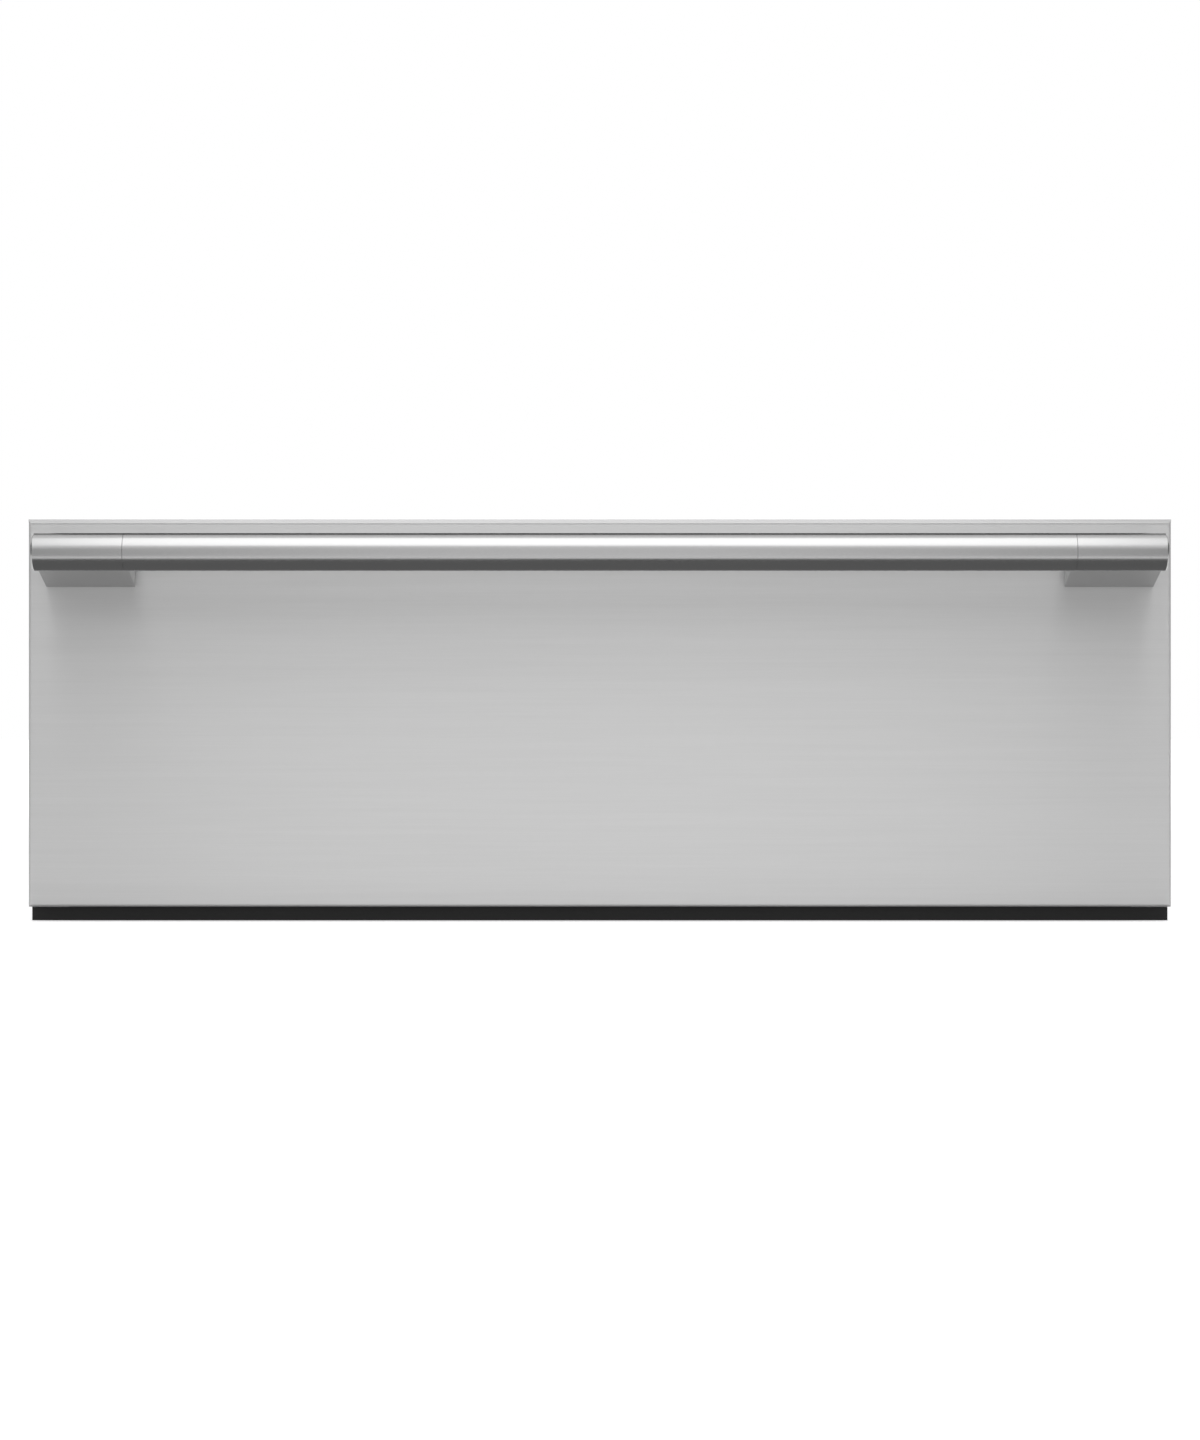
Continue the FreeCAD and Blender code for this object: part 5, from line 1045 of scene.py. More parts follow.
    def stands_for(self, *nodes: str, smooth: float = 35.0) -> "Piece":
        """Ends the modelling: the piece takes the place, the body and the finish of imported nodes.

        Args:
            *nodes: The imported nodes; the first one gives the body and the finish.
            smooth: Edges that turn by less than this many degrees are shaded smooth.

        Returns:
            This piece.
        """
        first = frame["nodes"][nodes[0]]
        self.rides(first["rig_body"], SLOT_OF[nodes[0]], smooth)
        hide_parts(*nodes)
        return self

    def rides(self, body: str, slot: str, smooth: float = 35.0) -> "Piece":
        """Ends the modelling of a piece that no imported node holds.

        Args:
            body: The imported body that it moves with.
            slot: The record's slot for its finish.
            smooth: Edges that turn by less than this many degrees are shaded smooth.

        Returns:
            This piece.
        """
        hold(self.shape)
        bpy.ops.object.shade_smooth_by_angle(angle=math.radians(smooth))
        self.finish_with("WEIGHTED_NORMAL", weight=100, keep_sharp=True)
        lay_down()
        if not self.shape.data.materials:
            self.shape.data.materials.append(MATERIALS[slot])
        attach(self.shape, body)
        log.info("%s: %d faces", self.shape.name, len(self.shape.data.polygons))
        return self


def near(a: float, b: float, reach: float = 0.00005) -> bool:
    """Whether two lengths are the same to a twentieth of a millimetre."""
    return abs(a - b) < reach


def faces_up(at: Vector, way: Vector) -> bool:
    """Whether a face looks up."""
    return way.z > STRAIGHT


def runs_up(at: Vector, way: Vector) -> bool:
    """Whether an edge runs upright."""
    return abs(way.z) > MOSTLY


def everything(at: Vector, way: Vector) -> bool:
    """A test that all pass."""
    return True


def span(node: str) -> tuple[Vector, Vector, Vector]:
    """The lowest corner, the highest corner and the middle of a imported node."""
    low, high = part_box(node)
    return low, high, (low + high) / 2


@dataclass
class FrontPanel:
    """The brushed steel front, folded from one sheet."""

    band_height: float = 2.5 * MM
    band_depth: float = 0.6 * MM
    crease_drop: float = 2.75 * MM
    crease_height: float = 0.9 * MM
    crease_depth: float = 0.45 * MM
    crease_lip: float = 0.05 * MM
    edge_radius: float = 2.0 * MM
    sheet: float = 1.0 * MM

    def build(self) -> None:
        """Models the skin: sloping top band, crease, rounded edges and an open back."""
        low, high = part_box("front_skin")
        face = low.y
        skin = Piece.block("front_panel", low, high)
        crease = high.z - self.crease_drop
        for z in (high.z - self.band_height, crease, crease - self.crease_height):
            skin.cut_at((0, 0, z), (0, 0, 1))
        skin.choose(Part.POINTS, lambda at, way: near(at.z, high.z) and near(at.y, face))
        skin.move((0, self.band_depth, 0))
        middle = crease - self.crease_height / 2
        skin.choose(
            Part.EDGES,
            lambda at, way: near(at.y, face)
            and (near(abs(at.x), high.x) and abs(way.z) > MOSTLY
                 or near(at.z, low.z) and abs(way.x) > MOSTLY),
        )
        skin.bevel(self.edge_radius, steps=5)
        skin.choose(Part.FACES, lambda at, way: near(at.z, middle, 0.2 * MM) and way.y < -STRAIGHT)
        skin.inset(self.crease_lip).extrude((0, self.crease_depth, 0))
        skin.choose(Part.FACES, lambda at, way: way.y > STRAIGHT and near(at.y, high.y)).remove()
        skin.finish_with("SOLIDIFY", thickness=self.sheet, offset=-1.0, use_even_offset=True)
        skin.brush_along_x().stands_for("front_skin", smooth=25.0)


@dataclass
class Handle:
    """The bar and its two brackets."""

    bar_radius: float = 12.25 * MM
    bar_wall: float = 1.5 * MM
    reach: float = 64.0 * MM
    drop: float = 24.3 * MM
    bracket_width: float = 59.0 * MM
    foot_drop: float = 45.3 * MM
    top_drop: float = 16.5 * MM
    slope: float = math.radians(16.5)
    end_chamfer: float = 1.0 * MM
    seam: float = 0.22 * MM
    foot_edge: float = 1.4 * MM
    arm_edge: float = 0.5 * MM
    sides: int = 128
    face: float = field(init=False)
    top: float = field(init=False)
    end: float = field(init=False)
    inner: float = field(init=False)
    y: float = field(init=False)
    z: float = field(init=False)

    def __post_init__(self) -> None:
        """Measures the front and the brackets, and places the bar's axis."""
        low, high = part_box("front_skin")
        self.face, self.top = low.y, high.z
        self.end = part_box("handle_bracket_right")[1].x
        self.inner = self.end - self.bracket_width
        self.y = self.face - self.reach + self.bar_radius
        self.z = self.top - self.drop

    def build(self) -> None:
        """Models the bar, one bracket and its mirrored twin."""
        self.build_bar()
        right = self.build_bracket()
        left = right.mirrored("handle_arm_left")
        for arm, side in ((right, "right"), (left, "left")):
            arm.brush_along_x().stands_for("handle_bracket_" + side, smooth=28.0)

    def build_bar(self) -> None:
        """Models the hollow bar with small chamfers at its seams."""
        bar = Piece.rod("handle_bar", (-self.inner, self.y, self.z), (self.inner, self.y, self.z),
                        self.bar_radius, self.sides)
        bar.choose(Part.FACES, lambda at, way: abs(way.x) > MOSTLY)
        bar.inset(self.bar_wall)
        bar.choose(
            Part.FACES, lambda at, way: abs(way.x) > MOSTLY and near(at.y, self.y) and near(at.z, self.z)
        )
        bar.join_rims()
        self.ease_rim(bar, self.inner, self.seam)
        self.ease_rim(bar, -self.inner, self.seam)
        bar.brush_along_x().stands_for("handle_tube", smooth=30.0)

    def ease_rim(self, piece: Piece, x: float, width: float) -> None:
        """Chamfers the outer rim of a round end at x.

        Args:
            piece: The piece with the round end.
            x: Where the end is.
            width: Width of the chamfer.
        """
        least = self.bar_radius - self.bar_wall / 3
        piece.choose(
            Part.EDGES,
            lambda at, way: near(at.x, x)
            and math.hypot(at.y - self.y, at.z - self.z) > least
            and abs(way.x) < HARDLY,
        )
        piece.bevel(width, steps=1)

    def build_bracket(self) -> Piece:
        """Models the right bracket.

        Returns:
            The bracket, not yet finished.
        """
        sleeve = Piece.rod("handle_arm_right", (self.inner, self.y, self.z), (self.end, self.y, self.z),
                           self.bar_radius, self.sides)
        self.ease_rim(sleeve, self.end, self.end_chamfer)
        self.ease_rim(sleeve, self.inner, self.seam)
        foot = self.top - self.foot_drop
        head = self.top - self.top_drop
        arm = Piece.block("handle_wedge", (self.inner, self.y, foot), (self.end, self.face, head))
        arm.choose(Part.POINTS, lambda at, way: near(at.y, self.y) and near(at.z, foot))
        arm.move((0, 0, math.tan(self.slope) * (self.face - self.y)))
        arm.choose(Part.EDGES, lambda at, way: near(at.y, self.face)).bevel(self.foot_edge, steps=2)
        start, end = self.y + self.foot_edge, self.face - 2 * self.foot_edge
        arm.choose(Part.EDGES, lambda at, way: abs(way.y) > MOSTLY and start < at.y < end)
        arm.bevel(self.arm_edge, steps=2)
        return sleeve.combine(arm, "UNION")


def refined(node: str, edge: float = 0.2 * MM, folds: Iterable[tuple[Test, float]] = (),
            paints: Iterable[tuple[str, Test]] = (), smooth: float = 35.0) -> Piece:
    """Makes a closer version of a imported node: rounded folds, eased edges, faces in their own finishes.

    Args:
        node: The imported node.
        edge: Width of the rounding on every sharp edge.
        folds: Tests for edges that are bent or cast rounder, each with its radius.
        paints: Finishes and the tests for the faces that take them.
        smooth: Edges that turn by less than this many degrees are shaded smooth.

    Returns:
        The finished piece.
    """
    piece = Piece.merged_copy(node, node + "_formed").dress(SLOT_OF[node])
    for test, radius in folds:
        piece.choose(Part.EDGES, test).bevel(radius)
    for finish, test in paints:
        piece.paint(finish, test)
    if edge > 0:
        piece.soften(edge)
    return piece.stands_for(node, smooth=smooth)


def ring(name: str, middle: Sequence[float], way: Sequence[float], outer: float, inner: float, width: float,
         sides: int = 40) -> Piece:
    """A ring with eased rims.

    Args:
        name: The piece's name.
        middle: Its middle.
        way: The direction of its axis.
        outer: Outer radius.
        inner: Inner radius.
        width: Its width along the axis.
        sides: Number of its sides.

    Returns:
        The ring.
    """
    middle, way = Vector(middle), Vector(way).normalized()
    piece = Piece.rod(name, middle - way * width / 2, middle + way * width / 2, outer, sides)

    def is_end(at: Vector, out: Vector) -> bool:
        """Whether a face belongs to one of the ring's two ends."""
        return abs(out.dot(way)) > MOSTLY

    piece.choose(Part.FACES, is_end).inset(outer - inner)
    piece.choose(Part.FACES, lambda at, out: is_end(at, out) and (at - middle).cross(way).length < inner / 2)
    return piece.join_rims().soften(min(0.15 * width, 0.2 * (outer - inner)), steps=1, angle=50)


def socket_screw(name: str, seat: Sequence[float], out: Sequence[float], radius: float,
                 height: float) -> Piece:
    """The head of a socket screw.

    Args:
        name: The piece's name.
        seat: Middle of its seat.
        out: The direction that its head looks in.
        radius: Radius of the head.
        height: Height of the head.

    Returns:
        The head.
    """
    seat, out = Vector(seat), Vector(out)
    upper, crown, rim, socket = 0.9 * height, 0.16 * radius, 0.32 * radius, 0.55 * height
    head = Piece.rod(name, seat, seat + out * height, radius, sides=24)
    head.choose(Part.EDGES, lambda at, way: (at - seat).dot(out) > upper and abs(way.dot(out)) < HARDLY)
    head.bevel(crown, steps=2)
    head.choose(Part.FACES, lambda at, way: (at - seat).dot(out) > upper and way.dot(out) > STRAIGHT)
    head.inset(rim).extrude(-out * socket)
    return head


def line(name: str, route: Route, radius: float = 0.0) -> bpy.types.Object:
    """A smooth line that a route's points guide.

    Args:
        name: Its name.
        route: The points, in millimetres.
        radius: Half its thickness, or nought for a bare line.

    Returns:
        The curve.
    """
    lay_down()
    curve = bpy.data.curves.new(name, "CURVE")
    curve.dimensions = "3D"
    curve.resolution_u = 8
    curve.bevel_depth = radius
    curve.bevel_resolution = 4
    guide = curve.splines.new("NURBS")
    guide.points.add(len(route) - 1)
    for knot, at in zip(guide.points, route):
        knot.co = (*(Vector(at) * MM), 1.0)
    guide.order_u = 3
    guide.use_endpoint_u = True
    shape = bpy.data.objects.new(name, curve)
    bpy.context.scene.collection.objects.link(shape)
    return shape


def tube(name: str, route: Route, radius: float, wall: float = 0.0) -> Piece:
    """A hose or a lead along a route.

    Args:
        name: Its name.
        route: The points that guide it, in millimetres.
        radius: Its outer radius.
        wall: The wall of a hose, or nought for a lead.

    Returns:
        The piece.
    """
    shape = line(name, route, radius)
    shape.data.use_fill_caps = wall == 0
    hold(shape)
    bpy.ops.object.convert(target="MESH")
    piece = Piece(name).merge()
    return piece.finish_with("SOLIDIFY", thickness=wall, offset=-1.0) if wall else piece.outwards()


def ends_of(route: Route) -> list[tuple[Vector, Vector]]:
    """Both ends of a route, in metres, each with the way in which the line leaves it."""
    pairs = ((route[0], route[1]), (route[-1], route[-2]))
    return [(Vector(end) * MM, (Vector(inner) - Vector(end)).normalized()) for end, inner in pairs]


def stations(route: Route, shares: Sequence[float]) -> list[tuple[Vector, Vector]]:
    """Places along a route's smooth line.

    Args:
        route: The points that guide it, in millimetres.
        shares: How far along each place is, from nought to one.

    Returns:
        The point and the direction of the line at each place.
    """
    shape = line("walk", route)
    bpy.context.view_layer.update()
    mesh = bpy.data.meshes.new_from_object(shape)
    walk = [point.co.copy() for point in mesh.vertices]
    bpy.data.meshes.remove(mesh)
    bpy.data.curves.remove(shape.data)
    steps = [min(int(share * (len(walk) - 1)), len(walk) - 2) for share in shares]
    return [(walk[k], (walk[k + 1] - walk[k]).normalized()) for k in steps]


@dataclass
class Screws:
    """Pan head screws with a cross recess and a rolled thread, one model for each size."""

    nodes: tuple[str, ...] = ("housing_screws", "drawer_screws", "handle_screws")
    pitch: float = 0.7 * MM
    thread: float = 0.84
    point: float = 0.7
    crown: float = 0.42
    recess: tuple[float, float, float] = (0.5, 0.1, 0.4)
    root: float = 0.3
    sides: tuple[int, int] = (28, 12)
    models: dict[tuple[float, ...], Piece] = field(default_factory=dict)

    def build(self) -> None:
        """Puts a screw in the place of each packed one."""
        for node in self.nodes:
            copies = []
            for seat, out, size in self.places(node):
                if size not in self.models:
                    self.models[size] = self.model(*size)
                copies.append(self.models[size].twin(node + "_threaded", seat, out))
            copies.pop(0).absorb(copies).stands_for(node)
        for model in self.models.values():
            bpy.data.meshes.remove(model.shape.data)

    def places(self, node: str) -> list[tuple[Vector, Vector, tuple[float, ...]]]:
        """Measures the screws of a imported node.

        Args:
            node: The node.

        Returns:
            For each screw its seat, the way its head looks, and its size: radius and height of the head,
            radius and length of the shank.
        """
        mesh = bmesh.new()
        mesh.from_mesh(frame["nodes"][node].data)
        bmesh.ops.remove_doubles(mesh, verts=mesh.verts, dist=SAME_POINT)
        found = []
        left = set(mesh.verts)
        while left:
            ends = [min(left, key=lambda point: point.index)]
            left.discard(ends[0])
            screw = []
            while ends:
                point = ends.pop()
                screw.append(point.co.copy())
                beside = {edge.other_vert(point) for edge in point.link_edges} & left
                left -= beside
                ends.extend(beside)
            found.append(self.measure(screw))
        mesh.free()
        return found

    @staticmethod
    def measure(points: list[Vector]) -> tuple[Vector, Vector, tuple[float, ...]]:
        """Measures one screw.

        Args:
            points: The points of its mesh.

        Returns:
            Its seat, the way its head looks, and its size.
        """
        low = Vector(min(point[k] for point in points) for k in range(3))
        high = Vector(max(point[k] for point in points) for k in range(3))
        middle = (low + high) / 2
        size = high - low
        axis = max(range(3), key=lambda k: size[k])
        out = Vector(float(k == axis) for k in range(3))

        def width(point: Vector) -> float:
            """How far a point is from the screw's axis."""
            return (point - middle).cross(out).length

        quarter = size[axis] / 4
        above, below = [
            max(width(point) for point in points if side * (point - middle)[axis] > quarter)
            for side in (1, -1)
        ]
        out *= 1 if above > below else -1
        head = max(width(point) for point in points)
        seat = min((point - middle).dot(out) for point in points if width(point) > 0.95 * head)
        shank = max(width(point) for point in points if (point - middle).dot(out) < seat - 0.5 * MM)
        lengths = (head, size[axis] / 2 - seat, shank, size[axis] / 2 + seat)
        return middle + out * seat, out, tuple(round(length, 5) for length in lengths)

    def model(self, head: float, height: float, shank: float, length: float) -> Piece:
        """Models a screw that stands on the origin, its head up.

        Args:
            head: Radius of the head.
            height: Height of the head.
            shank: Radius of the shank.
            length: Length of the shank.

        Returns:
            The screw.
        """
        cap = Piece.rod("screw", (0, 0, 0), (0, 0, height), head, self.sides[0])
        cap.choose(Part.EDGES, lambda at, way: near(at.z, height) and abs(way.z) < HARDLY)
        cap.bevel(self.crown * height)
        wide, thin, deep = (share * size for share, size in zip(self.recess, (head, head, height)))
        for x, y in ((wide, thin), (thin, wide)):
            cap.combine(Piece.block("recess", (-x, -y, deep), (x, y, 2 * height)), "DIFFERENCE")
        body = Piece.rod("shank", (0, 0, -length), (0, 0, self.root * height), shank, self.sides[1])
        levels = [-length + (turn + 0.5) * self.pitch / 2 for turn in range(int(2 * length / self.pitch))]
        for z in levels:
            body.cut_at((0, 0, z), (0, 0, 1))
        for z, share in [(z, self.thread) for z in levels[::2]] + [(-length, self.point)]:
            body.choose(Part.POINTS, lambda at, way: near(at.z, z)).widen((share, share, 1), (0, 0, z))
        return cap.absorb([body]).dress("plated_steel")


@dataclass
class Housing:
    """The steel box that is screwed into the cabinet, its rubber parts and its mains inlet."""

    sheet: float = 1.2 * MM
    bend: float = 1.0 * MM
    eased: float = 0.15 * MM
    trim_eased: float = 0.25 * MM
    bead_height: float = 2.0 * MM
    bead_edge: float = 1.1 * MM
    foot_radius: float = 15.0 * MM
    foot_edge: float = 1.0 * MM
    foot_rim: float = 2.0 * MM
    rib_wall: float = 0.3 * MM
    ribs: tuple[tuple[float, float], ...] = (
        (0.7 * MM, 1.6 * MM), (-0.7 * MM, 1.6 * MM), (0.7 * MM, 4.0 * MM),
    )
    bumper_radius: float = 5.0 * MM
    bumper_edge: float = 1.1 * MM
    inlet_eased: float = 0.4 * MM
    pin_area: tuple[float, float] = (9.0 * MM, 5.0 * MM)
    pin_root: float = 17.5 * MM
    pin_tip: float = 3.0 * MM

    def build(self) -> None:
        """Models every part of the housing."""
        self.build_sides()
        self.build_sheets()
        self.build_feet()
        self.build_bumpers()
        self.build_inlet()

    def build_sides(self) -> None:
        """Models the right side wall with rounded bends and beads, and its mirrored twin."""
        low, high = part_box("housing_side_right")
        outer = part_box("housing_base")[1].x
        bead = outer + self.bead_height
        wall = Piece.merged_copy("housing_side_right", "housing_wall_right").dress("sheet_steel")
        wall.choose(Part.EDGES, lambda at, way: near(at.x, bead)).bevel(self.bead_edge)
        wall.choose(
            Part.EDGES,
            lambda at, way: near(at.x, outer)
            and (abs(way.y) > STRAIGHT and (near(at.z, low.z) or near(at.z, high.z))
                 or abs(way.z) > STRAIGHT and near(at.y, high.y)),
        )
        wall.bevel(self.bend)
        inner = outer - self.sheet
        wall.choose(
            Part.EDGES, lambda at, way: near(at.x, inner) and near(at.y, low.y) and abs(way.z) > STRAIGHT
        )
        wall.bevel(self.bend).soften(self.eased)
        twin = wall.mirrored("housing_wall_left")
        wall.stands_for("housing_side_right")
        twin.stands_for("housing_side_left")

    def build_sheets(self) -> None:
        """Eases the rear wall, the base, the front rail and the strip under the front."""
        refined("housing_back", self.eased)
        refined("housing_base", self.eased)
        low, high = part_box("housing_front_rail")

        def is_fold(at: Vector, way: Vector) -> bool:
            """Whether an edge is one of the rail's two upper folds."""
            at_side = near(at.y, low.y, 0.01 * MM) or near(at.y, high.y, 0.01 * MM)
            return at_side and near(at.z, high.z) and abs(way.x) > STRAIGHT

        refined("housing_front_rail", self.eased, [(is_fold, self.bend)])
        refined("base_trim", self.trim_eased)

    def build_feet(self) -> None:
        """Models one ribbed rubber foot and its copies."""
        low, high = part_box("feet")
        r = self.foot_radius
        x, y = low.x + r, low.y + r
        first = Piece.rod("rubber_feet", (x, y, 0), (x, y, high.z), r, sides=56)
        first.choose(Part.EDGES, lambda at, way: near(at.z, 0) and abs(way.z) < HARDLY).bevel(self.foot_edge)
        first.choose(Part.FACES, lambda at, way: way.z < -STRAIGHT).inset(self.foot_rim)
        for depth, width in self.ribs:
            first.inset(self.rib_wall, depth).inset(width)
        first.at_corners((high.x - low.x - 2 * r, 0, 0), (0, high.y - low.y - 2 * r, 0)).stands_for("feet")

    def build_bumpers(self) -> None:
        """Models one rounded rubber button and its copies."""
        low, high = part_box("front_bumpers")
        r = self.bumper_radius
        x, z = low.x + r, low.z + r
        first = Piece.rod("rubber_buttons", (x, high.y, z), (x, low.y, z), r, sides=40)
        first.choose(Part.EDGES, lambda at, way: near(at.y, low.y) and abs(way.y) < HARDLY)
        first.bevel(self.bumper_edge, steps=4)
        wide, tall = high.x - low.x - 2 * r, high.z - low.z - 2 * r
        first.at_corners((wide, 0, 0), (0, 0, tall)).stands_for("front_bumpers")

    def build_inlet(self) -> None:
        """Models the mains inlet: rounded plastic, bare metal pins."""
        _, high, middle = span("power_inlet")
        across, up = self.pin_area
        root, tip = high.y - self.pin_root, high.y - self.pin_tip

        def is_pin(at: Vector, way: Vector) -> bool:
            """Whether a face is a side or the end of a pin."""
            beside = abs(at.x - middle.x) < across and abs(at.z - middle.z) < up and abs(way.y) < 0.5
            return beside and root < at.y < tip + 0.1 * MM or near(at.y, tip)

        refined("power_inlet", self.inlet_eased, paints=[("plated_steel", is_pin)])


@dataclass
class DrawerBox:
    """The folded sheets of the drawer, its deck and the back of the front panel."""

    bend: float = 0.9 * MM
    deck_bend: float = 1.2 * MM
    side_eased: float = 0.12 * MM
    deck_eased: float = 0.15 * MM
    eased: tuple[tuple[str, float], ...] = (
        ("drawer_floor", 0.2 * MM),
        ("drawer_back", 0.12 * MM),
        ("front_backing", 0.15 * MM),
        ("front_stiffeners", 0.15 * MM),
    )

    def build(self) -> None:
        """Models the drawer's sheets."""
        low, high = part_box("drawer_side_right")
        side = Piece.merged_copy("drawer_side_right", "drawer_wall_right").dress("sheet_steel")
        side.choose(
            Part.EDGES,
            lambda at, way: near(at.x, high.x)
            and (abs(way.y) > STRAIGHT and (near(at.z, low.z) or near(at.z, high.z))
                 or abs(way.z) > STRAIGHT and (near(at.y, low.y) or near(at.y, high.y))),
        )
        side.bevel(self.bend).soften(self.side_eased)
        twin = side.mirrored("drawer_wall_left")
        side.stands_for("drawer_side_right")
        twin.stands_for("drawer_side_left")
        low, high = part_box("deck")

        def is_front(at: Vector, way: Vector) -> bool:
            """Whether an edge is the deck's fold behind the front."""
            return near(at.y, low.y) and near(at.z, high.z) and abs(way.x) > STRAIGHT

        refined("deck", self.deck_eased, [(is_front, self.deck_bend)])
        for node, edge in self.eased:
            refined(node, edge)


@dataclass
class Runners:
    """The rolled rails of both telescopic runners."""

    edge: float = 0.2 * MM

    def build(self) -> None:
        """Eases the rolled edges of every rail."""
        for side in ("right", "left"):
            for rail in ("outer", "middle", "inner"):
                refined(f"runner_{rail}_{side}", self.edge, smooth=40.0)


@dataclass
class Chamber:
    """The drawn steel tub, its outlet, its seal bar and what lifts it."""

    rim: float = 12.0 * MM
    rim_round: float = 2.0 * MM
    depth: float = 98.0 * MM
    flange: float = 7.0 * MM
    eased: float = 0.3 * MM
    rod_eased: float = 0.2 * MM
    bar_cap: float = 5.0 * MM
    groove_foot: float = 6.0 * MM
    groove_width: float = 3.0 * MM
    groove_wall: float = 0.2 * MM
    groove_depth: float = 0.8 * MM
    tape_edge: float = 0.45 * MM
    tape_rim: float = 1.0 * MM
    tape_dent: float = 0.12 * MM
    band: float = 1.2 * MM
    clamp: tuple[float, float, float] = (5.0 * MM, 10.0 * MM, 0.55 * MM)
    clamp_gap: float = 0.2 * MM
    clamp_eased: float = 0.15 * MM
    clamp_screw: tuple[float, float] = (1.7 * MM, 0.45 * MM)
    screw_sink: float = 0.1 * MM

    def build(self) -> None:
        """Models the tub and everything in it."""
        low, high, middle = span("chamber")
        inside = (high - low) / 2 - Vector((self.rim, self.rim, 0))

        def is_mouth(at: Vector, way: Vector) -> bool:
            """Whether an edge runs round the mouth of the tub."""
            within = abs(at.x - middle.x) < inside.x and abs(at.y - middle.y) < inside.y
            return within and near(at.z, high.z) and abs(way.z) < HARDLY

        refined("chamber", self.eased, [(is_mouth, self.rim_round)])
        under = high.z - self.depth - self.flange
        refined("chamber_port", self.eased, paints=[("brass", lambda at, way: at.z < under)])
        refined("lift_cylinders", self.eased)
        refined("lift_pistons", self.rod_eased)
        self.build_bar()
        self.build_tape()
        self.build_clamps()

    def build_bar(self) -> None:
        """Models the seal bar with plastic ends and a groove along each side."""
        low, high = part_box("seal_bar")
        left, right = low.x + self.bar_cap, high.x - self.bar_cap
        groove = low.z + self.groove_foot
        top = groove + self.groove_width
        bar = Piece.merged_copy("seal_bar", "sealing_bar").dress("seal_body")
        for x in (left, right):
            bar.cut_at((x, 0, 0), (1, 0, 0))
        for z in (groove, top):
            bar.cut_at((0, 0, z), (0, 0, 1))

        def in_groove(at: Vector, way: Vector) -> bool:
            """Whether a face of the bar's sides lies where the groove goes."""
            return abs(way.y) > STRAIGHT and groove < at.z < top and left < at.x < right

        bar.choose(Part.FACES, in_groove)
        bar.inset(self.groove_wall, self.groove_depth)
        bar.paint("moulded_black", lambda at, way: not left <= at.x <= right)
        bar.soften(self.eased, angle=50).stands_for("seal_bar")

    def build_tape(self) -> None:
        """Models the tape over the heating band, the band just showing."""
        low, high, middle = span("heating_strip")
        tape = Piece.block("sealing_tape", low, high)
        tape.choose(Part.EDGES, lambda at, way: near(at.z, high.z) and abs(way.x) > MOSTLY)
        tape.bevel(self.tape_edge)
        tape.choose(Part.FACES, faces_up).inset(self.tape_rim).extrude((0, 0, -self.tape_dent))
        tape.dress("release_tape")
        tape.paint("nichrome", lambda at, way: faces_up(at, way) and abs(at.y - middle.y) < self.band
                   and near(at.z, high.z - self.tape_dent, self.tape_dent / 2))
        tape.stands_for("heating_strip")

    def build_clamps(self) -> None:
        """Models the clamp with its screw at each end of the heating band."""
        low, high, middle = span("heating_strip")
        long, wide, tall = self.clamp
        right, top = low.x - self.clamp_gap, low.z + tall
        start = Vector((right - long, middle.y - wide / 2, low.z))
        clamp = Piece.block("band_clamps", start, (right, middle.y + wide / 2, top)).soften(self.clamp_eased)
        seat = (right - long / 2, middle.y, top - self.screw_sink)
        clamp.absorb([socket_screw("clamp_screw", seat, (0, 0, 1), *self.clamp_screw)])
        other = clamp.twin("band_clamp_far", (high.x - low.x + long + 2 * self.clamp_gap, 0, 0))
        clamp.absorb([other]).rides("seal_bar_unit", "plated_steel")


@dataclass
class Lid:
    """The glass lid with its gasket, counter bar and hinges."""

    polish: float = 0.15 * MM
    lip_rim: float = 1.0 * MM
    lip_depth: float = 1.2 * MM
    eased: tuple[tuple[str, float], ...] = (
        ("counter_bar", 0.4 * MM),
        ("lid_hinge_arms", 0.4 * MM),
        ("lid_hinge_blocks", 0.5 * MM),
        ("lid_fasteners", 0.2 * MM),
    )

    def build(self) -> None:
        """Models the lid's parts."""
        refined("lid_glass", self.polish, smooth=25.0)
        low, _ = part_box("lid_gasket")
        seal = Piece.merged_copy("lid_gasket", "lid_seal").dress("rubber_black")
        seal.choose(Part.FACES, lambda at, way: way.z < -STRAIGHT and near(at.z, low.z, 0.3 * MM))
        seal.inset(self.lip_rim, self.lip_depth).stands_for("lid_gasket", smooth=40.0)
        for node, edge in self.eased:
            refined(node, edge)


class Key(Enum):
    """The keys of the strip, from left to right."""

    POWER = 0
    VACUUM = 1
    SEAL = 2
    SOAK = 3
    START = 4
    STOP = 5


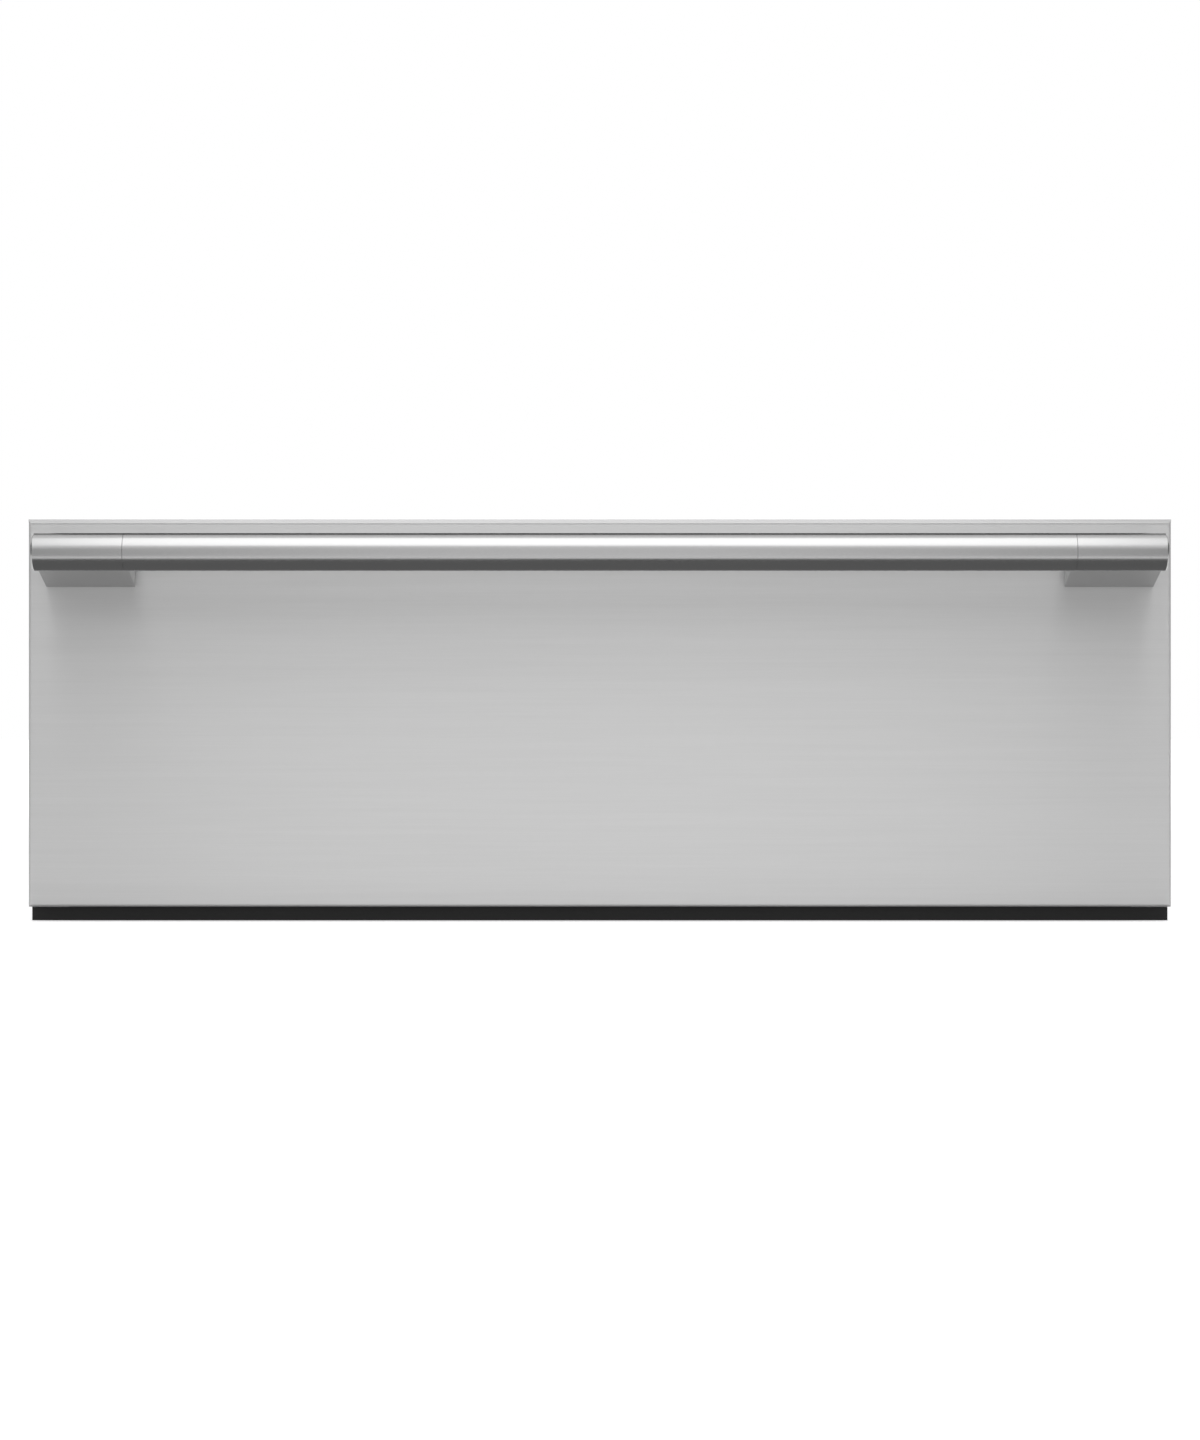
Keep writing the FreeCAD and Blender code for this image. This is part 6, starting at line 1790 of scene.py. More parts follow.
@dataclass
class Controls:
    """The black glass strip with its printed signs, which are given in millimetres, and the tray under it."""

    print_height: float = 0.04 * MM
    glass_eased: float = 0.35 * MM
    tray_eased: float = 0.25 * MM
    tray_wall: float = 2.2 * MM
    board_ends: tuple[float, float] = (9.0 * MM, 4.0 * MM)
    board_half: float = 17.5 * MM
    board_sides: tuple[float, float] = (0.5 * MM, 1.5 * MM)
    key_rise: float = 3.5
    key_ring: tuple[float, float] = (7.0, 6.5)
    hoops: tuple[tuple[Key, float, float, float], ...] = (
        (Key.POWER, -0.4, 3.2, 2.6),
        (Key.SOAK, 0.0, 3.3, 2.7),
    )
    strokes: tuple[tuple[Key, float, float, float, float, float], ...] = (
        (Key.POWER, 0.0, 2.2, 0.7, 3.4, 0.0),
        (Key.VACUUM, -2.1, -1.5, 1.0, 1.8, 0.0),
        (Key.VACUUM, 0.0, -0.8, 1.0, 3.2, 0.0),
        (Key.VACUUM, 2.1, -0.1, 1.0, 4.6, 0.0),
        (Key.SEAL, 0.0, -1.9, 6.0, 0.6, 0.0),
        (Key.SEAL, 0.0, 0.0, 6.0, 0.6, 0.0),
        (Key.SEAL, 0.0, 1.9, 6.0, 0.6, 0.0),
        (Key.SOAK, 0.0, 0.9, 0.5, 2.2, 0.0),
        (Key.SOAK, 0.8, 0.0, 1.9, 0.5, 0.0),
        (Key.START, 0.5, 1.35, 5.4, 0.7, -30.0),
        (Key.START, 0.5, -1.35, 5.4, 0.7, 30.0),
        (Key.START, -1.8, 0.0, 0.7, 5.4, 0.0),
        (Key.STOP, -1.2, 0.0, 1.0, 4.6, 0.0),
        (Key.STOP, 1.2, 0.0, 1.0, 4.6, 0.0),
    )
    level_keys: tuple[Key, ...] = (Key.VACUUM, Key.SEAL, Key.SOAK)
    level_ring: tuple[float, float] = (1.5, 0.9)
    level_pitch: float = 5.0
    level_drop: float = -11.0
    stroke_round: float = 0.45 * MM

    def build(self) -> None:
        """Models the glass, the tray and the signs."""
        refined("control_glass", self.glass_eased, smooth=30.0)
        _, high, middle = span("control_glass")
        low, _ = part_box("control_board")
        left, right = low.x + self.board_ends[0], high.x - self.board_ends[1]
        foot, top = (low.z + self.tray_wall + side for side in (-self.board_sides[0], self.board_sides[1]))

        def is_board(at: Vector, way: Vector) -> bool:
            """Whether a face belongs to the circuit board in the tray."""
            return left < at.x < right and foot < at.z < top and abs(at.y - middle.y) < self.board_half

        refined("control_board", self.tray_eased, paints=[("board_green", is_board)])
        self.print_signs()

    def spot(self, key: Key, x: float, y: float) -> Vector:
        """A point on the glass, given in millimetres from the middle of a key.

        Args:
            key: The key.
            x: How far to the right.
            y: How far back.

        Returns:
            The point.
        """
        low, high, middle = span("control_glass")
        across = low.x + (high.x - low.x) * (key.value + 0.5) / len(Key)
        return Vector((across + x * MM, middle.y + (self.key_rise + y) * MM, high.z + self.print_height / 2))

    def hoop(self, key: Key, x: float, y: float, outer: float, inner: float) -> Piece:
        """Prints a ring of two radii about a point of a key."""
        middle = self.spot(key, x, y)
        return ring("printed_signs", middle, (0, 0, 1), outer * MM, inner * MM, self.print_height, sides=48)

    def stroke(self, key: Key, x: float, y: float, wide: float, deep: float, turn: float) -> Piece:
        """Prints a round ended stroke.

        Args:
            key: The key that it belongs to.
            x: Its middle on X, from the key's.
            y: Its middle on Y, from the key's.
            wide: Its size on X.
            deep: Its size on Y.
            turn: How far it is turned, in degrees.

        Returns:
            The stroke.
        """
        middle = self.spot(key, x, y)
        half = Vector((wide * MM, deep * MM, self.print_height)) / 2
        mark = Piece.block("printed_signs", middle - half, middle + half)
        mark.choose(Part.EDGES, runs_up).bevel(self.stroke_round * min(wide, deep), steps=4)
        return mark.turn(turn, "Z", middle) if turn else mark

    def print_signs(self) -> None:
        """Prints a ring and a plain sign for each key, and rings for the levels of some."""
        marks = [self.hoop(key, 0.0, 0.0, *self.key_ring) for key in Key]
        marks += [self.hoop(key, 0.0, rise, outer, inner) for key, rise, outer, inner in self.hoops]
        marks += [self.stroke(*sizes) for sizes in self.strokes]
        for key in self.level_keys:
            for x in (-self.level_pitch, 0.0, self.level_pitch):
                marks.append(self.hoop(key, x, self.level_drop, *self.level_ring))
        marks.pop(0).absorb(marks).dress("print_white").rides("drawer", "control_black")


@dataclass
class PumpUnit:
    """The vacuum pump with its motor, mounts, filter, valves and hoses."""

    cast: float = 1.2 * MM
    pump_eased: float = 0.35 * MM
    motor_eased: float = 0.3 * MM
    valve_eased: float = 0.5 * MM
    port_gap: float = 3.0 * MM
    coil: float = 29.5 * MM
    barb: float = 11.9 * MM
    bolt: tuple[float, float] = (4.5 * MM, 4.0 * MM)
    bolt_inset: float = 11.0 * MM
    bolt_spread: float = 44.0 * MM
    terminal: tuple[float, float] = (30.0 * MM, 32.0 * MM)
    terminal_place: tuple[float, float] = (200.0 * MM, 36.25 * MM)
    lid_height: float = 3.0 * MM
    lid_corner: float = 4.0 * MM
    lid_rim: float = 3.0 * MM
    lid_rise: float = 0.8 * MM
    lid_edge: float = 0.4 * MM
    lid_screw: tuple[float, float] = (2.5 * MM, 1.6 * MM)
    lid_screw_inset: float = 6.0 * MM
    lid_screw_sink: float = 0.2 * MM
    mount_edge: float = 0.25 * MM
    mount_radius: float = 12.0 * MM
    mount_plate: float = 1.5 * MM
    mount_waist: float = 3.0 * MM
    suction: Route = (
        (22.3, 138.25, 92), (31, 138.25, 92), (40, 138.25, 92), (54.3, 138.25, 92),
        (118, 211.25, 34), (131, 211.25, 34), (140, 211.25, 34), (149.7, 211.25, 34),
    )
    delivery: Route = (
        (162.5, 190.95, 34), (162.5, 182, 34), (162.5, 173, 34), (162.5, 163.25, 34), (137, 121.25, 50),
        (137, 26.25, 96), (137, -13.75, 112), (137, -28, 112), (137, -36.5, 112), (137, -45.45, 112),
    )
    hose_radius: float = 4.0 * MM
    hose_wall: float = 1.5 * MM
    clip_reach: float = 7.0 * MM
    clip_wall: float = 0.9 * MM
    clip_width: float = 4.0 * MM

    def build(self) -> None:
        """Models the pump unit."""
        low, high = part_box("vacuum_pump")
        motor_low, motor_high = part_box("pump_motor")
        folds = [(lambda at, way: near(at.y, low.y), self.cast)]
        port = motor_low.x - self.port_gap
        refined("vacuum_pump", self.pump_eased, folds, [("brass", lambda at, way: at.x < port)])
        refined("pump_motor", self.motor_eased)
        refined("motor_cowl", self.motor_eased)
        near_end, far_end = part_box("valve_block")
        coils, x, y = far_end.z - self.coil, near_end.x + self.barb, near_end.y + self.barb
        paints = [
            ("moulded_black", lambda at, way: at.z > coils),
            ("brass", lambda at, way: at.x < x or at.y < y),
        ]
        refined("valve_block", self.valve_eased, paints=paints)
        self.build_bolts(low, high)
        self.build_terminal_lid(motor_high.z)
        self.build_mounts()
        MistFilter().build()
        self.build_hoses()

    def build_bolts(self, low: Vector, high: Vector) -> None:
        """Models the screws of the pump's cover.

        Args:
            low: Lowest corner of the pump.
            high: Its highest corner.
        """
        wide = self.bolt_spread
        start = (self.terminal_place[0] - wide, low.y, low.z + self.bolt_inset)
        first = socket_screw("cover_bolts", start, (0, -1, 0), *self.bolt)
        tall = high.z - low.z - 2 * self.bolt_inset
        spots = [(k, j) for k in range(3) for j in range(3) if (k, j) not in ((0, 0), (1, 1))]
        steps = [(k * wide, 0, j * tall / 2) for k, j in spots]
        first.absorb([first.twin("cover_bolt", step) for step in steps]).rides("drawer", "plated_steel")

    def build_terminal_lid(self, z: float) -> None:
        """Models the lid of the motor's terminal box with its four screws.

        Args:
            z: Top of the box.
        """
        x, y = self.terminal_place
        wide, deep = self.terminal
        top = z + self.lid_height
        lid = Piece.block("terminal_lid", (x - wide, y - deep, z), (x + wide, y + deep, top))
        lid.choose(Part.EDGES, runs_up).bevel(self.lid_corner, steps=4)
        lid.choose(Part.FACES, faces_up).inset(self.lid_rim, -self.lid_rise)
        lid.soften(self.lid_edge).rides("drawer", "motor_grey")
        wide, deep = wide - self.lid_screw_inset, deep - self.lid_screw_inset
        seat = (x - wide, y - deep, top + self.lid_rise - self.lid_screw_sink)
        screw = socket_screw("lid_screw", seat, (0, 0, 1), *self.lid_screw)
        screw.at_corners((2 * wide, 0, 0), (0, 2 * deep, 0)).rides("drawer", "plated_steel")

    def build_mounts(self) -> None:
        """Models one waisted rubber mount between two plates, and its copies."""
        low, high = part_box("pump_mounts")
        r = self.mount_radius
        x, y, middle = low.x + r, low.y + r, (low.z + high.z) / 2
        half = (high.z - low.z) / 2 - self.mount_plate
        first = Piece.rod("rubber_mounts", (x, y, low.z), (x, y, high.z), r, sides=40)
        levels = [(step / 4, middle + half * step / 4) for step in range(-4, 5)]
        for _, z in levels:
            first.cut_at((0, 0, z), (0, 0, 1))
        for share, z in levels[1:-1]:
            waist = 1 - self.mount_waist / r * math.cos(math.pi / 2 * share)
            first.choose(Part.POINTS, lambda at, way: near(at.z, z)).widen((waist, waist, 1), (x, y, z))
        first.dress("rubber_black").paint("plated_steel", lambda at, way: abs(at.z - middle) > half)
        first.soften(self.mount_edge)
        wide, deep = high.x - low.x - 2 * r, high.y - low.y - 2 * r
        first.at_corners((wide, 0, 0), (0, deep, 0)).stands_for("pump_mounts")

    def build_hoses(self) -> None:
        """Models the hose from the chamber to the valves, the one to the pump, and their spring clips."""
        routes = (self.suction, self.delivery)
        r = self.hose_radius
        hoses = [tube("clear_hoses", route, r, self.hose_wall) for route in routes]
        hoses[0].dress("hose_clear").absorb(hoses[1:]).stands_for("vacuum_hoses", smooth=50.0)
        outer, width = r + self.clip_wall, self.clip_width
        clips = [
            ring("hose_clips", end + way * self.clip_reach, way, outer, r, width, sides=32)
            for route in routes
            for end, way in ends_of(route)
        ]
        clips[0].absorb(clips[1:]).rides("drawer", "plated_steel")


@dataclass
class MistFilter:
    """The filter at the pump's outlet: a ribbed can, a groove and a cap with grips."""

    sides: int = 72
    edge: float = 3.5 * MM
    dish_rim: float = 6.0 * MM
    dish: tuple[float, float] = (0.8 * MM, 0.9 * MM)
    groove: tuple[float, float] = (12.5 * MM, 11.0 * MM)
    groove_depth: float = 0.9 * MM
    foot: float = 5.0 * MM
    cap_edge: float = 3.6 * MM
    grip_share: int = 3
    grip: tuple[float, float] = (0.3 * MM, -0.5 * MM)
    rib_share: int = 2
    rib: tuple[float, float] = (0.4 * MM, 0.6 * MM)

    def build(self) -> None:
        """Models the filter."""
        low, high, middle = span("exhaust_filter")
        x, y = middle.x, middle.y
        can = Piece.rod("mist_filter", (x, y, low.z), (x, y, high.z), high.x - x, self.sides)
        can.choose(Part.EDGES, lambda at, way: near(at.z, high.z)).bevel(self.edge, steps=4)
        can.choose(Part.FACES, faces_up).inset(self.dish_rim).inset(*self.dish)
        bottom, top = (high.z - drop for drop in self.groove)
        foot = low.z + self.foot
        for z in (bottom, top, foot):
            can.cut_at((0, 0, z), (0, 0, 1))

        def on_wall(start: float, end: float, share: int) -> Test:
            """Whether a face of the wall lies between two heights, and is one of a share of the sides."""
            return lambda at, way: (
                start < at.z < end
                and abs(way.z) < HARDLY
                and int(math.atan2(at.y - y, at.x - x) / math.tau * self.sides + self.sides) % share == 0
            )

        rim = high.z - self.cap_edge
        can.choose(Part.FACES, on_wall(bottom, top, 1)).inset(0.0, self.groove_depth)
        can.choose(Part.FACES, on_wall(top, rim, self.grip_share)).inset(*self.grip, apart=True)
        can.choose(Part.FACES, on_wall(foot, bottom, self.rib_share)).inset(*self.rib, apart=True)
        can.stands_for("exhaust_filter")


@dataclass
class CoolingFan:
    """The fan behind the rear grille: its frame, its hub and its curved blades."""

    blades: int = 7
    blade: float = 1.6 * MM
    camber: float = 1.3 * MM
    pitches: tuple[float, float] = (46.0, 30.0)
    slices: tuple[float, ...] = (-0.6, -0.2, 0.2, 0.6)
    blade_root: float = 14.5 * MM
    blade_inset: float = 1.0 * MM
    blade_edge: float = 0.3 * MM
    frame_eased: float = 0.4 * MM
    hub_radius: float = 16.0 * MM
    hub_edge: float = 2.6 * MM
    hub_rim: float = 3.0 * MM
    hub_dish: tuple[float, float] = (0.6 * MM, 0.5 * MM)

    def build(self) -> None:
        """Models the frame and the turning part."""
        refined("fan_frame", self.frame_eased)
        low, high, middle = span("fan_rotor")
        x, z = middle.x, middle.z
        hub = Piece.rod("fan_blades", (x, low.y, z), (x, high.y, z), self.hub_radius, sides=56)
        hub.choose(Part.EDGES, lambda at, way: near(at.y, high.y)).bevel(self.hub_edge, steps=4)
        hub.choose(Part.FACES, lambda at, way: way.y > STRAIGHT).inset(self.hub_rim).inset(*self.hub_dish)
        first = self.build_blade(middle, high.y - middle.y - self.blade_inset, high.z - z)
        others = [first.twin("fan_blade", (0, 0, 0)).turn(k * 360 / self.blades, "Y", (x, 0, z))
                  for k in range(1, self.blades)]
        hub.absorb([first, *others]).stands_for("fan_rotor")

    def build_blade(self, middle: Vector, half: float, tip: float) -> Piece:
        """Models one blade, upright over the hub.

        Args:
            middle: Middle of the hub.
            half: Half its length on Y.
            tip: How far its tip is from the axis.

        Returns:
            The blade.
        """
        root = self.blade_root
        low = middle + Vector((-self.blade / 2, -half, root))
        high = middle + Vector((self.blade / 2, half, tip))
        blade = Piece.block("blade", low, high)
        levels = [root + (tip - root) * share / 4 for share in range(5)]
        for level in levels[1:-1]:
            blade.cut_at((0, 0, middle.z + level), (0, 0, 1))
        for share in self.slices:
            blade.cut_at((0, middle.y + half * share, 0), (0, 1, 0))
            blade.choose(Part.POINTS, lambda at, way: near(at.y, middle.y + half * share))
            blade.move((self.camber * (1 - share * share), 0, 0))
        for share, level in enumerate(levels):
            pitch = self.pitches[0] + (self.pitches[1] - self.pitches[0]) * share / 4
            blade.choose(Part.POINTS, lambda at, way: near(at.z, middle.z + level))
            bpy.ops.transform.rotate(
                value=math.radians(-pitch), orient_axis="Z", center_override=middle + Vector((0, 0, level))
            )
        return blade.soften(self.blade_edge, angle=50)


@dataclass
class PowerBoard:
    """The power board with each kind of component in its own finish.

    An area says where it starts and ends on X and on Y, in millimetres from the board's lowest corner, or
    from its far side where the first number is negative.
    """

    eased: float = 0.2 * MM
    top: float = 9.65 * MM
    legs: float = 7.9 * MM
    areas: tuple[tuple[str, Area], ...] = (
        ("moulded_black", (18, 96, 18, 50)),
        ("sleeve_blue", (18, 90, -42, -18)),
        ("pump_aluminium", (-72, -14, -58, -14)),
        ("nylon_white", (-16, 0, 12, 56)),
    )

    def build(self) -> None:
        """Models the board."""
        low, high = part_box("power_board")
        top, legs = low.z + self.top, low.z + self.legs

        def within(area: Area) -> Test:
            """Whether a face stands on the board within an area.

            Args:
                area: The area.

            Returns:
                The test.
            """
            x = high.x if area[0] < 0 else low.x
            y = high.y if area[2] < 0 else low.y
            x0, x1, y0, y1 = (side * MM for side in area)
            return lambda at, way: at.z > top and x + x0 < at.x < x + x1 and y + y0 < at.y < y + y1

        paints = [(finish, within(area)) for finish, area in self.areas]
        refined("power_board", self.eased, paints=[*paints, ("nylon_white", lambda at, way: at.z < legs)])


@dataclass
class Transformer:
    """The ring in its tape, lap by lap, between rubber pads, with its dished washer and bolt."""

    hole: float = 12.0 * MM
    corner: float = 7.0 * MM
    height: float = 48.0 * MM
    laps: int = 64
    lap_rise: float = 0.35 * MM
    eased: float = 0.3 * MM
    pad: float = 1.5 * MM
    pad_inset: float = 6.0 * MM
    pad_lap: float = 1.0 * MM
    pad_rise: float = 0.2 * MM
    clamp_radius: float = 21.6 * MM
    clamp: float = 2.0 * MM
    washer_inset: float = 1.0 * MM
    washer_rim: float = 9.0 * MM
    washer_dish: tuple[float, float] = (1.2 * MM, 1.0 * MM)
    bolt_radius: float = 6.0 * MM
    bolt_crown: tuple[float, float] = (0.9 * MM, -0.3 * MM)

    def build(self) -> None:
        """Models the transformer."""
        low, high, middle = span("transformer")
        x, y, outer = middle.x, middle.y, high.x - middle.x
        foot, top = low.z + self.pad, low.z + self.height
        wound = self.wind(Vector((x, y, 0)), outer, foot, top)

        def disc(start: float, end: float, radius: float, finish: str, sides: int = 64) -> Piece:
            """A disc about the axis, between two heights."""
            return Piece.rod("disc", (x, y, start), (x, y, end), radius, sides).dress(finish)

        under = disc(low.z, foot + self.pad_lap, outer - self.pad_inset, "rubber_black").soften(self.eased)
        seat = top + self.pad_rise
        over = disc(top - self.pad_lap, seat, self.clamp_radius, "rubber_black").soften(self.eased)
        washer = disc(seat, top + self.clamp, self.clamp_radius - self.washer_inset, "plated_steel")
        washer.choose(Part.FACES, faces_up).inset(self.washer_rim).inset(*self.washer_dish).soften(self.eased)
        bolt = disc(top, high.z, self.bolt_radius, "plated_steel", sides=6)
        bolt.choose(Part.FACES, faces_up).inset(*self.bolt_crown)
        wound.absorb([under, over, washer, bolt]).stands_for("transformer")

    def wind(self, axis: Vector, outer: float, foot: float, top: float) -> Piece:
        """Models the winding: a rounded outline carried round the axis, every other lap raised.

        Args:
            axis: The foot of the axis.
            outer: Its outer radius.
            foot: Its lower height.
            top: Its upper height.

        Returns:
            The winding.
        """
        lay_down()
        bpy.ops.mesh.primitive_plane_add(
            size=1.0,
            location=(axis.x + (outer + self.hole) / 2, axis.y, (foot + top) / 2),
            rotation=(math.pi / 2, 0, 0),
        )
        bpy.context.object.scale = (outer - self.hole - 2 * self.lap_rise, top - foot - 2 * self.lap_rise, 1)
        wound = Piece("wound_ring")
        wound.choose(Part.POINTS, everything)
        bpy.ops.mesh.bevel(offset=self.corner, segments=5, affect="VERTICES")
        wound.choose(Part.FACES, everything)
        bpy.ops.mesh.delete(type="ONLY_FACE")
        wound.spin(2 * self.laps, axis)
        lap = math.pi / self.laps
        wound.choose(
            Part.POINTS, lambda at, way: round(math.atan2(at.y - axis.y, at.x - axis.x) / lap) % 2 == 0
        )
        return wound.swell(self.lap_rise).dress("core_tape")


@dataclass
class Leads:
    """The lead to the motor and the lead to the transformer, with a boot at each end and ties along them."""

    radius: float = 2.5 * MM
    motor_lead: Route = (
        (-16.7, -25.75, 32.6), (-5, -25.75, 32.6), (15, -25.75, 32.6), (45, -5.75, 52.6),
        (120, 28.25, 108), (136, 36.25, 140), (160, 36.25, 144), (171.7, 36.25, 144),
    )
    ring_lead: Route = (
        (-16.7, -49.75, 32.6), (-5, -49.75, 32.6), (13, -49.75, 32.6), (45, -81.75, 22.8),
        (170, -165.75, 20.8), (221.1, -171.75, 28.8), (243, -171.75, 28.8), (254.8, -171.75, 28.8),
    )
    boot_length: float = 10.0 * MM
    boot_radius: float = 3.75 * MM
    boot_taper: float = 0.78
    boot_edge: float = 0.3 * MM
    ties: tuple[float, ...] = (0.3, 0.45, 0.6, 0.75)
    tie_grip: float = 0.1 * MM
    tie_wall: float = 0.8 * MM
    tie_width: float = 2.4 * MM
    tie_head: float = 2.0 * MM
    tie_head_half: float = 1.7 * MM
    tie_head_off: float = 1.2 * MM

    def build(self) -> None:
        """Models the leads."""
        routes = (self.motor_lead, self.ring_lead)
        pieces = []
        for route in routes:
            pieces.append(tube("board_leads", route, self.radius))
            pieces.extend(self.boot(end, end + way * self.boot_length) for end, way in ends_of(route))
        leads = pieces.pop(0).dress("loom_black").absorb(pieces)
        ties = [part for route in routes for place in stations(route, self.ties) for part in self.tie(*place)]
        leads.absorb([ties.pop(0).absorb(ties).dress("nylon_white")]).stands_for("wiring_loom")

    def boot(self, start: Vector, tip: Vector) -> Piece:
        """Models one boot, narrower at its tip.

        Args:
            start: Middle of its root.
            tip: Middle of its tip.

        Returns:
            The boot.
        """
        boot = Piece.rod("boot", start, tip, self.boot_radius, sides=32)
        boot.choose(Part.POINTS, lambda at, way: (at - tip).length < 1.1 * self.boot_radius)
        return boot.widen((self.boot_taper,) * 3, tip).soften(self.boot_edge)

    def tie(self, middle: Vector, way: Vector) -> tuple[Piece, Piece]:
        """Models one cable tie.

        Args:
            middle: The point on the lead.
            way: The lead's direction there.

        Returns:
            Its band and its head.
        """
        aside = middle + way.cross((0, 0, 1)).normalized() * (self.radius + self.tie_head_off)
        half = way * self.tie_head_half
        outer, inner = self.radius + self.tie_wall, self.radius - self.tie_grip
        band = ring("tie", middle, way, outer, inner, self.tie_width, sides=32)
        return band, Piece.rod("tie_head", aside - half, aside + half, self.tie_head, sides=4)


@dataclass(frozen=True)
class Card:
    """A card that only reflections show, upright or flat, given by two opposite corners and its brightness.

    It may fall off to the sides, and it may move with the drawer.
    """

    name: str
    start: tuple[float, float, float]
    end: tuple[float, float, float]
    tone: float
    falls_off: bool = False
    with_drawer: bool = False


@dataclass(frozen=True)
class Softbox:
    """A rectangular lamp: where it hangs, what it faces, its size, its power and whether gloss shows it."""

    name: str
    place: tuple[float, float, float]
    aim: tuple[float, float, float]
    size: tuple[float, float]
    power: float
    in_gloss: bool = True


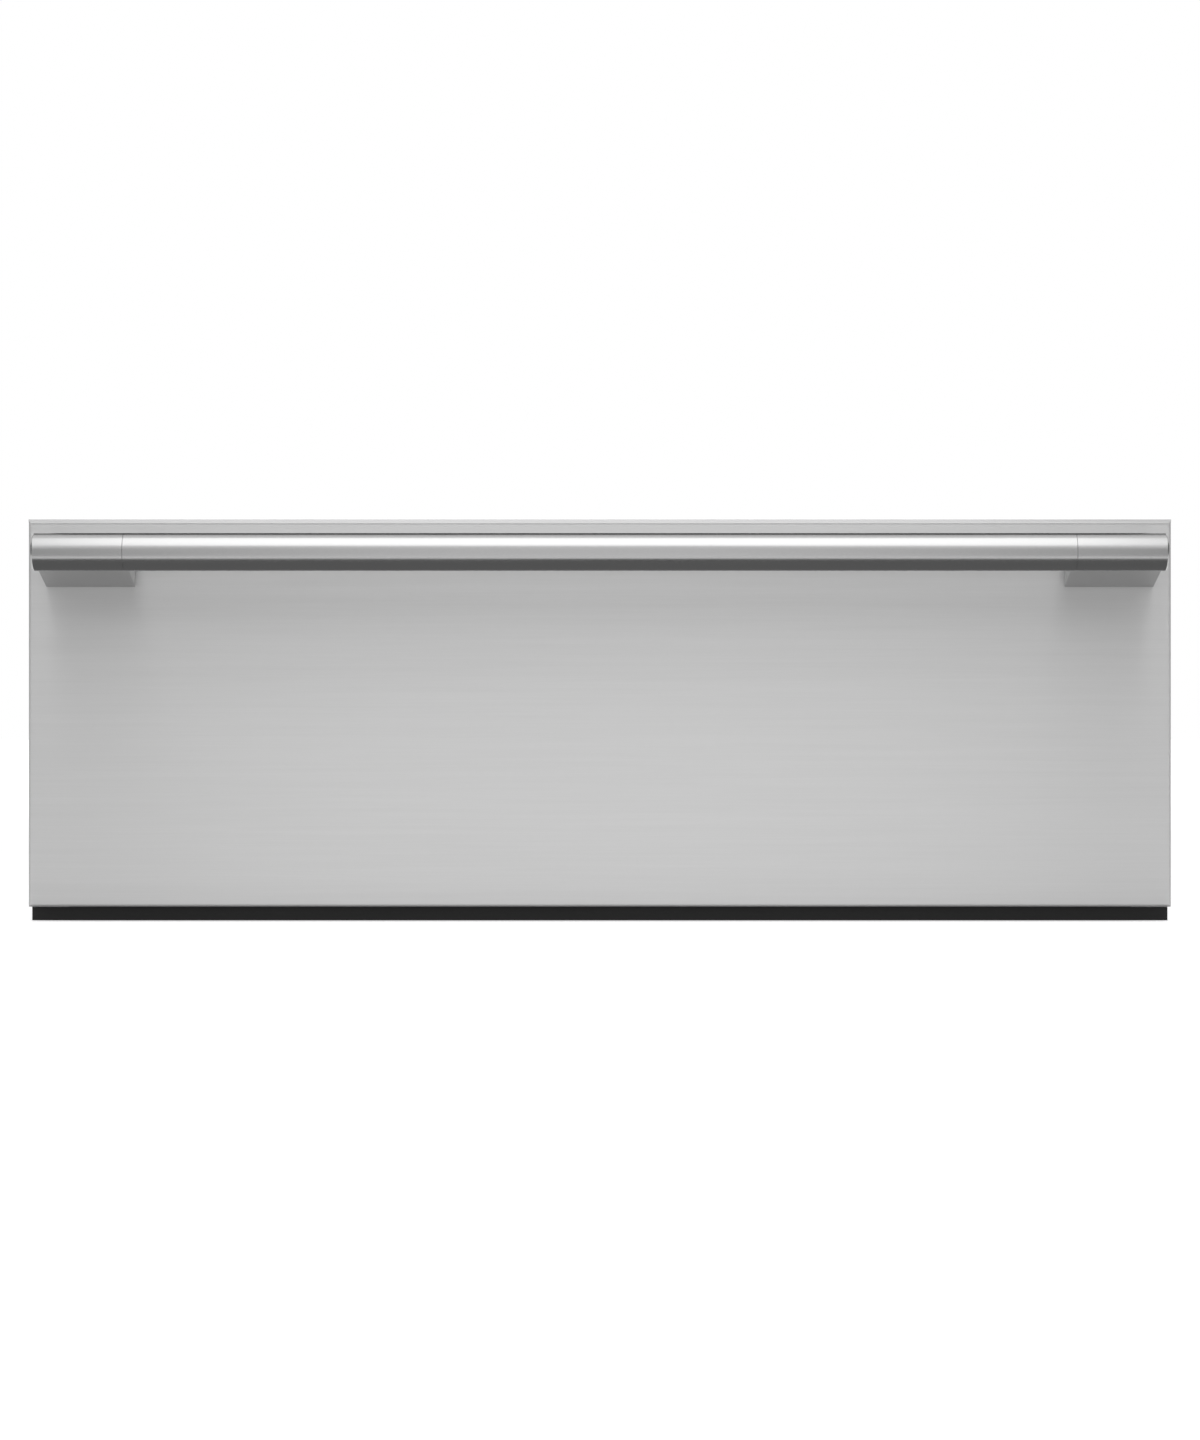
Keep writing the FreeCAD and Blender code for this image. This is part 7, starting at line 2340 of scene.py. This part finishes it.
@dataclass
class Stage:
    """The photographer's floor, lights, cards and camera."""

    camera_place: tuple[float, float, float] = (0.0001, -2.47575, 0.1339)
    lens: float = 83.76
    fill: float = 0.3
    floor_size: float = 40.0
    floor_drop: float = 0.0002
    floor_tone: float = 0.3
    floor_sight: float = 0.95
    floor_lift: tuple[float, float] = (0.6, 0.95)
    floor_spread: tuple[float, float] = (1.0, 3.5)
    gloss_lift: float = 0.87
    lamps: tuple[Softbox, ...] = (
        Softbox("top_box", (0, -1.0, 1.68), (0, -0.3, 0.24), (1.25, 1.7), 9.0),
        Softbox("front_box", (0, -2.6, 1.45), (0, -0.25, 0.2), (4.0, 0.9), 23.0, in_gloss=False),
        Softbox("front_low", (0, -2.7, 0.45), (0, -0.25, 0.15), (4.0, 0.7), 20.0, in_gloss=False),
    )
    cards: tuple[Card, ...] = (
        Card("flag_side_right", (2.6, -3.0, 0.0), (2.6, 1.6, 1.2), 0.2),
        Card("flag_side_left", (-2.6, -3.0, 0.0), (-2.6, 1.6, 1.2), 0.2),
        Card("flag_back", (-2.0, 1.6, 1.0), (2.0, 1.6, 3.2), 0.3),
        Card("cove_floor", (-2.6, -3.2, 0.0002), (2.6, -0.75, 0.0002), 1.0, falls_off=True),
        Card("cove_wall", (-2.6, -3.2, 0.0), (2.6, -3.2, 1.4), 1.0, falls_off=True),
        # Painted shade: a dark card on the floor at the front's foot, seen only in reflections, darkens the
        # front's bottom edge in place of the floor's contact shadow.
        Card("painted_shade_card_foot", (-0.38, -0.275, 0.0003), (0.38, -0.19, 0.0003), 0.18),
        # Painted shade: a dark card just under the bar, seen only in reflections and moving with the drawer,
        # darkens the bar's underside, the brackets' undersides and the front just below the bar.
        Card("painted_shade_card_handle", (-0.372, -0.3285, 0.2265), (0.372, -0.299, 0.2265), 0.18, with_drawer=True),
        # Painted reflection: a dark card behind the front's top, seen only in reflections and moving with the
        # drawer, lays a dark line along the top of the bar.
        Card("dark_reflection_card_crest", (-0.372, -0.2, 0.27), (0.372, -0.2, 0.4), 0.08, with_drawer=True),
    )
    cove_waist: tuple[float, float] = (1.84, 2.158)
    cove_fall: float = 3.1
    cove_least: float = 0.35

    def build(self) -> None:
        """Sets up everything round the object."""
        self.build_camera()
        self.build_sky()
        self.build_floor()
        for box in self.lamps:
            self.hang(box)
        for card in self.cards:
            self.set_up(card)
        bpy.context.scene.view_settings.view_transform = "Standard"

    def build_camera(self) -> None:
        """Places the camera straight in front, level."""
        eye = bpy.data.cameras.new("camera")
        eye.sensor_width = 36.0
        eye.lens = self.lens
        camera = bpy.data.objects.new("camera", eye)
        camera.location = self.camera_place
        camera.rotation_euler = (math.radians(90), 0, 0)
        bpy.context.scene.collection.objects.link(camera)
        bpy.context.scene.camera = camera

    def build_sky(self) -> None:
        """Makes the surroundings white to the eye and in reflections, and soft as light."""
        world = bpy.data.worlds.new("studio")
        world.use_nodes = True
        bpy.context.scene.world = world
        sky = Graph(world.node_tree)
        strength = sky.rays("Camera", "Glossy", "Transmission") * (1 - self.fill) + self.fill
        light = sky.node("ShaderNodeBackground", inputs={"Color": (1.0, 1.0, 1.0, 1.0), "Strength": strength})
        sky.node("ShaderNodeOutputWorld", inputs={"Surface": light.outputs[0]})

    def build_floor(self) -> None:
        """Lays a plain white floor that keeps the object's shadow."""
        lay_down()
        bpy.ops.mesh.primitive_plane_add(size=self.floor_size, location=(0, 0, -self.floor_drop))
        floor = bpy.context.object
        floor.name = "studio_floor"
        work = Surface("studio_floor_finish")
        sight = work.rays("Camera", "Transmission")
        x, y, _ = work.axes()
        far_off = ((x * x + y * y) ** 0.5).eased(*self.floor_spread)
        near_lift, far_lift = self.floor_lift
        colour = work.tint(sight, (self.floor_tone,) * 3, (self.floor_sight,) * 3)
        work.set({"Base Color": colour, "Roughness": 1.0, "Specular IOR Level": 0.0})
        seen = sight * (near_lift + far_off * (far_lift - near_lift))
        strength = seen.most(work.rays("Glossy") * self.gloss_lift)
        lift = work.node("ShaderNodeEmission", inputs={"Strength": strength})
        both = work.node("ShaderNodeAddShader", inputs={0: work.shader.outputs[0], 1: lift.outputs[0]})
        work.tree.links.new(both.outputs[0], work.output.inputs["Surface"])
        floor.data.materials.append(work.material)

    def hang(self, box: Softbox) -> None:
        """Hangs one softbox, out of the camera's sight.

        Args:
            box: The softbox.
        """
        light = bpy.data.lights.new(box.name, "AREA")
        light.shape = "RECTANGLE"
        light.size, light.size_y = box.size
        light.energy = box.power
        lamp = bpy.data.objects.new(box.name, light)
        lamp.location = box.place
        lamp.rotation_euler = (Vector(box.aim) - Vector(box.place)).to_track_quat("-Z", "Y").to_euler()
        lamp.visible_camera = False
        lamp.visible_glossy = box.in_gloss
        bpy.context.scene.collection.objects.link(lamp)

    def set_up(self, card: Card) -> None:
        """Sets up one card, brightest in the middle if it falls off to the sides.

        Args:
            card: The card.
        """
        (x0, y0, z0), (x1, y1, z1) = card.start, card.end
        sides = (y0, y1) if z0 == z1 else (y1, y0)
        corners = [(x0, y0, z0), (x1, sides[0], z0), (x1, y1, z1), (x0, sides[1], z1)]
        sheet = bpy.data.meshes.new(card.name)
        sheet.from_pydata(corners, [], [(0, 1, 2, 3)])
        board = bpy.data.objects.new(card.name, sheet)
        bpy.context.scene.collection.objects.link(board)
        work = Surface(card.name + "_finish")
        strength: Value | float = card.tone
        if card.falls_off:
            x, y, _ = work.axes()
            waist, reach = self.cove_waist
            aside = x * reach / (waist - y)
            strength = (card.tone - aside * aside * self.cove_fall).most(self.cove_least)
        glow = work.node("ShaderNodeEmission", inputs={"Strength": strength})
        work.tree.links.new(glow.outputs[0], work.output.inputs["Surface"])
        sheet.materials.append(work.material)
        for sight in ("camera", "diffuse", "transmission", "shadow", "volume_scatter"):
            setattr(board, "visible_" + sight, False)
        if card.with_drawer:
            board.parent = frame["bodies"]["drawer"]


def dress_nodes() -> None:
    """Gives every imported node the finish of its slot."""
    for name, node in frame["nodes"].items():
        node.data.materials.clear()
        node.data.materials.append(MATERIALS[SLOT_OF[name]])


def main() -> None:
    """Builds the classes in order and reports each piece."""
    logging.basicConfig(level=logging.INFO, format="%(name)s %(message)s")
    dress_nodes()
    builders = (
        FrontPanel(), Handle(), Housing(), DrawerBox(), Runners(), Chamber(), Lid(), Controls(), PumpUnit(),
        CoolingFan(), PowerBoard(), Transformer(), Leads(), Screws(),
    )
    for builder in builders:
        log.info("building %s", type(builder).__name__)
        builder.build()
    Stage().build()


if __name__ == "__main__":
    main()
